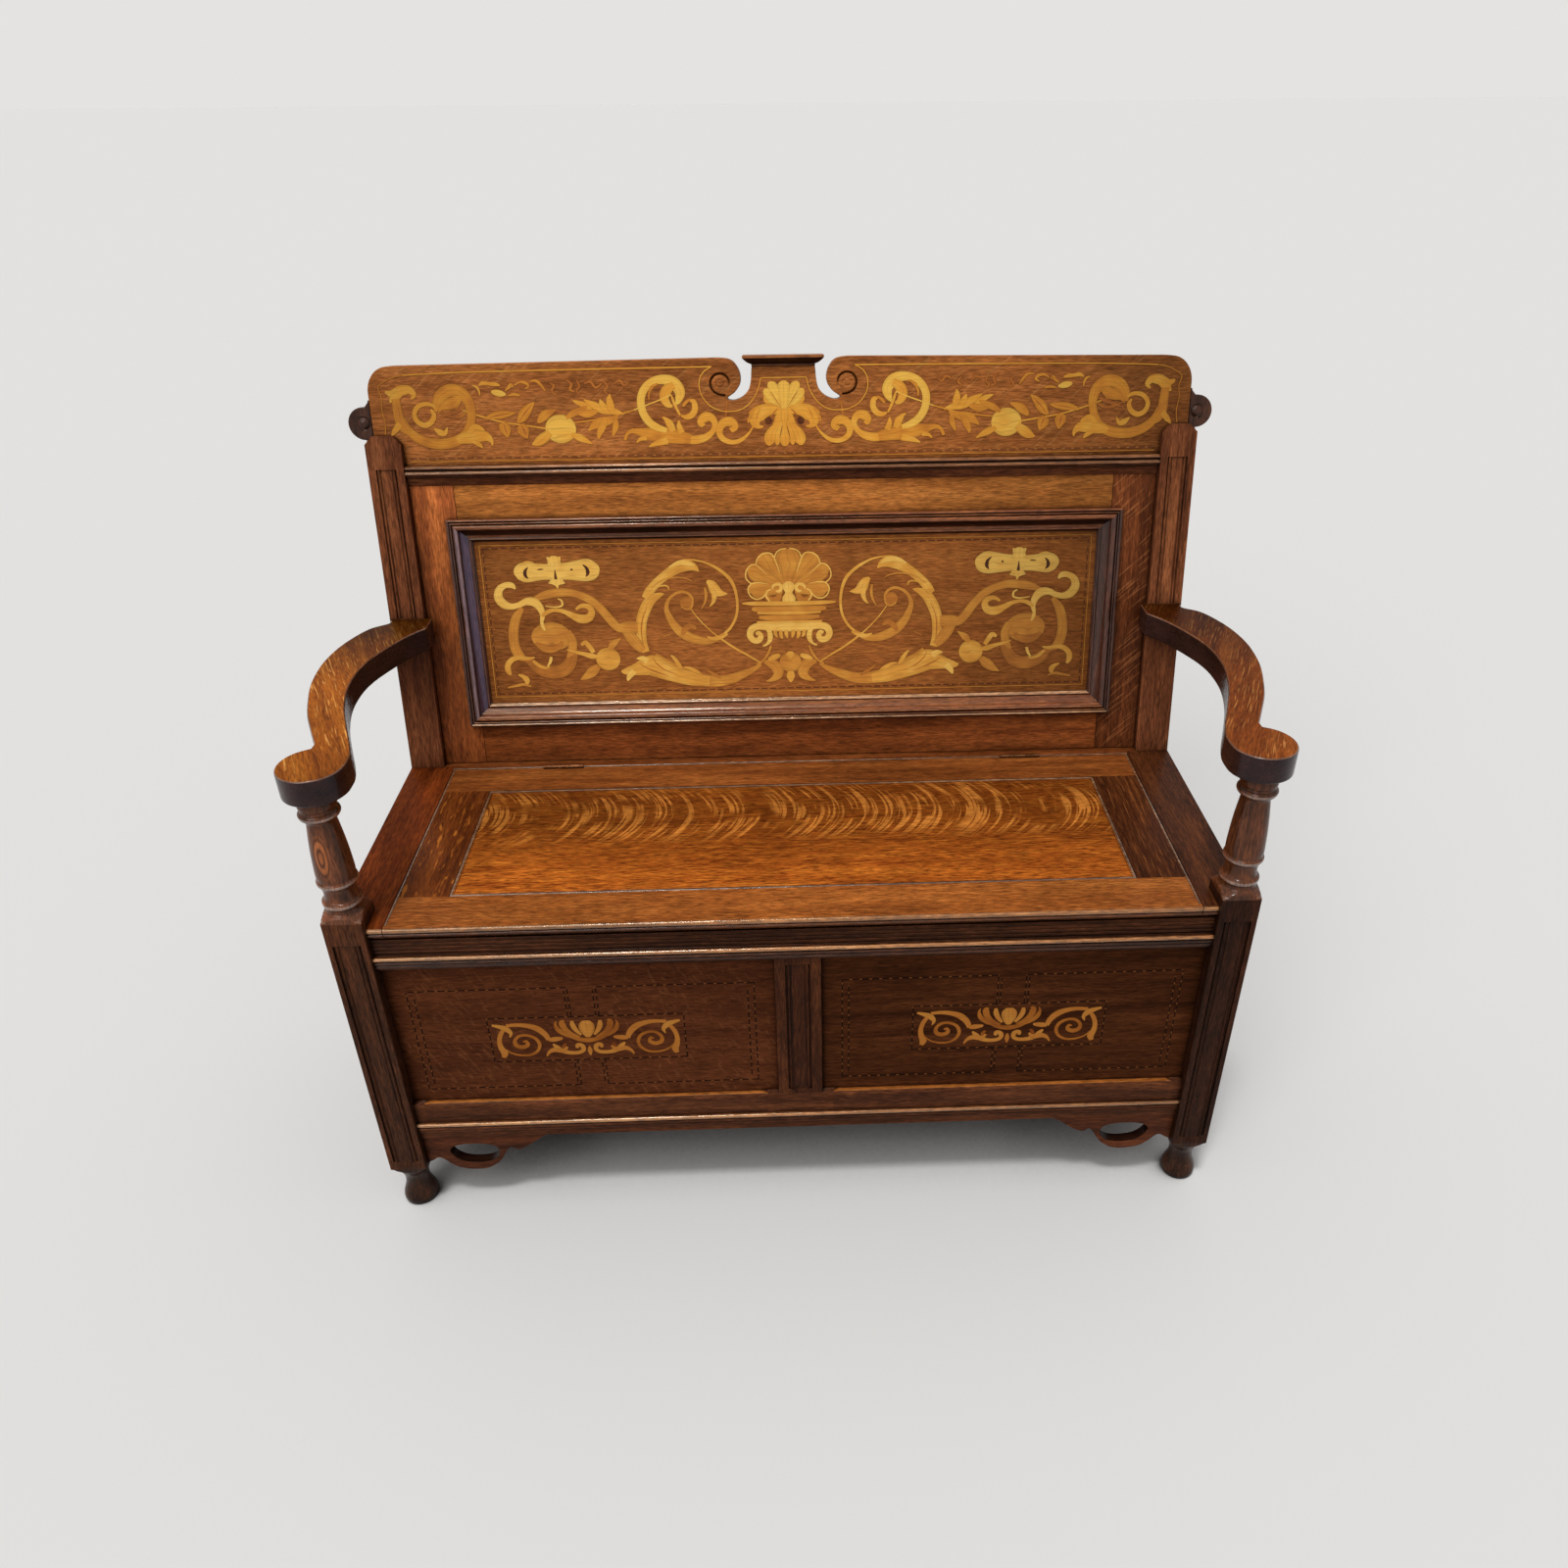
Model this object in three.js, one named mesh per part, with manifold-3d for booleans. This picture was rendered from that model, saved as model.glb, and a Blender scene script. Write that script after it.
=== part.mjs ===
// Box settle in oak: a lift-lid seat on a framed and panelled box, a raked back
// with an inlaid panel and a shaped crest, and two flat sweeping arms carried
// on turned front posts. Millimetres, +Z up, the front faces -Y.
import * as THREE from "three";
import { ConvexGeometry } from "three/addons/geometries/ConvexGeometry.js";
import { mergeVertices } from "three/addons/utils/BufferGeometryUtils.js";
import Module from "manifold-3d";

const wasm = await Module();
wasm.setup();

// The whole settle
const FRAME_W = 1070;
const SEAT_H = 460;
const SEAT_DEPTH = 368;
const RAKE = THREE.MathUtils.degToRad(10.4);
const COS_RAKE = Math.cos(RAKE);
const SIN_RAKE = Math.sin(RAKE);

// Fits and cuts
const GAP = 0.3;
const OVERRUN = 2;
const WELD = 0.0001;
const TURNED_SIDES = 24;
const SMALL_SIDES = 16;
const CURVE_STEPS = 5;

// Front posts
const POST = 46;
const FOOT_H = 72;
const BLOCK_RISE = 13;
const BLOCK_CORNER_SHARE = 1.43;
const POST_CHANNEL_W = 32.5;
const POST_CHANNEL_DROP = 31;
const POST_CHANNEL_FOOT = 12;
const CHANNEL_POINT = 6;

// Arms
const ARM_RISE = 207;
const ARM_T = 32;
const ARM_BULGE = 65;
const ARM_PADDLE_R = 36.5;
const ARM_PADDLE_IN = 2.5;
const ARM_PADDLE_BACK = 3;
const ARM_EASE = 2;
const ARM_PEG_R = 11;
const ARM_PEG_H = 20;
const ARM_LID_CLEARANCE = 4.5;

// Framing of the box
const RAIL_T = 22;
const RAIL_SET = 9;
const SIDE_SET = 8;
const BACK_RAIL_SET = 4;
const LOW_RAIL_Z = 118;
const LOW_RAIL_H = 60;
const TOP_RAIL_H = 43.7;
const TENON_L = 20;
const TENON_WALL = 3;
const TENON_T = 8;
const TENON_SHOULDER = 8;
const GROOVE_D = 6;
const PANEL_T = 8;
const PANEL_SET = 8;
const MUNTIN_W = 55;
const MUNTIN_CHANNEL_W = 30;
const MUNTIN_CHANNEL_MARGIN = 9;
const CHAMFER = 7;
const CHAMFER_STOP = 9;
const CHAMFER_END = 13;

// Beads and mouldings of the front
const CHANNEL_DEPTH = 2.4;
const CHANNEL_BEAD_DROP = 0.4;
const CHANNEL_BAND_DROP = 1.5;
const REED_W = 1.8;
const REED_D = 1.4;
const RAIL_MOULD_UP = 3;
const RAIL_MOULD_H = 18;
const RAIL_MOULD_PROUD = 5.5;
const SILL_MOULD_UP = 11;
const SILL_MOULD_H = 17.5;
const SILL_MOULD_PROUD = 4.5;

// Pierced brackets
const BRACKET_L = 160;
const BRACKET_H = 63;
const BRACKET_T = 14;
const BRACKET_SET = 11;
const EYE_L = 64;
const EYE_H = 35;

// Back stiles
const STILE_W = 45;
const STILE_D = 44;
const STILE_IN = 5;
const STILE_LAP = 35.5;
const STILE_CHAMFER = 10;
const STILE_CHANNEL_W = 26;
const STILE_CHANNEL_DROP = 5.5;

// Seat and lid
const SEAT_T = 18;
const SEAT_EDGE_SET = 5;
const SEAT_END_IN = 13.7;
const STRIP_FRONT = 7.7;
const LID_JOINT = 0.9;
const LID_FRONT_RAIL = 61;
const LID_REAR_RAIL = 57.8;
const LID_STILE = 61.4;
const LID_TONGUE_T = 6;
const LID_PANEL_UNDER = 5;
const LID_PANEL_DROP = 0.6;
const LID_BEAD_IN = 4.5;
const LID_BEAD_CUT = 1.6;

// Butt hinges of the lid
const HINGE_IN = 152.4;
const HINGE_L = 52;
const HINGE_MIDDLE = 18;
const HINGE_KNUCKLE_R = 3.3;
const HINGE_PIN_R = 1.3;
const HINGE_BORE_R = 1.6;
const HINGE_LEAF_T = 1.5;
const HINGE_LEAF_FOOT = 1.7;
const HINGE_PIN_RISE = 1;
const HINGE_HEAD = 1.2;
const HINGE_CLEAR = 0.6;

// Floor of the box
const BOARD_T = 10;
const BOARD_UP = 24;
const BOARD_COUNT = 3;
const BOARD_JOINT = 0.8;
const BEARER_W = 20;
const BEARER_H = 14;

// Framed back, in the raked plane
const FRAME_SET = 10;
const FRAME_T = 22;
const BOL_W = 30;
const BOL_PROUD = 9.8;
const BOL_LAP = 14;
const BOL_MARGIN = 42.8;
const BOL_LOW = 57;
const BOL_H = 281.7;
const BACK_PANEL_SET = 3;
const BACK_TOP_RAIL_H = 69.3;
const CREST_MOULD_LAP = 12.7;
const CREST_MOULD_H = 25;
const CREST_MOULD_PROUD = 8.5;

// Crest board, in the raked plane
const CREST_H = 137.5;
const CREST_IN = 10;
const CREST_CORNER = 52;
const CREST_FALL = 4.5;
const CREST_LEDGE_DROP = 5.5;
const CREST_STEP_UP = 14.5;
const NECK_HALF = 39.7;
const NECK_DROP = 10.7;
const VOLUTE_W = 26;
const VOLUTE_H = 31;
const VOLUTE_EYE_R = 11;
const VOLUTE_LINE = 1.6;
const VOLUTE_LINE_D = 2.2;
const SLOT_W = 14.3;
const SLOT_H = 40;
const CAP_OVER = 11.3;
const CAP_H = 13;
const EAR_R = 20;
const EAR_OUT = 9.5;
const EAR_T = 23;
const EAR_BUTTON_R = 6.5;
const EAR_BUTTON_PROUD = 2;
const EAR_RING_R = 10.5;
const EAR_RING_W = 1.8;
const EAR_RING_D = 1.6;
const EAR_NECK_H = 8;

// Places that follow from the sizes
const HALF_W = FRAME_W / 2;
const POST_R = POST / 2;
const POST_X = HALF_W - POST_R;
const POST_IN_X = HALF_W - POST;
const SEAT_UNDER = SEAT_H - SEAT_T;
const BLOCK_TOP = SEAT_H + BLOCK_RISE;
const ARM_TOP = SEAT_H + ARM_RISE;
const ARM_UNDER = ARM_TOP - ARM_T;
const RAIL_Y0 = RAIL_SET;
const RAIL_Y1 = RAIL_SET + RAIL_T;
const PANEL_Y0 = RAIL_SET + PANEL_SET;
const PANEL_Y1 = PANEL_Y0 + PANEL_T;
const LEG_D = STILE_D / COS_RAKE;
const LEG_BACK_Y = SEAT_DEPTH + LEG_D;
const STILE_X1 = HALF_W - STILE_IN;
const STILE_X0 = STILE_X1 - STILE_W;
const SIDE_X1 = HALF_W - SIDE_SET;
const SIDE_X0 = SIDE_X1 - RAIL_T;
const SIDE_PANEL_X1 = SIDE_X1 - PANEL_SET;
const SIDE_PANEL_X0 = SIDE_PANEL_X1 - PANEL_T;
const BACK_Y1 = LEG_BACK_Y - BACK_RAIL_SET;
const BACK_Y0 = BACK_Y1 - RAIL_T;
const BACK_PANEL_Y1 = BACK_Y1 - PANEL_SET;
const BACK_PANEL_Y0 = BACK_PANEL_Y1 - PANEL_T;
const PANEL_REACH = GROOVE_D - GAP;
const LOW_RAIL = { z0: LOW_RAIL_Z, z1: LOW_RAIL_Z + LOW_RAIL_H };
const TOP_RAIL = { z0: SEAT_UNDER - GAP - TOP_RAIL_H, z1: SEAT_UNDER - GAP };
const STRIP_Y0 = SEAT_DEPTH - STRIP_FRONT;
const END_X0 = STILE_X0 - SEAT_END_IN;
const LID_HALF = END_X0 - LID_JOINT;
const LID_REAR_Y = STRIP_Y0 - LID_JOINT;
const HINGE_X = LID_HALF - HINGE_IN;
const HINGE_Y = LID_REAR_Y + LID_JOINT / 2;
const HINGE_Z = SEAT_H + HINGE_PIN_RISE;
const BOARD_Z = LOW_RAIL_Z + BOARD_UP;
const BOL_OUT_X = STILE_X0 - BOL_MARGIN;
const BOL_TOP = BOL_LOW + BOL_H;
const FRAME_RISE = BOL_TOP - BOL_LAP + BACK_TOP_RAIL_H;
const CREST_STEP = FRAME_RISE + CREST_STEP_UP;
const STILE_RISE = CREST_STEP + STILE_LAP;
const CREST_LEDGE = STILE_RISE - CREST_LEDGE_DROP;
const CREST_TOP = FRAME_RISE + CREST_H;
const CREST_HALF = STILE_X1 - CREST_IN;
const NECK_TOP = CREST_TOP - NECK_DROP;
const SLOT_BOTTOM = NECK_TOP - SLOT_H;
const VOLUTE_X = NECK_HALF + SLOT_W + VOLUTE_W;
const VOLUTE_RISE = CREST_TOP - VOLUTE_H;
const EAR_X = CREST_HALF + EAR_OUT;
const EAR_RISE = CREST_LEDGE + GAP + EAR_R;

// Materials
const OAK = new THREE.MeshStandardMaterial({ color: "#6b3417", roughness: 0.42, metalness: 0 });
const OAK_SEAT = new THREE.MeshStandardMaterial({ color: "#8a4b1e", roughness: 0.36, metalness: 0 });
const OAK_PANEL = new THREE.MeshStandardMaterial({ color: "#5c2f16", roughness: 0.4, metalness: 0 });
const OAK_INSIDE = new THREE.MeshStandardMaterial({ color: "#8f6a44", roughness: 0.8, metalness: 0 });
const OLD_BRASS = new THREE.MeshStandardMaterial({ color: "#6d5a38", roughness: 0.45, metalness: 0.9 });

const settle = new THREE.Group();
const back = new THREE.Group();
back.position.set(0, SEAT_DEPTH, SEAT_H);
back.rotation.x = -RAKE;
settle.add(back);
back.updateMatrix();

// Solids: closed geometry in, closed geometry out
function solid(geometry) {
  geometry.deleteAttribute("normal");
  geometry.deleteAttribute("uv");
  const merged = mergeVertices(geometry, WELD);
  return new wasm.Manifold(new wasm.Mesh({
    numProp: 3,
    vertProperties: new Float32Array(merged.attributes.position.array),
    triVerts: new Uint32Array(merged.index.array),
  }));
}

function surface(body) {
  const mesh = body.getMesh();
  const geometry = new THREE.BufferGeometry();
  geometry.setAttribute("position", new THREE.BufferAttribute(new Float32Array(mesh.vertProperties), 3));
  geometry.setIndex(new THREE.BufferAttribute(new Uint32Array(mesh.triVerts), 1));
  geometry.computeVertexNormals();
  return geometry;
}

function mirrored(geometry) {
  const other = geometry.clone();
  other.scale(-1, 1, 1);
  const corners = other.index.array;
  for (let i = 0; i < corners.length; i += 3) {
    const kept = corners[i + 1];
    corners[i + 1] = corners[i + 2];
    corners[i + 2] = kept;
  }
  other.computeVertexNormals();
  return other;
}

function add(name, body, material, parent = settle) {
  const mesh = new THREE.Mesh(surface(body), material);
  mesh.name = name;
  parent.add(mesh);
}

// A right-hand piece and its mirror image on the left
function addPair(name, body, material, parent = settle) {
  const right = surface(body);
  for (const [side, geometry] of [["right", right], ["left", mirrored(right)]]) {
    const mesh = new THREE.Mesh(geometry, material);
    mesh.name = `${name}_${side}`;
    parent.add(mesh);
  }
}

function cut(body, ...tools) {
  return tools.reduce((left, tool) => left.subtract(tool), body);
}

function join(body, ...others) {
  return others.reduce((whole, other) => whole.add(other), body);
}

function blockGeometry(x0, x1, y0, y1, z0, z1) {
  const box = new THREE.BoxGeometry(x1 - x0, y1 - y0, z1 - z0);
  return box.translate((x0 + x1) / 2, (y0 + y1) / 2, (z0 + z1) / 2);
}

function block(x0, x1, y0, y1, z0, z1) {
  return solid(blockGeometry(x0, x1, y0, y1, z0, z1));
}

function extruded(points, depth, holes = []) {
  const shape = new THREE.Shape(points.map(([u, v]) => new THREE.Vector2(u, v)));
  for (const hole of holes) {
    shape.holes.push(new THREE.Path(hole.map(([u, v]) => new THREE.Vector2(u, v))));
  }
  return new THREE.ExtrudeGeometry(shape, { depth, bevelEnabled: false, steps: 1 });
}

const X_AXIS = new THREE.Vector3(1, 0, 0);
const Y_AXIS = new THREE.Vector3(0, 1, 0);
const Z_AXIS = new THREE.Vector3(0, 0, 1);

// Outline in (y, z), run along x
function prismXGeometry(points, x0, x1) {
  const turn = new THREE.Matrix4().makeBasis(Y_AXIS, Z_AXIS, X_AXIS);
  return extruded(points, x1 - x0).applyMatrix4(turn).translate(x0, 0, 0);
}

function prismX(points, x0, x1) {
  return solid(prismXGeometry(points, x0, x1));
}

// Outline in (x, z), run along y
function prismYGeometry(points, y0, y1, holes = []) {
  const turn = new THREE.Matrix4().makeBasis(X_AXIS, Z_AXIS, Y_AXIS.clone().negate());
  return extruded(points, y1 - y0, holes).applyMatrix4(turn).translate(0, y1, 0);
}

function prismY(points, y0, y1, holes = []) {
  return solid(prismYGeometry(points, y0, y1, holes));
}

// Outline in (x, y), run along z
function prismZGeometry(points, z0, z1) {
  return extruded(points, z1 - z0).translate(0, 0, z0);
}

function prismZ(points, z0, z1) {
  return solid(prismZGeometry(points, z0, z1));
}

// Turned on a vertical axis: profile points are (radius, height)
function turned(profile, x, y, sides = TURNED_SIDES) {
  const points = profile.map(([r, h]) => new THREE.Vector2(r, h));
  return solid(new THREE.LatheGeometry(points, sides).rotateX(Math.PI / 2).translate(x, y, 0));
}

function rodX(r, x0, x1, y, z, sides = SMALL_SIDES) {
  const rod = new THREE.CylinderGeometry(r, r, x1 - x0, sides);
  return solid(rod.rotateZ(Math.PI / 2).translate((x0 + x1) / 2, y, z));
}

function hull(points) {
  return solid(new ConvexGeometry(points.map(([x, y, z]) => new THREE.Vector3(x, y, z))));
}

// A shape drawn in the raked plane of the back, brought to the settle's own frame
function rakedSolid(geometry) {
  return solid(geometry.applyMatrix4(back.matrix));
}

// Half-round bead from v0 to v1 on a face at u0, standing out by proud towards lower u
function bead(u0, v0, v1, proud, steps = CURVE_STEPS) {
  const points = [];
  for (let i = 0; i <= steps; i += 1) {
    const angle = (Math.PI * i) / steps;
    points.push([
      u0 - proud * Math.sin(angle),
      (v0 + v1) / 2 - ((v1 - v0) / 2) * Math.cos(angle),
    ]);
  }
  return points;
}

// Sunk channel: quirk, thin bead, quirk, flat band, quirk, thin bead, quirk
const channelQuirkShare = 0.068;
const channelBeadShare = 0.118;

function channelOutline(width) {
  const quirk = width * channelQuirkShare;
  const beadW = width * channelBeadShare;
  const left = [[0, -OVERRUN], [0, CHANNEL_DEPTH]];
  const beadRise = CHANNEL_DEPTH - CHANNEL_BEAD_DROP;
  for (const [drop, across] of bead(CHANNEL_DEPTH, quirk, quirk + beadW, beadRise)) {
    left.push([across, drop]);
  }
  left.push([quirk * 2 + beadW, CHANNEL_DEPTH], [quirk * 2 + beadW, CHANNEL_BAND_DROP]);
  const right = left.map(([across, drop]) => [width - across, drop]).reverse();
  return [...left, ...right];
}

// Channel cutter on a vertical front face at y, from z0 to z1, ending in a point below
function channelCutter(x, y, width, z0, z1, point) {
  const outline = channelOutline(width).map(([across, drop]) => [x - width / 2 + across, y + drop]);
  const x0 = x - width / 2;
  const x1 = x + width / 2;
  const run = prismZ(outline, z0, z1);
  if (point === 0) {
    return run;
  }
  const stop = hull([
    [x0, y - OVERRUN, z0], [x1, y - OVERRUN, z0], [x0, y, z0], [x1, y, z0],
    [x0, y + CHANNEL_DEPTH, z0], [x1, y + CHANNEL_DEPTH, z0],
    [x, y - OVERRUN, z0 - point], [x, y, z0 - point],
  ]);
  return join(run, stop);
}

// Tenons lie on the middle of a rail; the front ones stop short of the side ones
const TENON_HALF = TENON_T / 2;
const MORTISE_HALF = TENON_HALF + GAP;
const FRONT_MID = (RAIL_Y0 + RAIL_Y1) / 2;
const SIDE_MID = (SIDE_X0 + SIDE_X1) / 2;
const BACK_MID = (BACK_Y0 + BACK_Y1) / 2;
const FRONT_TENON_X = SIDE_MID - TENON_HALF - TENON_WALL;

function tenonZ(rail) {
  return [rail.z0 + TENON_SHOULDER, rail.z1 - TENON_SHOULDER];
}

// Front posts: foot, block and baluster turned and squared from one length
const footShares = [
  [0, 0], [0, 0.848], [0.028, 0.926], [0.083, 0.957], [0.167, 0.926], [0.278, 0.817], [0.389, 0.713],
  [0.5, 0.67], [0.611, 0.687], [0.694, 0.748], [0.778, 0.848], [0.833, 0.93], [0.889, 1], [0.944, 1.2],
  [1, BLOCK_CORNER_SHARE],
];
const balusterShares = [
  [0, BLOCK_CORNER_SHARE], [0.024, 1.23], [0.0485, 1], [0.067, 0.87], [0.091, 0.835], [0.103, 0.89],
  [0.112, 0.957], [0.127, 0.98], [0.142, 0.957], [0.152, 0.89], [0.164, 0.817], [0.206, 0.79],
  [0.248, 0.817], [0.273, 0.878], [0.282, 0.95], [0.297, 0.995], [0.312, 0.98], [0.324, 0.92],
  [0.339, 0.92], [0.376, 0.935], [0.479, 0.905], [0.558, 0.87], [0.648, 0.813], [0.739, 0.74],
  [0.782, 0.713], [0.806, 0.76], [0.818, 0.826], [0.827, 0.926], [0.842, 0.98], [0.857, 0.974],
  [0.87, 0.913], [0.879, 0.848], [0.894, 0.848], [0.903, 0.89], [0.927, 0.913], [0.964, 0.887],
  [1, 0.826],
];

function frontPost() {
  const balusterH = ARM_UNDER - BLOCK_TOP;
  const profile = [
    ...footShares.map(([h, r]) => [r * POST_R, h * FOOT_H]),
    ...balusterShares.map(([h, r]) => [r * POST_R, BLOCK_TOP + h * balusterH]),
    [ARM_PEG_R, ARM_UNDER], [ARM_PEG_R, ARM_UNDER + ARM_PEG_H], [0, ARM_UNDER + ARM_PEG_H],
  ];
  const square = block(POST_IN_X, HALF_W, 0, POST, -OVERRUN, ARM_TOP);
  const channelTop = BLOCK_TOP - POST_CHANNEL_DROP;
  const channelLow = FOOT_H + POST_CHANNEL_FOOT;
  const tools = [channelCutter(POST_X, 0, POST_CHANNEL_W, channelLow, channelTop, CHANNEL_POINT)];
  for (const rail of [LOW_RAIL, TOP_RAIL]) {
    const [z0, z1] = tenonZ(rail);
    const low = z0 - GAP;
    const high = z1 + GAP;
    tools.push(block(POST_IN_X - OVERRUN, FRONT_TENON_X + GAP,
      FRONT_MID - MORTISE_HALF, FRONT_MID + MORTISE_HALF, low, high));
    tools.push(block(SIDE_MID - MORTISE_HALF, SIDE_MID + MORTISE_HALF,
      POST - TENON_L - GAP, POST + OVERRUN, low, high));
  }
  const g0 = LOW_RAIL.z1 - GROOVE_D;
  const g1 = TOP_RAIL.z0 + GROOVE_D;
  tools.push(block(POST_IN_X - OVERRUN, POST_IN_X + GROOVE_D, PANEL_Y0 - GAP, PANEL_Y1 + GAP, g0, g1));
  tools.push(block(SIDE_PANEL_X0 - GAP, SIDE_PANEL_X1 + GAP, POST - GROOVE_D, POST + OVERRUN, g0, g1));
  return cut(turned(profile, POST_X, POST_R).intersect(square), ...tools);
}
addPair("front_post", frontPost(), OAK);

// Front of the box
const reedShares = [0.58, 0.7, 0.86];

function frontTopRail() {
  const { z0, z1 } = TOP_RAIL;
  const front = [[RAIL_Y0, z0]];
  for (const share of reedShares) {
    const z = z0 + (z1 - z0) * share;
    front.push([RAIL_Y0, z - REED_W / 2], [RAIL_Y0 + REED_D, z], [RAIL_Y0, z + REED_W / 2]);
  }
  const outline = [
    ...front, [RAIL_Y0, z1], [RAIL_Y1, z1], [RAIL_Y1, z0], [PANEL_Y1 + GAP, z0],
    [PANEL_Y1 + GAP, z0 + GROOVE_D], [PANEL_Y0 - GAP, z0 + GROOVE_D], [PANEL_Y0 - GAP, z0],
  ];
  return join(prismX(outline, -POST_IN_X, POST_IN_X), frontTenons(TOP_RAIL));
}

function frontTenons(rail) {
  const [z0, z1] = tenonZ(rail);
  const y0 = FRONT_MID - TENON_HALF;
  const y1 = FRONT_MID + TENON_HALF;
  return join(
    block(POST_IN_X - TENON_L, FRONT_TENON_X, y0, y1, z0, z1),
    block(-FRONT_TENON_X, TENON_L - POST_IN_X, y0, y1, z0, z1),
  );
}

function chamferCutter(x0, x1) {
  const front = RAIL_Y0 - OVERRUN;
  const back = RAIL_Y0 + CHAMFER + OVERRUN;
  const top = LOW_RAIL.z1 + OVERRUN;
  const low = LOW_RAIL.z1 - CHAMFER - OVERRUN;
  const a = x0 + CHAMFER_STOP;
  const b = x1 - CHAMFER_STOP;
  return hull([
    [a, front, low], [b, front, low], [a, back, top], [b, back, top], [x0, front, top], [x1, front, top],
  ]);
}

function frontLowRail() {
  const { z0, z1 } = LOW_RAIL;
  const outline = [
    [RAIL_Y0, z0], [RAIL_Y0, z1], [PANEL_Y0 - GAP, z1], [PANEL_Y0 - GAP, z1 - GROOVE_D],
    [PANEL_Y1 + GAP, z1 - GROOVE_D], [PANEL_Y1 + GAP, z1], [RAIL_Y1, z1], [RAIL_Y1, z0],
  ];
  const start = MUNTIN_W / 2 + CHAMFER_END;
  const end = POST_IN_X - CHAMFER_END;
  return cut(
    join(prismX(outline, -POST_IN_X, POST_IN_X), frontTenons(LOW_RAIL)),
    chamferCutter(start, end), chamferCutter(-end, -start),
  );
}

// Planted bead mouldings: [height share from, height share to, share of the proud]
const railBeadShares = [[0.04, 0.34, 0.7], [0.38, 0.72, 1], [0.78, 0.98, 0.62]];
const sillBeadShares = [[0.04, 0.26, 0.55], [0.3, 0.6, 1], [0.66, 0.96, 0.8]];

const mouldGroundShare = 0.35;

function plantedMould(z0, height, proud, beadShares) {
  const outline = [[RAIL_Y0, z0]];
  const ground = RAIL_Y0 - proud * mouldGroundShare;
  for (const [from, to, share] of beadShares) {
    outline.push(...bead(ground, z0 + height * from, z0 + height * to, proud * share - (RAIL_Y0 - ground)));
  }
  outline.push([RAIL_Y0, z0 + height]);
  return prismX(outline, -POST_IN_X, POST_IN_X);
}
add("front_top_rail", frontTopRail(), OAK);
add("front_rail_moulding", plantedMould(
  TOP_RAIL.z0 + RAIL_MOULD_UP, RAIL_MOULD_H, RAIL_MOULD_PROUD, railBeadShares,
), OAK);
add("front_bottom_rail", frontLowRail(), OAK);
add("sill_moulding", plantedMould(
  LOW_RAIL.z0 + SILL_MOULD_UP, SILL_MOULD_H, SILL_MOULD_PROUD, sillBeadShares,
), OAK);

function frontMuntin() {
  const half = MUNTIN_W / 2;
  const z0 = LOW_RAIL.z1;
  const z1 = TOP_RAIL.z0;
  const body = join(
    block(-half, half, RAIL_Y0, RAIL_Y1, z0, z1),
    block(-half, half, PANEL_Y0, PANEL_Y1, z0 - PANEL_REACH, z1 + PANEL_REACH),
  );
  const grooves = [1, -1].map((side) => {
    const root = side * (half - GROOVE_D);
    const out = side * (half + OVERRUN);
    return block(Math.min(root, out), Math.max(root, out), PANEL_Y0 - GAP, PANEL_Y1 + GAP,
      z0 - GROOVE_D - OVERRUN, z1 + GROOVE_D + OVERRUN);
  });
  const channel = channelCutter(0, RAIL_Y0, MUNTIN_CHANNEL_W,
    z0 + MUNTIN_CHANNEL_MARGIN, z1 - MUNTIN_CHANNEL_MARGIN, CHANNEL_POINT);
  return cut(body, ...grooves, channel);
}
add("front_muntin", frontMuntin(), OAK);

addPair("front_panel", block(
  MUNTIN_W / 2 - PANEL_REACH, POST_IN_X + PANEL_REACH, PANEL_Y0, PANEL_Y1,
  LOW_RAIL.z1 - PANEL_REACH, TOP_RAIL.z0 + PANEL_REACH,
), OAK_PANEL);

// Pierced lobed brackets: shares of length from the post and of height down from the rail
const bracketShares = [
  [0, 0], [0, 0.74], [0.045, 0.7], [0.09, 0.62], [0.13, 0.66], [0.18, 0.8], [0.24, 0.92], [0.32, 0.985],
  [0.4, 1], [0.47, 0.98], [0.53, 0.9], [0.58, 0.79], [0.62, 0.64], [0.65, 0.5], [0.675, 0.41], [0.7, 0.385],
  [0.72, 0.43], [0.75, 0.45], [0.79, 0.42], [0.85, 0.32], [0.9, 0.22], [0.95, 0.12], [1, 0.05], [1, 0],
];
const bracketEyeShares = [0.4, 0.52];
const eyeOutlineShares = [
  [-0.5, 0.06], [-0.42, -0.26], [-0.25, -0.45], [0, -0.5], [0.25, -0.42], [0.42, -0.18], [0.5, 0.14],
  [0.42, 0.36], [0.22, 0.47], [0, 0.5], [-0.22, 0.46], [-0.42, 0.34],
];

function bracket() {
  const outline = bracketShares.map(([along, down]) => [
    POST_IN_X - along * BRACKET_L,
    LOW_RAIL.z0 - down * BRACKET_H,
  ]);
  const eyeX = POST_IN_X - bracketEyeShares[0] * BRACKET_L;
  const eyeZ = LOW_RAIL.z0 - bracketEyeShares[1] * BRACKET_H;
  const eye = eyeOutlineShares.map(([u, v]) => [eyeX + u * EYE_L, eyeZ + v * EYE_H]);
  return prismY(outline, BRACKET_SET, BRACKET_SET + BRACKET_T, [eye]);
}
addPair("bracket", bracket(), OAK);

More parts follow.
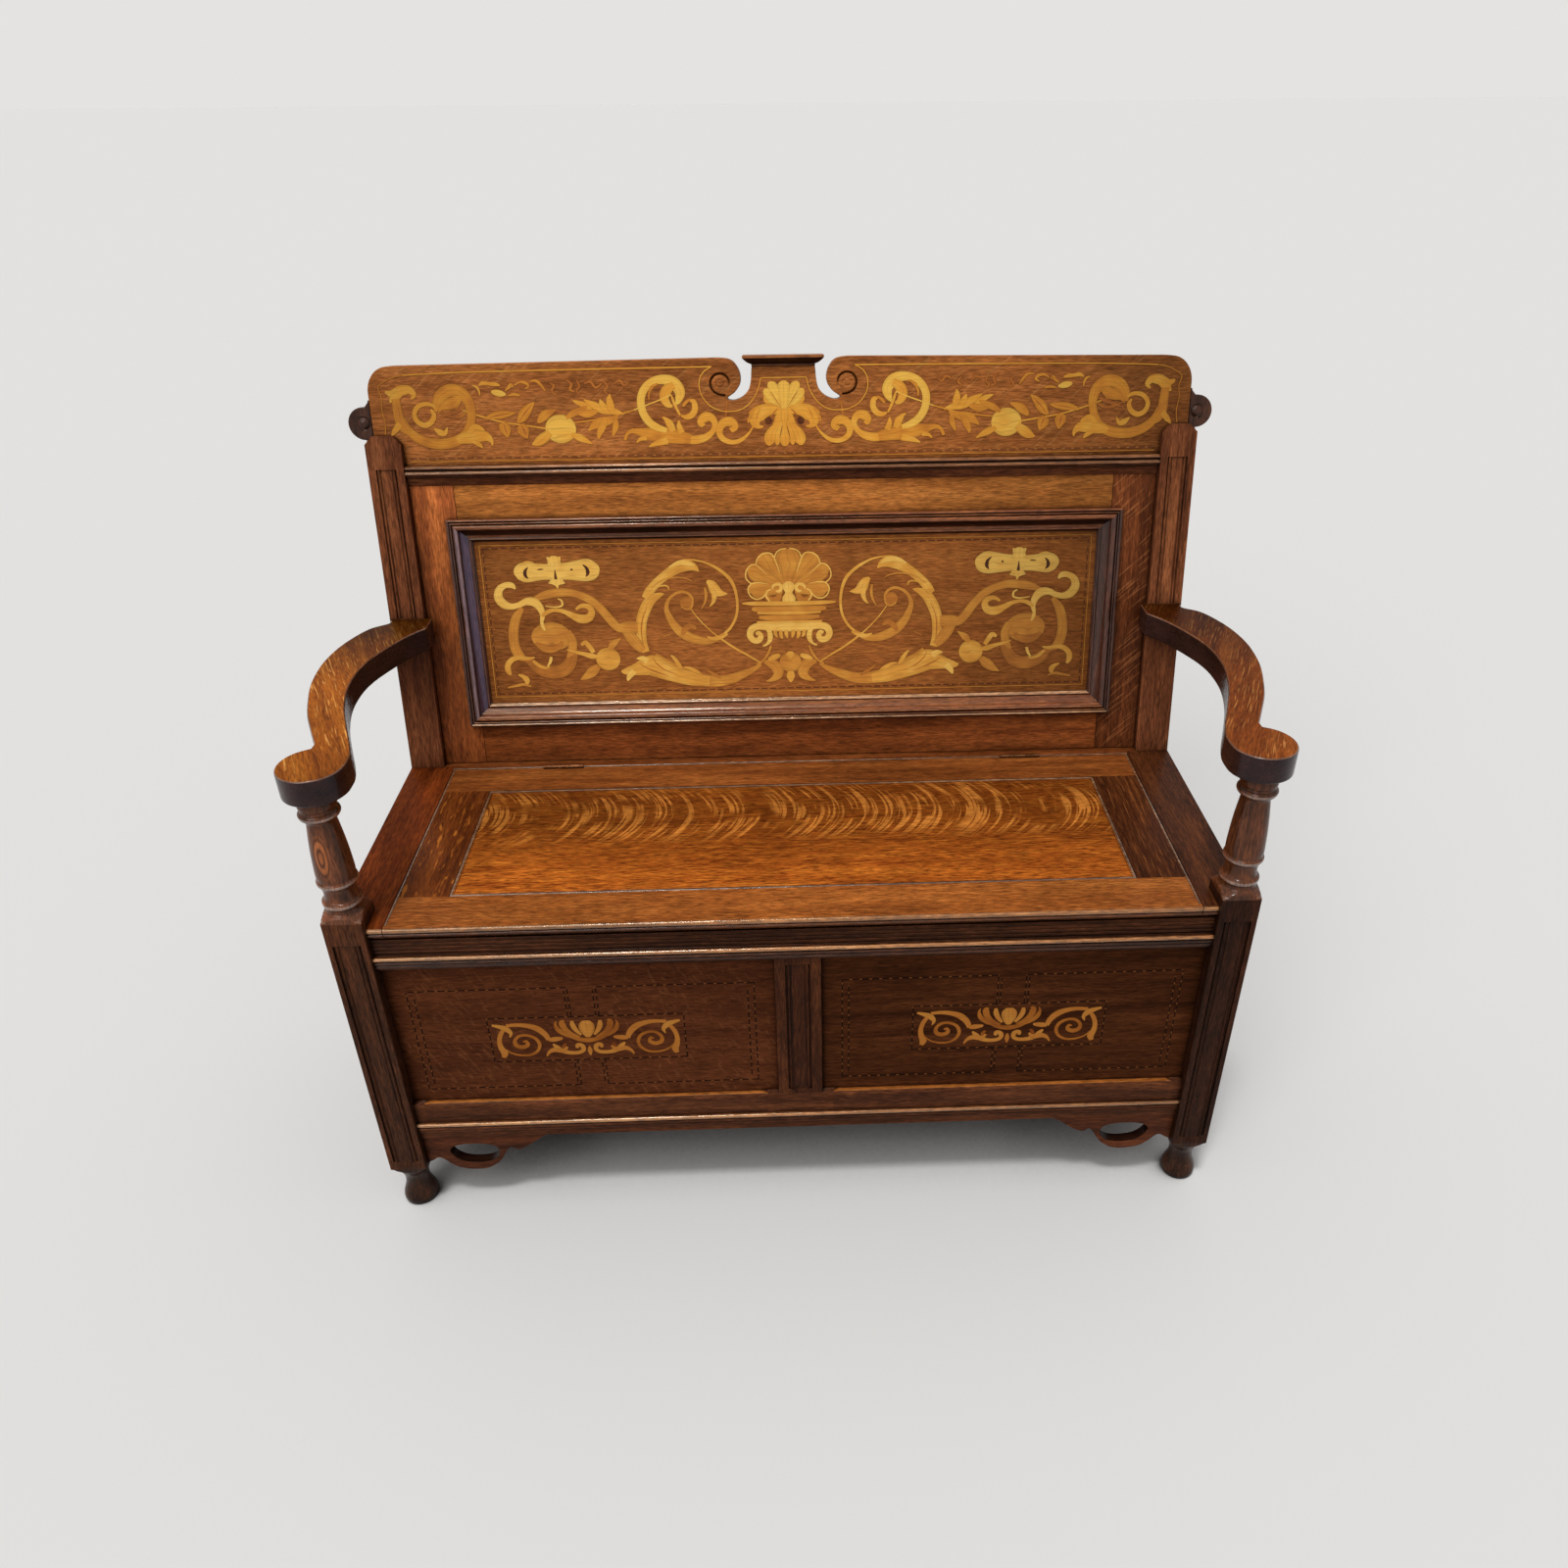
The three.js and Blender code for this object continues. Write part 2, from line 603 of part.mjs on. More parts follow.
// Sides of the box: rails grooved for a panel, tenoned into post and stile
function sideRail(rail, grooveAtTop) {
  const { z0, z1 } = rail;
  const g0 = SIDE_PANEL_X0 - GAP;
  const g1 = SIDE_PANEL_X1 + GAP;
  const outline = grooveAtTop
    ? [[SIDE_X0, z0], [SIDE_X1, z0], [SIDE_X1, z1], [g1, z1], [g1, z1 - GROOVE_D], [g0, z1 - GROOVE_D],
      [g0, z1], [SIDE_X0, z1]]
    : [[SIDE_X0, z0], [g0, z0], [g0, z0 + GROOVE_D], [g1, z0 + GROOVE_D], [g1, z0], [SIDE_X1, z0],
      [SIDE_X1, z1], [SIDE_X0, z1]];
  const [t0, t1] = tenonZ(rail);
  const x0 = SIDE_MID - TENON_HALF;
  const x1 = SIDE_MID + TENON_HALF;
  return join(
    prismY(outline, POST, SEAT_DEPTH),
    block(x0, x1, POST - TENON_L, POST + TENON_L, t0, t1),
    block(x0, x1, SEAT_DEPTH - TENON_L, SEAT_DEPTH + TENON_L, t0, t1),
  );
}
addPair("side_top_rail", sideRail(TOP_RAIL, false), OAK);
addPair("side_bottom_rail", sideRail(LOW_RAIL, true), OAK);
addPair("side_panel", block(
  SIDE_PANEL_X0, SIDE_PANEL_X1, POST - PANEL_REACH, SEAT_DEPTH + PANEL_REACH,
  LOW_RAIL.z1 - PANEL_REACH, TOP_RAIL.z0 + PANEL_REACH,
), OAK_PANEL);

// Back stiles: upright leg below the seat, raked above it
function backStile() {
  const top = [0, STILE_D].map((depth) => [
    SEAT_DEPTH + depth * COS_RAKE + STILE_RISE * SIN_RAKE,
    SEAT_H - depth * SIN_RAKE + STILE_RISE * COS_RAKE,
  ]);
  const outline = [
    [SEAT_DEPTH, 0], [LEG_BACK_Y, 0], [LEG_BACK_Y, SEAT_H], top[1], top[0], [SEAT_DEPTH, SEAT_H],
  ];
  const tools = [];
  for (const rail of [LOW_RAIL, TOP_RAIL]) {
    const [z0, z1] = tenonZ(rail);
    const low = z0 - GAP;
    const high = z1 + GAP;
    tools.push(block(SIDE_MID - MORTISE_HALF, SIDE_MID + MORTISE_HALF,
      SEAT_DEPTH - OVERRUN, SEAT_DEPTH + TENON_L + GAP, low, high));
    tools.push(block(STILE_X0 - OVERRUN, STILE_X0 + TENON_L + GAP,
      BACK_MID - MORTISE_HALF, BACK_MID + MORTISE_HALF, low, high));
  }
  const g0 = LOW_RAIL.z1 - GROOVE_D;
  const g1 = TOP_RAIL.z0 + GROOVE_D;
  tools.push(block(SIDE_PANEL_X0 - GAP, SIDE_PANEL_X1 + GAP,
    SEAT_DEPTH - OVERRUN, SEAT_DEPTH + GROOVE_D, g0, g1));
  tools.push(block(STILE_X0 - OVERRUN, STILE_X0 + GROOVE_D,
    BACK_PANEL_Y0 - GAP, BACK_PANEL_Y1 + GAP, g0, g1));
  // Lap at the top that takes the end of the crest board
  tools.push(rakedSolid(blockGeometry(STILE_X0 - OVERRUN, STILE_X1 + OVERRUN,
    FRAME_SET - GAP, STILE_D + OVERRUN, CREST_STEP, STILE_RISE + OVERRUN)));
  // Cut corners of the top end
  for (const [edge, inward] of [[STILE_X0, 1], [STILE_X1, -1]]) {
    const far = edge - inward * OVERRUN;
    tools.push(rakedSolid(prismYGeometry([
      [far, STILE_RISE - STILE_CHAMFER - OVERRUN],
      [edge + inward * (STILE_CHAMFER + OVERRUN), STILE_RISE + OVERRUN],
      [far, STILE_RISE + OVERRUN],
    ], -OVERRUN, STILE_D + OVERRUN)));
  }
  const channelLow = (ARM_TOP - SEAT_H) / COS_RAKE + GAP;
  const xChannel = (STILE_X0 + STILE_X1 - STILE_CHANNEL_W) / 2;
  const channel = channelOutline(STILE_CHANNEL_W).map(([across, drop]) => [xChannel + across, drop]);
  tools.push(rakedSolid(prismZGeometry(channel, channelLow, CREST_STEP - STILE_CHANNEL_DROP)));
  return cut(prismX(outline, STILE_X0, STILE_X1), ...tools);
}
addPair("back_stile", backStile(), OAK);

// Back of the box
function backRail(rail, grooveAtTop) {
  const { z0, z1 } = rail;
  const g0 = BACK_PANEL_Y0 - GAP;
  const g1 = BACK_PANEL_Y1 + GAP;
  const outline = grooveAtTop
    ? [[BACK_Y0, z0], [BACK_Y1, z0], [BACK_Y1, z1], [g1, z1], [g1, z1 - GROOVE_D], [g0, z1 - GROOVE_D],
      [g0, z1], [BACK_Y0, z1]]
    : [[BACK_Y0, z0], [g0, z0], [g0, z0 + GROOVE_D], [g1, z0 + GROOVE_D], [g1, z0], [BACK_Y1, z0],
      [BACK_Y1, z1], [BACK_Y0, z1]];
  const [t0, t1] = tenonZ(rail);
  const y0 = BACK_MID - TENON_HALF;
  const y1 = BACK_MID + TENON_HALF;
  const end = STILE_X0 + TENON_L;
  return join(
    prismX(outline, -STILE_X0, STILE_X0),
    block(STILE_X0 - TENON_L, end, y0, y1, t0, t1),
    block(-end, TENON_L - STILE_X0, y0, y1, t0, t1),
  );
}
add("box_back_top_rail", backRail(TOP_RAIL, false), OAK);
add("box_back_bottom_rail", backRail(LOW_RAIL, true), OAK);
add("box_back_panel", block(
  -STILE_X0 - PANEL_REACH, STILE_X0 + PANEL_REACH, BACK_PANEL_Y0, BACK_PANEL_Y1,
  LOW_RAIL.z1 - PANEL_REACH, TOP_RAIL.z0 + PANEL_REACH,
), OAK_PANEL);

// Floor of the box: boards along the length, on a bearer at each end
addPair("bearer", block(
  SIDE_X0 - BEARER_W, SIDE_X0, POST, SEAT_DEPTH, BOARD_Z - BEARER_H, BOARD_Z,
), OAK_INSIDE);

function bottomBoard(index) {
  const span = BACK_Y0 - RAIL_Y1 - BOARD_JOINT;
  const width = span / BOARD_COUNT - BOARD_JOINT;
  const y0 = RAIL_Y1 + BOARD_JOINT + index * (width + BOARD_JOINT);
  const end = SIDE_X0 - BOARD_JOINT;
  let board = block(-end, end, y0, y0 + width, BOARD_Z, BOARD_Z + BOARD_T);
  for (const side of [1, -1]) {
    const out = side * (end + OVERRUN);
    const post = side * (POST_IN_X - BOARD_JOINT);
    const stile = side * (STILE_X0 - BOARD_JOINT);
    board = cut(board,
      block(Math.min(post, out), Math.max(post, out), -OVERRUN, POST + BOARD_JOINT, 0, SEAT_H),
      block(Math.min(stile, out), Math.max(stile, out), SEAT_DEPTH - BOARD_JOINT, LEG_BACK_Y, 0, SEAT_H));
  }
  return board;
}
for (let i = 0; i < BOARD_COUNT; i += 1) {
  add(`bottom_board_${i + 1}`, bottomBoard(i), OAK_INSIDE);
}

// Moulded front edge of the seat in (y, z), from the underside up to the top
const edgeBeadShares = [[0.37, 0.59, 0.9], [0.63, 0.96, 1]];
const edgeCoveShares = [[0.45, 0], [0.3, 0.12], [0.2, 0.3]];

const edgeQuirkShare = 0.12;

function seatEdge() {
  const y = SEAT_EDGE_SET;
  const outline = edgeCoveShares.map(([inward, up]) => [y + inward * SEAT_T, SEAT_UNDER + up * SEAT_T]);
  const quirk = SEAT_T * edgeQuirkShare;
  for (const [from, to, share] of edgeBeadShares) {
    outline.push(...bead(y + quirk, SEAT_UNDER + from * SEAT_T, SEAT_UNDER + to * SEAT_T, quirk * share));
  }
  outline.push([y + quirk, SEAT_H]);
  return outline;
}

function seatEnd() {
  const root = POST + OVERRUN;
  const lip = prismX([...seatEdge(), [root, SEAT_H], [root, SEAT_UNDER]], END_X0, POST_IN_X);
  return join(lip, block(END_X0, STILE_X1, POST, SEAT_DEPTH, SEAT_UNDER, SEAT_H));
}
addPair("seat_end", seatEnd(), OAK_SEAT);

// Hinge parts share one axis in the joint between lid and strip
function hingeRecess(side) {
  const x0 = HINGE_X - HINGE_L / 2 - GAP;
  const x1 = HINGE_X + HINGE_L / 2 + GAP;
  const deep = LID_JOINT / 2 + HINGE_LEAF_T + GAP;
  const y = HINGE_Y + side * deep;
  const leafLow = SEAT_UNDER + HINGE_LEAF_FOOT - GAP;
  return join(
    block(x0, x1, Math.min(y, HINGE_Y), Math.max(y, HINGE_Y), leafLow, SEAT_H + OVERRUN),
    rodX(HINGE_KNUCKLE_R + HINGE_CLEAR, x0, x1, HINGE_Y, HINGE_Z),
  );
}

function bothSides(body) {
  return join(body, solid(mirrored(surface(body))));
}

function hingeLeaf(side) {
  const x0 = HINGE_X - HINGE_L / 2;
  const x1 = HINGE_X + HINGE_L / 2;
  const near = HINGE_Y + side * (LID_JOINT / 2 - GAP);
  const far = near + side * HINGE_LEAF_T;
  const top = HINGE_Z - HINGE_BORE_R - GAP;
  const low = SEAT_UNDER + HINGE_LEAF_FOOT;
  const middle = [HINGE_X - HINGE_MIDDLE / 2, HINGE_X + HINGE_MIDDLE / 2];
  const leaf = block(x0, x1, Math.min(near, far), Math.max(near, far), low, top);
  const outer = [[x0, middle[0] - GAP], [middle[1] + GAP, x1]];
  const inner = [[middle[0] + GAP, middle[1] - GAP]];
  const own = side > 0 ? outer : inner;
  const other = side > 0 ? inner : outer;
  const knuckles = own.map(([a, b]) => rodX(HINGE_KNUCKLE_R, a, b, HINGE_Y, HINGE_Z));
  const clear = other.map(([a, b]) => rodX(
    HINGE_KNUCKLE_R + HINGE_CLEAR, a - HINGE_CLEAR, b + HINGE_CLEAR, HINGE_Y, HINGE_Z));
  const bore = rodX(HINGE_BORE_R, x0 - OVERRUN, x1 + OVERRUN, HINGE_Y, HINGE_Z);
  return cut(join(cut(leaf, ...clear), ...knuckles), bore);
}
addPair("hinge_fixed_leaf", hingeLeaf(1), OLD_BRASS);
addPair("hinge_lid_leaf", hingeLeaf(-1), OLD_BRASS);

function hingePin() {
  const x0 = HINGE_X - HINGE_L / 2;
  const x1 = HINGE_X + HINGE_L / 2;
  const headR = (HINGE_PIN_R + HINGE_KNUCKLE_R) / 2;
  return join(
    rodX(HINGE_PIN_R, x0 - HINGE_HEAD, x1 + HINGE_HEAD, HINGE_Y, HINGE_Z),
    rodX(headR, x0 - GAP - HINGE_HEAD, x0 - GAP, HINGE_Y, HINGE_Z),
    rodX(headR, x1 + GAP, x1 + GAP + HINGE_HEAD, HINGE_Y, HINGE_Z),
  );
}
addPair("hinge_pin", hingePin(), OLD_BRASS);

function pinClearance() {
  const half = HINGE_L / 2 + HINGE_HEAD + HINGE_CLEAR + GAP;
  return rodX(HINGE_KNUCKLE_R + GAP, HINGE_X - half, HINGE_X + half, HINGE_Y, HINGE_Z);
}

// Fixed strip behind the lid, on the back rail and between the stiles
add("seat_rear_strip", cut(
  join(
    block(-END_X0, END_X0, STRIP_Y0, SEAT_DEPTH, SEAT_UNDER, SEAT_H),
    block(-STILE_X0, STILE_X0, SEAT_DEPTH, BACK_Y1, SEAT_UNDER, SEAT_H),
  ),
  bothSides(join(hingeRecess(1), pinClearance())),
), OAK_SEAT);

// Lid: rails run through, stiles and panel sit in their grooves
const LID_PANEL_X = LID_HALF - LID_STILE;
const LID_PANEL_Y0 = SEAT_EDGE_SET + LID_FRONT_RAIL;
const LID_PANEL_Y1 = LID_REAR_Y - LID_REAR_RAIL;
const LID_TONGUE_Z0 = SEAT_UNDER + SEAT_T / 2 - LID_TONGUE_T / 2;
const LID_TONGUE_Z1 = LID_TONGUE_Z0 + LID_TONGUE_T;

add("lid_front_rail", prismX([
  ...seatEdge(), [LID_PANEL_Y0, SEAT_H], [LID_PANEL_Y0, LID_TONGUE_Z1 + GAP],
  [LID_PANEL_Y0 - GROOVE_D, LID_TONGUE_Z1 + GAP], [LID_PANEL_Y0 - GROOVE_D, LID_TONGUE_Z0 - GAP],
  [LID_PANEL_Y0, LID_TONGUE_Z0 - GAP], [LID_PANEL_Y0, SEAT_UNDER],
], -LID_HALF, LID_HALF), OAK_SEAT);

add("lid_rear_rail", cut(prismX([
  [LID_PANEL_Y1, SEAT_UNDER], [LID_PANEL_Y1, LID_TONGUE_Z0 - GAP],
  [LID_PANEL_Y1 + GROOVE_D, LID_TONGUE_Z0 - GAP], [LID_PANEL_Y1 + GROOVE_D, LID_TONGUE_Z1 + GAP],
  [LID_PANEL_Y1, LID_TONGUE_Z1 + GAP], [LID_PANEL_Y1, SEAT_H], [LID_REAR_Y, SEAT_H], [LID_REAR_Y, SEAT_UNDER],
], -LID_HALF, LID_HALF), bothSides(join(hingeRecess(-1), pinClearance()))), OAK_SEAT);

addPair("lid_stile", cut(
  join(
    block(LID_PANEL_X, LID_HALF, LID_PANEL_Y0, LID_PANEL_Y1, SEAT_UNDER, SEAT_H),
    block(LID_PANEL_X, LID_HALF, LID_PANEL_Y0 - PANEL_REACH, LID_PANEL_Y1 + PANEL_REACH,
      LID_TONGUE_Z0, LID_TONGUE_Z1),
  ),
  block(LID_PANEL_X - OVERRUN, LID_PANEL_X + GROOVE_D, LID_PANEL_Y0 - GROOVE_D - OVERRUN,
    LID_PANEL_Y1 + GROOVE_D + OVERRUN, LID_TONGUE_Z0 - GAP, LID_TONGUE_Z1 + GAP),
), OAK_SEAT);

function lidPanel() {
  const x = LID_PANEL_X - GAP;
  const y0 = LID_PANEL_Y0 + GAP;
  const y1 = LID_PANEL_Y1 - GAP;
  const top = SEAT_H - LID_PANEL_DROP;
  const body = join(
    block(-x, x, y0, y1, SEAT_UNDER + LID_PANEL_UNDER, top),
    block(-LID_PANEL_X - PANEL_REACH, LID_PANEL_X + PANEL_REACH, LID_PANEL_Y0 - PANEL_REACH,
      LID_PANEL_Y1 + PANEL_REACH, LID_TONGUE_Z0, LID_TONGUE_Z1),
  );
  const w = LID_BEAD_CUT;
  const d = LID_BEAD_IN;
  const vee = (u) => [[u - w / 2, top + GAP], [u, top - w / 2], [u + w / 2, top + GAP]];
  return cut(body,
    prismX(vee(y0 + d), -x + d, x - d), prismX(vee(y1 - d), -x + d, x - d),
    prismY(vee(-x + d), y0 + d, y1 - d), prismY(vee(x - d), y0 + d, y1 - d));
}
add("lid_panel", lidPanel(), OAK_SEAT);

// Framed back, drawn in the raked plane: x across, y into the back, z up the slope
const FRAME_Y1 = FRAME_SET + FRAME_T;
const OPEN_X = BOL_OUT_X - BOL_LAP;
const OPEN_LOW = BOL_LOW + BOL_LAP;
const OPEN_TOP = BOL_TOP - BOL_LAP;
const BACK_FIELD_Y0 = FRAME_SET + BACK_PANEL_SET;
const BACK_FIELD_Y1 = BACK_FIELD_Y0 + PANEL_T;
const FRAME_MID = (FRAME_SET + FRAME_Y1) / 2;

function footOf(depth) {
  return (depth * SIN_RAKE + GAP) / COS_RAKE;
}

function frameTenons(z0, z1) {
  const end = OPEN_X + TENON_L;
  return join(
    block(OPEN_X - TENON_L, end, FRAME_MID - TENON_T / 2, FRAME_MID + TENON_T / 2, z0, z1),
    block(-end, TENON_L - OPEN_X, FRAME_MID - TENON_T / 2, FRAME_MID + TENON_T / 2, z0, z1),
  );
}

const FRAME_LOW_TENON = [footOf(FRAME_Y1) + TENON_SHOULDER, OPEN_LOW - TENON_SHOULDER];
const FRAME_TOP_TENON = [OPEN_TOP + TENON_SHOULDER, FRAME_RISE - TENON_SHOULDER];
const FIELD_G0 = BACK_FIELD_Y0 - GAP;
const FIELD_G1 = BACK_FIELD_Y1 + GAP;

function backFrameStile() {
  const x1 = STILE_X0 - GAP;
  const x0 = OPEN_X + GAP;
  const body = prismX([
    [FRAME_SET, footOf(FRAME_SET)], [FRAME_Y1, footOf(FRAME_Y1)],
    [FRAME_Y1, FRAME_RISE], [FRAME_SET, FRAME_RISE],
  ], x0, x1);
  const half = TENON_T / 2 + GAP;
  const mortises = [FRAME_LOW_TENON, FRAME_TOP_TENON].map(([z0, z1]) => block(
    x0 - OVERRUN, OPEN_X + TENON_L + GAP, FRAME_MID - half, FRAME_MID + half, z0 - GAP, z1 + GAP));
  const groove = block(x0 - OVERRUN, OPEN_X + GROOVE_D, FIELD_G0, FIELD_G1,
    OPEN_LOW - GROOVE_D, OPEN_TOP + GROOVE_D);
  return cut(body, ...mortises, groove);
}
addPair("back_frame_stile", backFrameStile(), OAK, back);

add("back_frame_bottom_rail", join(prismX([
  [FRAME_SET, footOf(FRAME_SET)], [FRAME_Y1, footOf(FRAME_Y1)], [FRAME_Y1, OPEN_LOW], [FIELD_G1, OPEN_LOW],
  [FIELD_G1, OPEN_LOW - GROOVE_D], [FIELD_G0, OPEN_LOW - GROOVE_D], [FIELD_G0, OPEN_LOW], [FRAME_SET, OPEN_LOW],
], -OPEN_X, OPEN_X), frameTenons(...FRAME_LOW_TENON)), OAK, back);

add("back_frame_top_rail", join(prismX([
  [FRAME_SET, OPEN_TOP], [FIELD_G0, OPEN_TOP], [FIELD_G0, OPEN_TOP + GROOVE_D], [FIELD_G1, OPEN_TOP + GROOVE_D],
  [FIELD_G1, OPEN_TOP], [FRAME_Y1, OPEN_TOP], [FRAME_Y1, FRAME_RISE], [FRAME_SET, FRAME_RISE],
], -OPEN_X, OPEN_X), frameTenons(...FRAME_TOP_TENON)), OAK, back);

add("back_panel", block(
  -OPEN_X - PANEL_REACH, OPEN_X + PANEL_REACH, BACK_FIELD_Y0, BACK_FIELD_Y1,
  OPEN_LOW - PANEL_REACH, OPEN_TOP + PANEL_REACH,
), OAK_PANEL, back);

// Bolection moulding: [share of width from the outer edge, share of the proud above the frame]
const bolectionFaceShares = [
  [0, 0.78], [0.02, 0.92], [0.07, 1], [0.12, 0.92], [0.136, 0.78], [0.15, 0.86], [0.185, 0.94], [0.22, 0.86],
  [0.236, 0.74], [0.25, 0.8], [0.3, 0.96], [0.375, 1], [0.45, 0.94], [0.5, 0.78], [0.515, 0.55],
  [0.57, 0.34], [0.66, 0.14], [0.77, 0.01], [0.83, -0.02], [0.85, 0.05], [0.895, 0.1], [0.94, 0.04],
  [0.97, -0.1], [1, -0.2],
];

function bolectionOutline() {
  const face = bolectionFaceShares.map(([across, up]) => [across * BOL_W, FRAME_SET - GAP - up * BOL_PROUD]);
  return [
    [0, FRAME_SET - GAP], ...face, [BOL_W, BACK_FIELD_Y0 - GAP],
    [BOL_LAP + GAP, BACK_FIELD_Y0 - GAP], [BOL_LAP + GAP, FRAME_SET - GAP],
  ];
}

function mitred(body, points) {
  return body.intersect(prismY(points, -BOL_PROUD, FRAME_Y1));
}

function bolectionRun(z, inward) {
  const outline = bolectionOutline().map(([across, y]) => [y, z + inward * across]);
  const out = BOL_OUT_X - GAP;
  const tip = out - BOL_W;
  const inner = z + inward * BOL_W;
  return mitred(prismX(outline, -BOL_OUT_X, BOL_OUT_X), [[-out, z], [out, z], [tip, inner], [-tip, inner]]);
}

function bolectionSide() {
  const outline = bolectionOutline().map(([across, y]) => [BOL_OUT_X - across, y]);
  const inner = BOL_OUT_X - BOL_W;
  return mitred(prismZ(outline, BOL_LOW, BOL_TOP), [
    [BOL_OUT_X, BOL_LOW + GAP], [BOL_OUT_X, BOL_TOP - GAP],
    [inner, BOL_TOP - GAP - BOL_W], [inner, BOL_LOW + GAP + BOL_W],
  ]);
}
add("bolection_bottom", bolectionRun(BOL_LOW, 1), OAK, back);
add("bolection_top", bolectionRun(BOL_TOP, -1), OAK, back);
addPair("bolection_side", bolectionSide(), OAK, back);

// Crest board: half outline from the neck of the urn out to the end, [x, height up the slope]
const slotShares = [[0.02, 0.85], [0.05, 0.58], [0.14, 0.32], [0.36, 0.12], [0.64, 0.02], [0.86, 0]];
const voluteShares = [
  [-0.34, -0.46], [-0.48, -0.4], [-0.72, -0.32], [-0.94, -0.06], [-1, 0.24], [-0.9, 0.56], [-0.66, 0.84],
  [-0.36, 0.96], [0.1, 1],
];
const cornerShares = [
  [1, 0], [0.82, 0.024], [0.58, 0.08], [0.38, 0.16], [0.22, 0.288], [0.1, 0.48], [0.03, 0.656], [0, 0.8],
];
const slotEndShare = 0.34;

function crestHalf() {
  const slotX = VOLUTE_X - VOLUTE_W * slotEndShare;
  const points = [[NECK_HALF, NECK_TOP]];
  for (const [across, up] of slotShares) {
    points.push([
      NECK_HALF + across * (slotX - NECK_HALF),
      SLOT_BOTTOM + up * (NECK_TOP - SLOT_BOTTOM),
    ]);
  }
  const rise = CREST_TOP - VOLUTE_RISE;
  for (const [across, up] of voluteShares) {
    points.push([VOLUTE_X + across * VOLUTE_W, VOLUTE_RISE + up * (up > 0 ? rise : VOLUTE_H)]);
  }
  for (const [inward, down] of cornerShares) {
    points.push([CREST_HALF - inward * CREST_CORNER, CREST_TOP - CREST_FALL - down * CREST_CORNER]);
  }
  points.push(
    [CREST_HALF, CREST_LEDGE], [STILE_X1, CREST_LEDGE], [STILE_X1, CREST_STEP + GAP],
    [STILE_X0 - GAP, CREST_STEP + GAP], [STILE_X0 - GAP, FRAME_RISE + GAP],
  );
  return points;
}

// Incised line that carries the scroll of the volute round its eye
const voluteTurns = 1.15;
const voluteSteps = 28;
const voluteStart = Math.PI / 9 - Math.PI / 2;
const voluteOuterShare = 1.35;
const voluteInnerShare = 0.8;
const voluteThinShare = 0.5;

function voluteLine() {
  const outer = [];
  const inner = [];
  for (let i = 0; i <= voluteSteps; i += 1) {
    const t = i / voluteSteps;
    const angle = voluteStart - t * voluteTurns * Math.PI * 2;
    const r = VOLUTE_EYE_R * (voluteOuterShare + (voluteInnerShare - voluteOuterShare) * t);
    const thin = VOLUTE_LINE * (1 - voluteThinShare * t);
    outer.push([VOLUTE_X + (r + thin / 2) * Math.cos(angle), VOLUTE_RISE + (r + thin / 2) * Math.sin(angle)]);
    inner.push([VOLUTE_X + (r - thin / 2) * Math.cos(angle), VOLUTE_RISE + (r - thin / 2) * Math.sin(angle)]);
  }
  return prismY([...outer, ...inner.reverse()], FRAME_SET - OVERRUN, FRAME_SET + VOLUTE_LINE_D);
}

function crestBoard() {
  const right = crestHalf();
  const left = right.map(([x, z]) => [-x, z]).reverse();
  return cut(prismY([...right, ...left], FRAME_SET, FRAME_Y1), bothSides(voluteLine()));
}
add("crest_board", crestBoard(), OAK_PANEL, back);

// Moulding over the joint of frame and crest
const crestMouldShares = [
  [0, 0], [0.06, 0], [0.2, 0.1], [0.34, 0.28], [0.46, 0.4], [0.6, 0.44], [0.62, 0.47],
  [0.86, 0.49], [1, 0.55], [1, 0.66], [0.86, 0.72], [0.62, 0.74],
  [0.62, 0.76], [0.84, 0.78], [0.95, 0.84], [0.95, 0.92], [0.8, 0.97], [0.6, 1], [0, 1],
];
add("crest_moulding", prismX(
  crestMouldShares.map(([out, up]) => [
    FRAME_SET - GAP - out * CREST_MOULD_PROUD,
    FRAME_RISE - CREST_MOULD_LAP + up * CREST_MOULD_H,
  ]),
  GAP - STILE_X0, STILE_X0 - GAP,
), OAK, back);

// Urn cap: an ovolo over a fillet, returned on all four sides
const capShares = [[0.04, 0], [0.04, 0.16], [0.2, 0.2], [0.5, 0.34], [0.8, 0.55], [1, 0.7], [1, 0.94], [0.94, 1]];

function urnCap() {
  const layers = [];
  for (let i = 1; i < capShares.length; i += 1) {
    const corners = [];
    for (const [over, up] of [capShares[i - 1], capShares[i]]) {
      const x = NECK_HALF + over * CAP_OVER;
      const z = NECK_TOP + GAP + up * CAP_H;
      const y0 = FRAME_SET - over * CAP_OVER;
      const y1 = FRAME_Y1 + over * CAP_OVER;
      corners.push([-x, y0, z], [x, y0, z], [x, y1, z], [-x, y1, z]);
    }
    layers.push(hull(corners));
  }
  return join(...layers);
}
add("urn_cap", urnCap(), OAK, back);

// Scroll ears at the ends of the crest
const earTurnShare = 1.04;
const earNeckShare = 0.3;
const buttonTopShare = 0.5;

